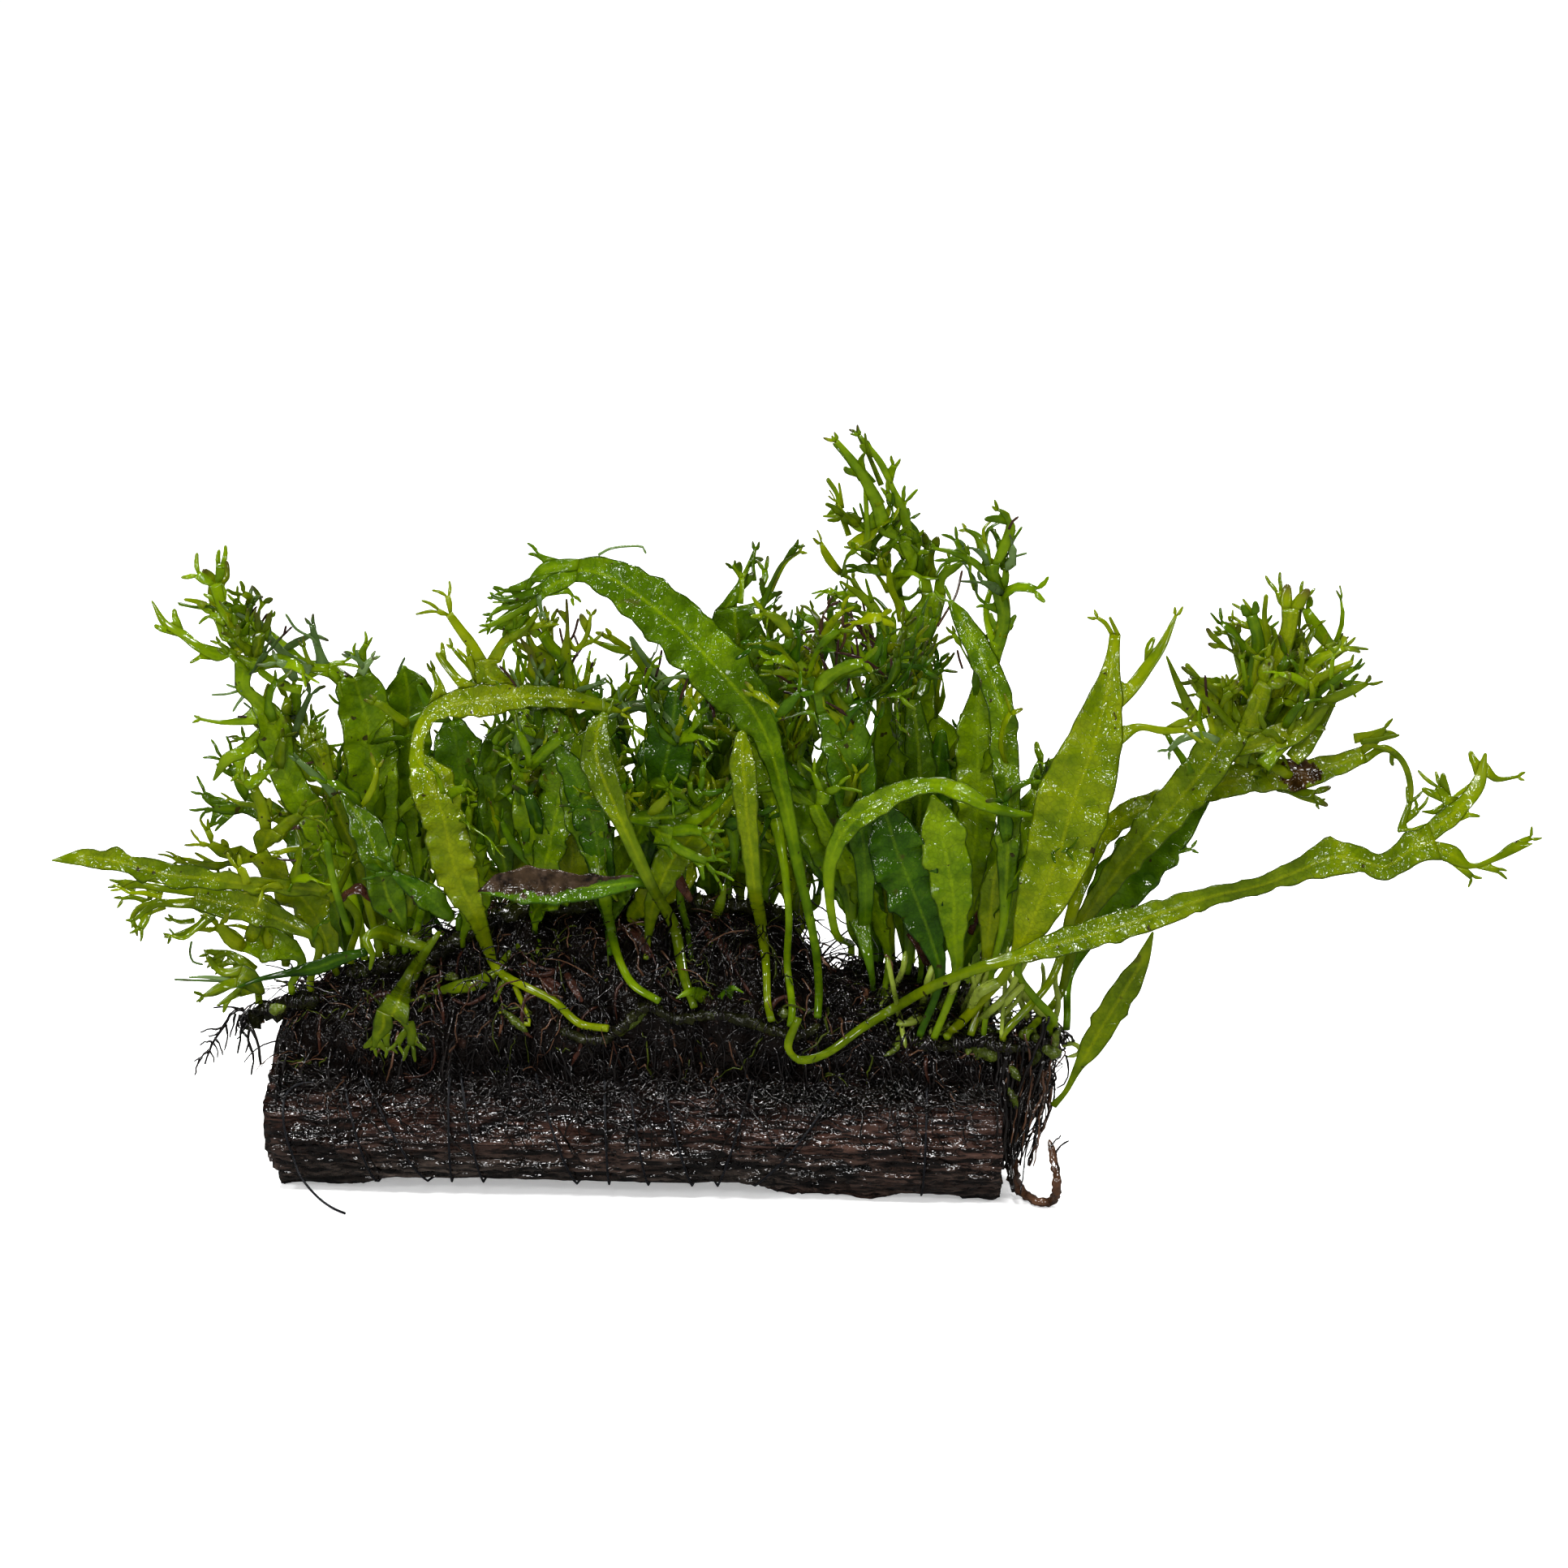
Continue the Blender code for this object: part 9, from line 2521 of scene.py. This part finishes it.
    ("b", -3, 4, .5, [(150, 1095), (160, 1100), (176, 1100), (200, 1104)]), ("b", -3, 4, .5, [(151, 1107), (166, 1106), (184, 1112)]),
    ("b", -3, 6, .4, [(168, 1143), (163, 1133), (170, 1120), (196, 1112)]), ("b", -3, 3, .5, [(176, 1132), (188, 1124), (204, 1118)]),
    ("b", -3, 5, .4, [(210, 1153), (226, 1156), (240, 1145), (256, 1128)]), ("m", -3, 1.6, .5, [(210, 1146), (215, 1152), (222, 1156)]),
    ("b", -3, 4, .5, [(213, 1133), (222, 1136), (240, 1134)]),
]
PALE = leaf_mat("leaf_pale", (0.024, 0.046, 0.012), (0.070, 0.120, 0.030), (0.150, 0.220, 0.075), (0.220, 0.330, 0.080), 0.36)
PURPLE = leaf_mat("leaf_purple", (0.006, 0.003, 0.003), (0.022, 0.009, 0.007), (0.055, 0.030, 0.012), (0.050, 0.022, 0.012), 0.12)
fans = {k: Heap() for k in "bmdpg"}
for i, (col, yy, hw, last, pts) in enumerate(FANS):
    tu, tv = pts[-1]
    ya = min(ANCHORS, key=lambda q: math.hypot(q[0] - tu, q[1] - tv) + 4.0 * abs(q[2] - yy))
    y0 = ya[2] if math.hypot(ya[0] - tu, ya[1] - tv) < 45.0 else yy
    key = 200.0 + 1.13 * i
    lean = 0.35 * wobble(key, 1.0)
    rows, n = [], len(pts)
    for j, (u, v) in enumerate(reversed(pts)):
        f = 1.0 - (1.0 - last) * (j / (n - 1.0)) ** 0.8
        p = spot(u, v, y0 + lean * math.hypot(u - tu, v - tv) * 0.163)
        rows.append((p, max(0.25, (1.40 if yy < -15 and u > 1430 else 1.12) * (0.6 if col == "p" else 1.0) * hw * f * (1.0 + 0.12 * wobble(key, j)) * unit_at(p)), 35.0 * wobble(key, 2.0) + 18.0 * wobble(key, j, 3.0)))
    rec = rec_of(Sheet(), None, rows, (), key)
    prm = frond_prm("finger%d" % i, "leaf_mid", 30.0, hw * 0.16, False)
    prm["step"], prm["slim"], prm["flat"] = 1.0, True, True
    prm["tone"] = rand(key, 4.0)
    w1 = rows[-1][1]
    if w1 > 0.30 and col in "bmg" and rand(key, 5.0) < 0.8:
        fork(rec, key, 1, w1 * 1.05, 0.40, 0.8 + 1.3 * w1)
    ribbon(fans[col], rec, None, 0.0, prm, 0)
# small ragged fingers that stand off the blades; (u, v, spread u, spread v, how many, colours, length)
TUFTS = [(1045, 838, 75, 55, 46, "mmdpb", 62), (835, 890, 60, 45, 22, "mmbg", 55), (700, 920, 75, 50, 22, "bmdg", 52), (930, 860, 45, 70, 16, "mbd", 55),
         (1545, 905, 60, 55, 34, "bbbm", 60), (1590, 830, 55, 45, 18, "bbm", 55), (1085, 690, 55, 60, 22, "mbm", 50), (1225, 700, 30, 40, 8, "mg", 40),
         (360, 900, 60, 80, 16, "bmg", 48), (320, 780, 35, 35, 12, "mbg", 36), (350, 1120, 70, 60, 14, "bbm", 50), (480, 960, 50, 60, 10, "mbd", 50),
         (650, 1000, 80, 70, 26, "mmdb", 70), (770, 960, 60, 80, 26, "mdbm", 66), (900, 960, 60, 80, 26, "mdmb", 66), (1010, 940, 50, 60, 20, "mdb", 66),
         (560, 1060, 60, 60, 14, "mbd", 60), (980, 1060, 70, 60, 14, "md", 60), (1150, 860, 50, 60, 14, "mdb", 55), (820, 1010, 80, 50, 16, "mdb", 50), (1180, 1010, 60, 70, 10, "mdb", 55)]
keep_off = set(CLEAN)
TUFT_ON = [q for q in ANCHORS if q not in keep_off]
PAINT = {"b": "b", "m": "m", "d": "d", "p": "p", "g": "g"}
k0 = 0
for (cu_, cv_, su, sv, many, cols_, ln_) in TUFTS:
    for j in range(many):
        k0 += 1
        key = 700.0 + 1.31 * k0
        u, v = cu_ + su * wobble(key, 1.0), cv_ + sv * wobble(key, 2.0)
        near = min(TUFT_ON, key=lambda q: math.hypot(q[0] - u, q[1] - v) + 0.6 * abs(q[2] + 14.0))
        if math.hypot(near[0] - u, near[1] - v) > 30.0:
            continue
        u, v = 0.5 * (u + near[0]), 0.5 * (v + near[1])
        col = cols_[int(rand(key, 3.0) * (len(cols_) - 0.001))]
        ang = 1.05 * wobble(key, 4.0) + 0.5 * wobble(key, 14.0)
        L = ln_ * (0.45 + 0.75 * rand(key, 5.0))
        hw = (3.0 + 6.2 * rand(key, 6.0)) * (0.4 if col == "p" else 1.0)
        turn = 1.5 * wobble(key, 7.0)
        y0 = near[2] - 0.6
        rows = []
        for q in range(5):
            f = q / 4.0
            rows.append((spot(u, v, y0 - (1.5 + 3.0 * wobble(key, 8.0)) * f), max(0.25, hw * (0.75, 1.05, 1.0, 0.85, 0.6)[q] * 0.163),
                         60.0 * wobble(key, 9.0) + 45.0 * wobble(key, q, 10.0)))
            a2 = ang + turn * f
            u += L / 4.0 * math.sin(a2)
            v -= L / 4.0 * math.cos(a2)
        rec = rec_of(Sheet(), None, rows, (), key)
        prm = frond_prm("tuft%d" % k0, "leaf_mid", 30.0, 1.0, False)
        prm["step"], prm["slim"], prm["tone"], prm["flat"] = 2.0, True, rand(key, 11.0), True
        if col != "p" or rand(key, 12.0) < 0.4:
            fork(rec, key, 1, rows[-1][1] * 1.15, 0.50, 1.4 + 1.8 * rows[-1][1])
        ribbon(fans[PAINT[col]], rec, None, 0.0, prm, 0)
for col, nm, mt, slot in (("d", "crest_dark", LEAF["leaf_dark"], "leaf_dark"), ("b", "crest_bright", LEAF["leaf_bright"], "leaf_bright"), ("m", "crest_mid", LEAF["leaf_mid"], "leaf_mid"),
                          ("p", "crest_purple", PURPLE, "leaf_dark"), ("g", "crest_pale", PALE, "leaf_mid")):
    fans[col].done(nm, mt, slot)

# ------------------------------------------------------------ stalks that arch over the right end
STALKS = [
    (1.05, 0.95, [(1131, 1283), (1165, 1279), (1190, 1256), (1205, 1226), (1240, 1206)], -23), (0.75, 0.70, [(1104, 1262), (1130, 1258), (1158, 1240), (1176, 1216), (1184, 1192)], -22),
    (0.85, 0.75, [(1192, 1300), (1200, 1276), (1216, 1254), (1238, 1236), (1262, 1212)], -20),
    (0.95, 0.85, [(1150, 1279), (1182, 1267), (1194, 1245), (1203, 1224), (1221, 1212), (1242, 1206)], -22),
    (0.80, 0.70, [(1136, 1284), (1171, 1283), (1196, 1267), (1221, 1245), (1242, 1224), (1253, 1203), (1267, 1174), (1273, 1150)], -20),
    (0.90, 0.80, [(1253, 1210), (1267, 1231), (1285, 1249), (1304, 1265)], -12), (0.70, 0.60, [(1139, 1252), (1157, 1242), (1175, 1220), (1176, 1200)], -19),
    (0.45, 0.40, [(1232, 1256), (1249, 1238), (1260, 1220), (1256, 1196)], -16), (0.55, 0.45, [(1309, 1290), (1320, 1285), (1331, 1292), (1326, 1300), (1315, 1302)], -11),
    (0.75, 0.65, [(1118, 1262), (1136, 1240), (1142, 1212), (1150, 1188)], -19), (0.60, 0.55, [(1210, 1262), (1216, 1238), (1212, 1214), (1222, 1190)], -18),
    (0.65, 0.60, [(1085, 1240), (1098, 1222), (1112, 1196), (1116, 1172)], -17), (0.60, 0.50, [(1240, 1262), (1244, 1236), (1252, 1212), (1250, 1186)], -15),
    (0.60, 0.50, [(1298, 1262), (1304, 1236), (1300, 1206), (1306, 1180)], -10), (0.50, 0.45, [(1282, 1268), (1278, 1240), (1286, 1212), (1284, 1186)], -8),
]
vs, fs, n = [], [], 0
for i in range(6):
    key = 83.0 + 2.3 * i
    u = 1104.0 + 36.0 * i + 14.0 * wobble(key, 1.0)
    a = wobble(key, 2.0)
    v = 1290.0 + 14.0 * rand(key, 3.0) - (16.0 if u > 1232 else 0.0)
    STALKS.append((0.42 + 0.28 * rand(key, 4.0), 0.38 + 0.25 * rand(key, 4.0),
                   [(u - 9.0 * a, v), (u, v - 20.0), (u + 10.0 * a, v - 42.0), (u + 26.0 * a, v - 74.0), (u + 44.0 * a, v - 112.0)], -16.0 - 5.0 * rand(key, 5.0) + (5.0 if u > 1236 else 0.0)))
for i, (r0, r1, pts, yy) in enumerate(STALKS):
    q = [hug(SOLID, u, v, 1.1) if u < 1236 and j < 3 else None for j, (u, v) in enumerate(pts)]
    q = [p or spot(u, v, yy) for p, (u, v) in zip(q, pts)]
    v, f = fine_tube(q, [r0 * 0.9, r0, r0, r1, r1], 0.9, 9, 0.16, i * 2.3)
    vs.append(v)
    fs += [k + n for k in f]
    n += len(v)
make_piece("arching_stalks", np.concatenate(vs), fs, STALK)

# ------------------------------------------------------------ floor and light
me = bpy.data.meshes.new("floor")
me.from_pydata([(-6, -6, 0), (6, -6, 0), (6, 6, 0), (-6, 6, 0)], [], [(0, 1, 2, 3)])
fl = bpy.data.objects.new("floor", me)
bpy.context.scene.collection.objects.link(fl)
fm = Mat("floor_white")
fm.b.inputs["Base Color"].default_value = (0.90, 0.90, 0.90, 1)
fm.b.inputs["Roughness"].default_value = 0.7
fm.b.inputs["Specular IOR Level"].default_value = 0.1
fm.b.inputs["Emission Color"].default_value = (1.0, 1.0, 1.0, 1.0)
gr = node(fm.nt, "ShaderNodeVectorMath", operation="LENGTH")
fm.link(fm.coords(), gr.inputs[0])
flp = node(fm.nt, "ShaderNodeLightPath")
# less light thrown back up into the plant than a bare white floor would give
fm.link(fm.mix(flp.outputs["Is Camera Ray"], (0.52, 0.52, 0.52), (0.90, 0.90, 0.90)), fm.b.inputs["Base Color"])
fm.link(fm.math("MULTIPLY", fm.ramp(gr.outputs["Value"], 0.25, 1.4, 0.31, 0.92), flp.outputs["Is Camera Ray"]), fm.b.inputs["Emission Strength"])
dk = node(fm.nt, "ShaderNodeBsdfDiffuse")
dk.inputs["Color"].default_value = (0.09, 0.09, 0.09, 1.0)
fx = node(fm.nt, "ShaderNodeMixShader")
fm.link(flp.outputs["Is Glossy Ray"], fx.inputs[0])
fm.link(fm.b.outputs[0], fx.inputs[1])
fm.link(dk.outputs[0], fx.inputs[2])
fm.link(fx.outputs[0], fm.out.inputs["Surface"])
me.materials.append(fm.m)

w = bpy.data.worlds.new("studio")
bpy.context.scene.world = w
w.use_nodes = True
wn = w.node_tree
bg = wn.nodes["Background"]
bg.inputs["Color"].default_value = (1.0, 1.0, 1.0, 1.0)
lp = wn.nodes.new("ShaderNodeLightPath")
mr = wn.nodes.new("ShaderNodeMapRange")
mr.inputs["To Min"].default_value = 0.15
mr.inputs["To Max"].default_value = 1.0
wn.links.new(lp.outputs["Is Camera Ray"], mr.inputs["Value"])
mg = wn.nodes.new("ShaderNodeMapRange")
mg.inputs["To Min"].default_value = 1.0
mg.inputs["To Max"].default_value = 0.14
wn.links.new(lp.outputs["Is Glossy Ray"], mg.inputs["Value"])
mm = wn.nodes.new("ShaderNodeMath")
mm.operation = "MULTIPLY"
wn.links.new(mr.outputs["Result"], mm.inputs[0])
wn.links.new(mg.outputs["Result"], mm.inputs[1])
wn.links.new(mm.outputs[0], bg.inputs["Strength"])


def area(name, loc, target, sx, sy, power):
    li = bpy.data.lights.new(name, "AREA")
    li.shape = "RECTANGLE"
    li.size, li.size_y = sx, sy
    li.energy = power * 1.12
    ob = bpy.data.objects.new(name, li)
    bpy.context.scene.collection.objects.link(ob)
    ob.location = loc
    ob.rotation_euler = (Vector(target) - Vector(loc)).to_track_quat("-Z", "Y").to_euler()
    return ob


area("softbox_top", (-0.12, 0.42, 0.82), (0.0, 0.0, 0.05), 0.20, 0.15, 8.5)
area("softbox_high", (0.15, -0.10, 0.95), (0.0, 0.0, 0.05), 0.11, 0.11, 6.5)
area("softbox_front", (-0.12, -0.62, 0.80), (0.0, 0.0, 0.05), 0.12, 0.10, 4.6)
area("softbox_left", (-0.8, -0.45, 0.70), (0.0, 0.0, 0.06), 0.11, 0.11, 4.6)
area("softbox_right", (0.8, -0.4, 0.6), (0.0, 0.0, 0.06), 0.09, 0.09, 3.0)
for i, (lx, ly, lz) in enumerate([(-0.42, -0.88, 0.30), (0.10, -0.98, 0.24), (0.46, -0.84, 0.46), (-0.10, -0.90, 0.62), (-0.70, -0.62, 0.40)]):
    area("softbox_small_%d" % i, (lx, ly, lz), (0.0, 0.0, 0.06), 0.11, 0.09, 1.55)
bpy.context.scene.view_settings.view_transform = "Standard"

bpy.context.view_layer.update()
print("triangles", sum(TRI.values()), "largest", sorted(TRI.items(), key=lambda q: -q[1])[:5])
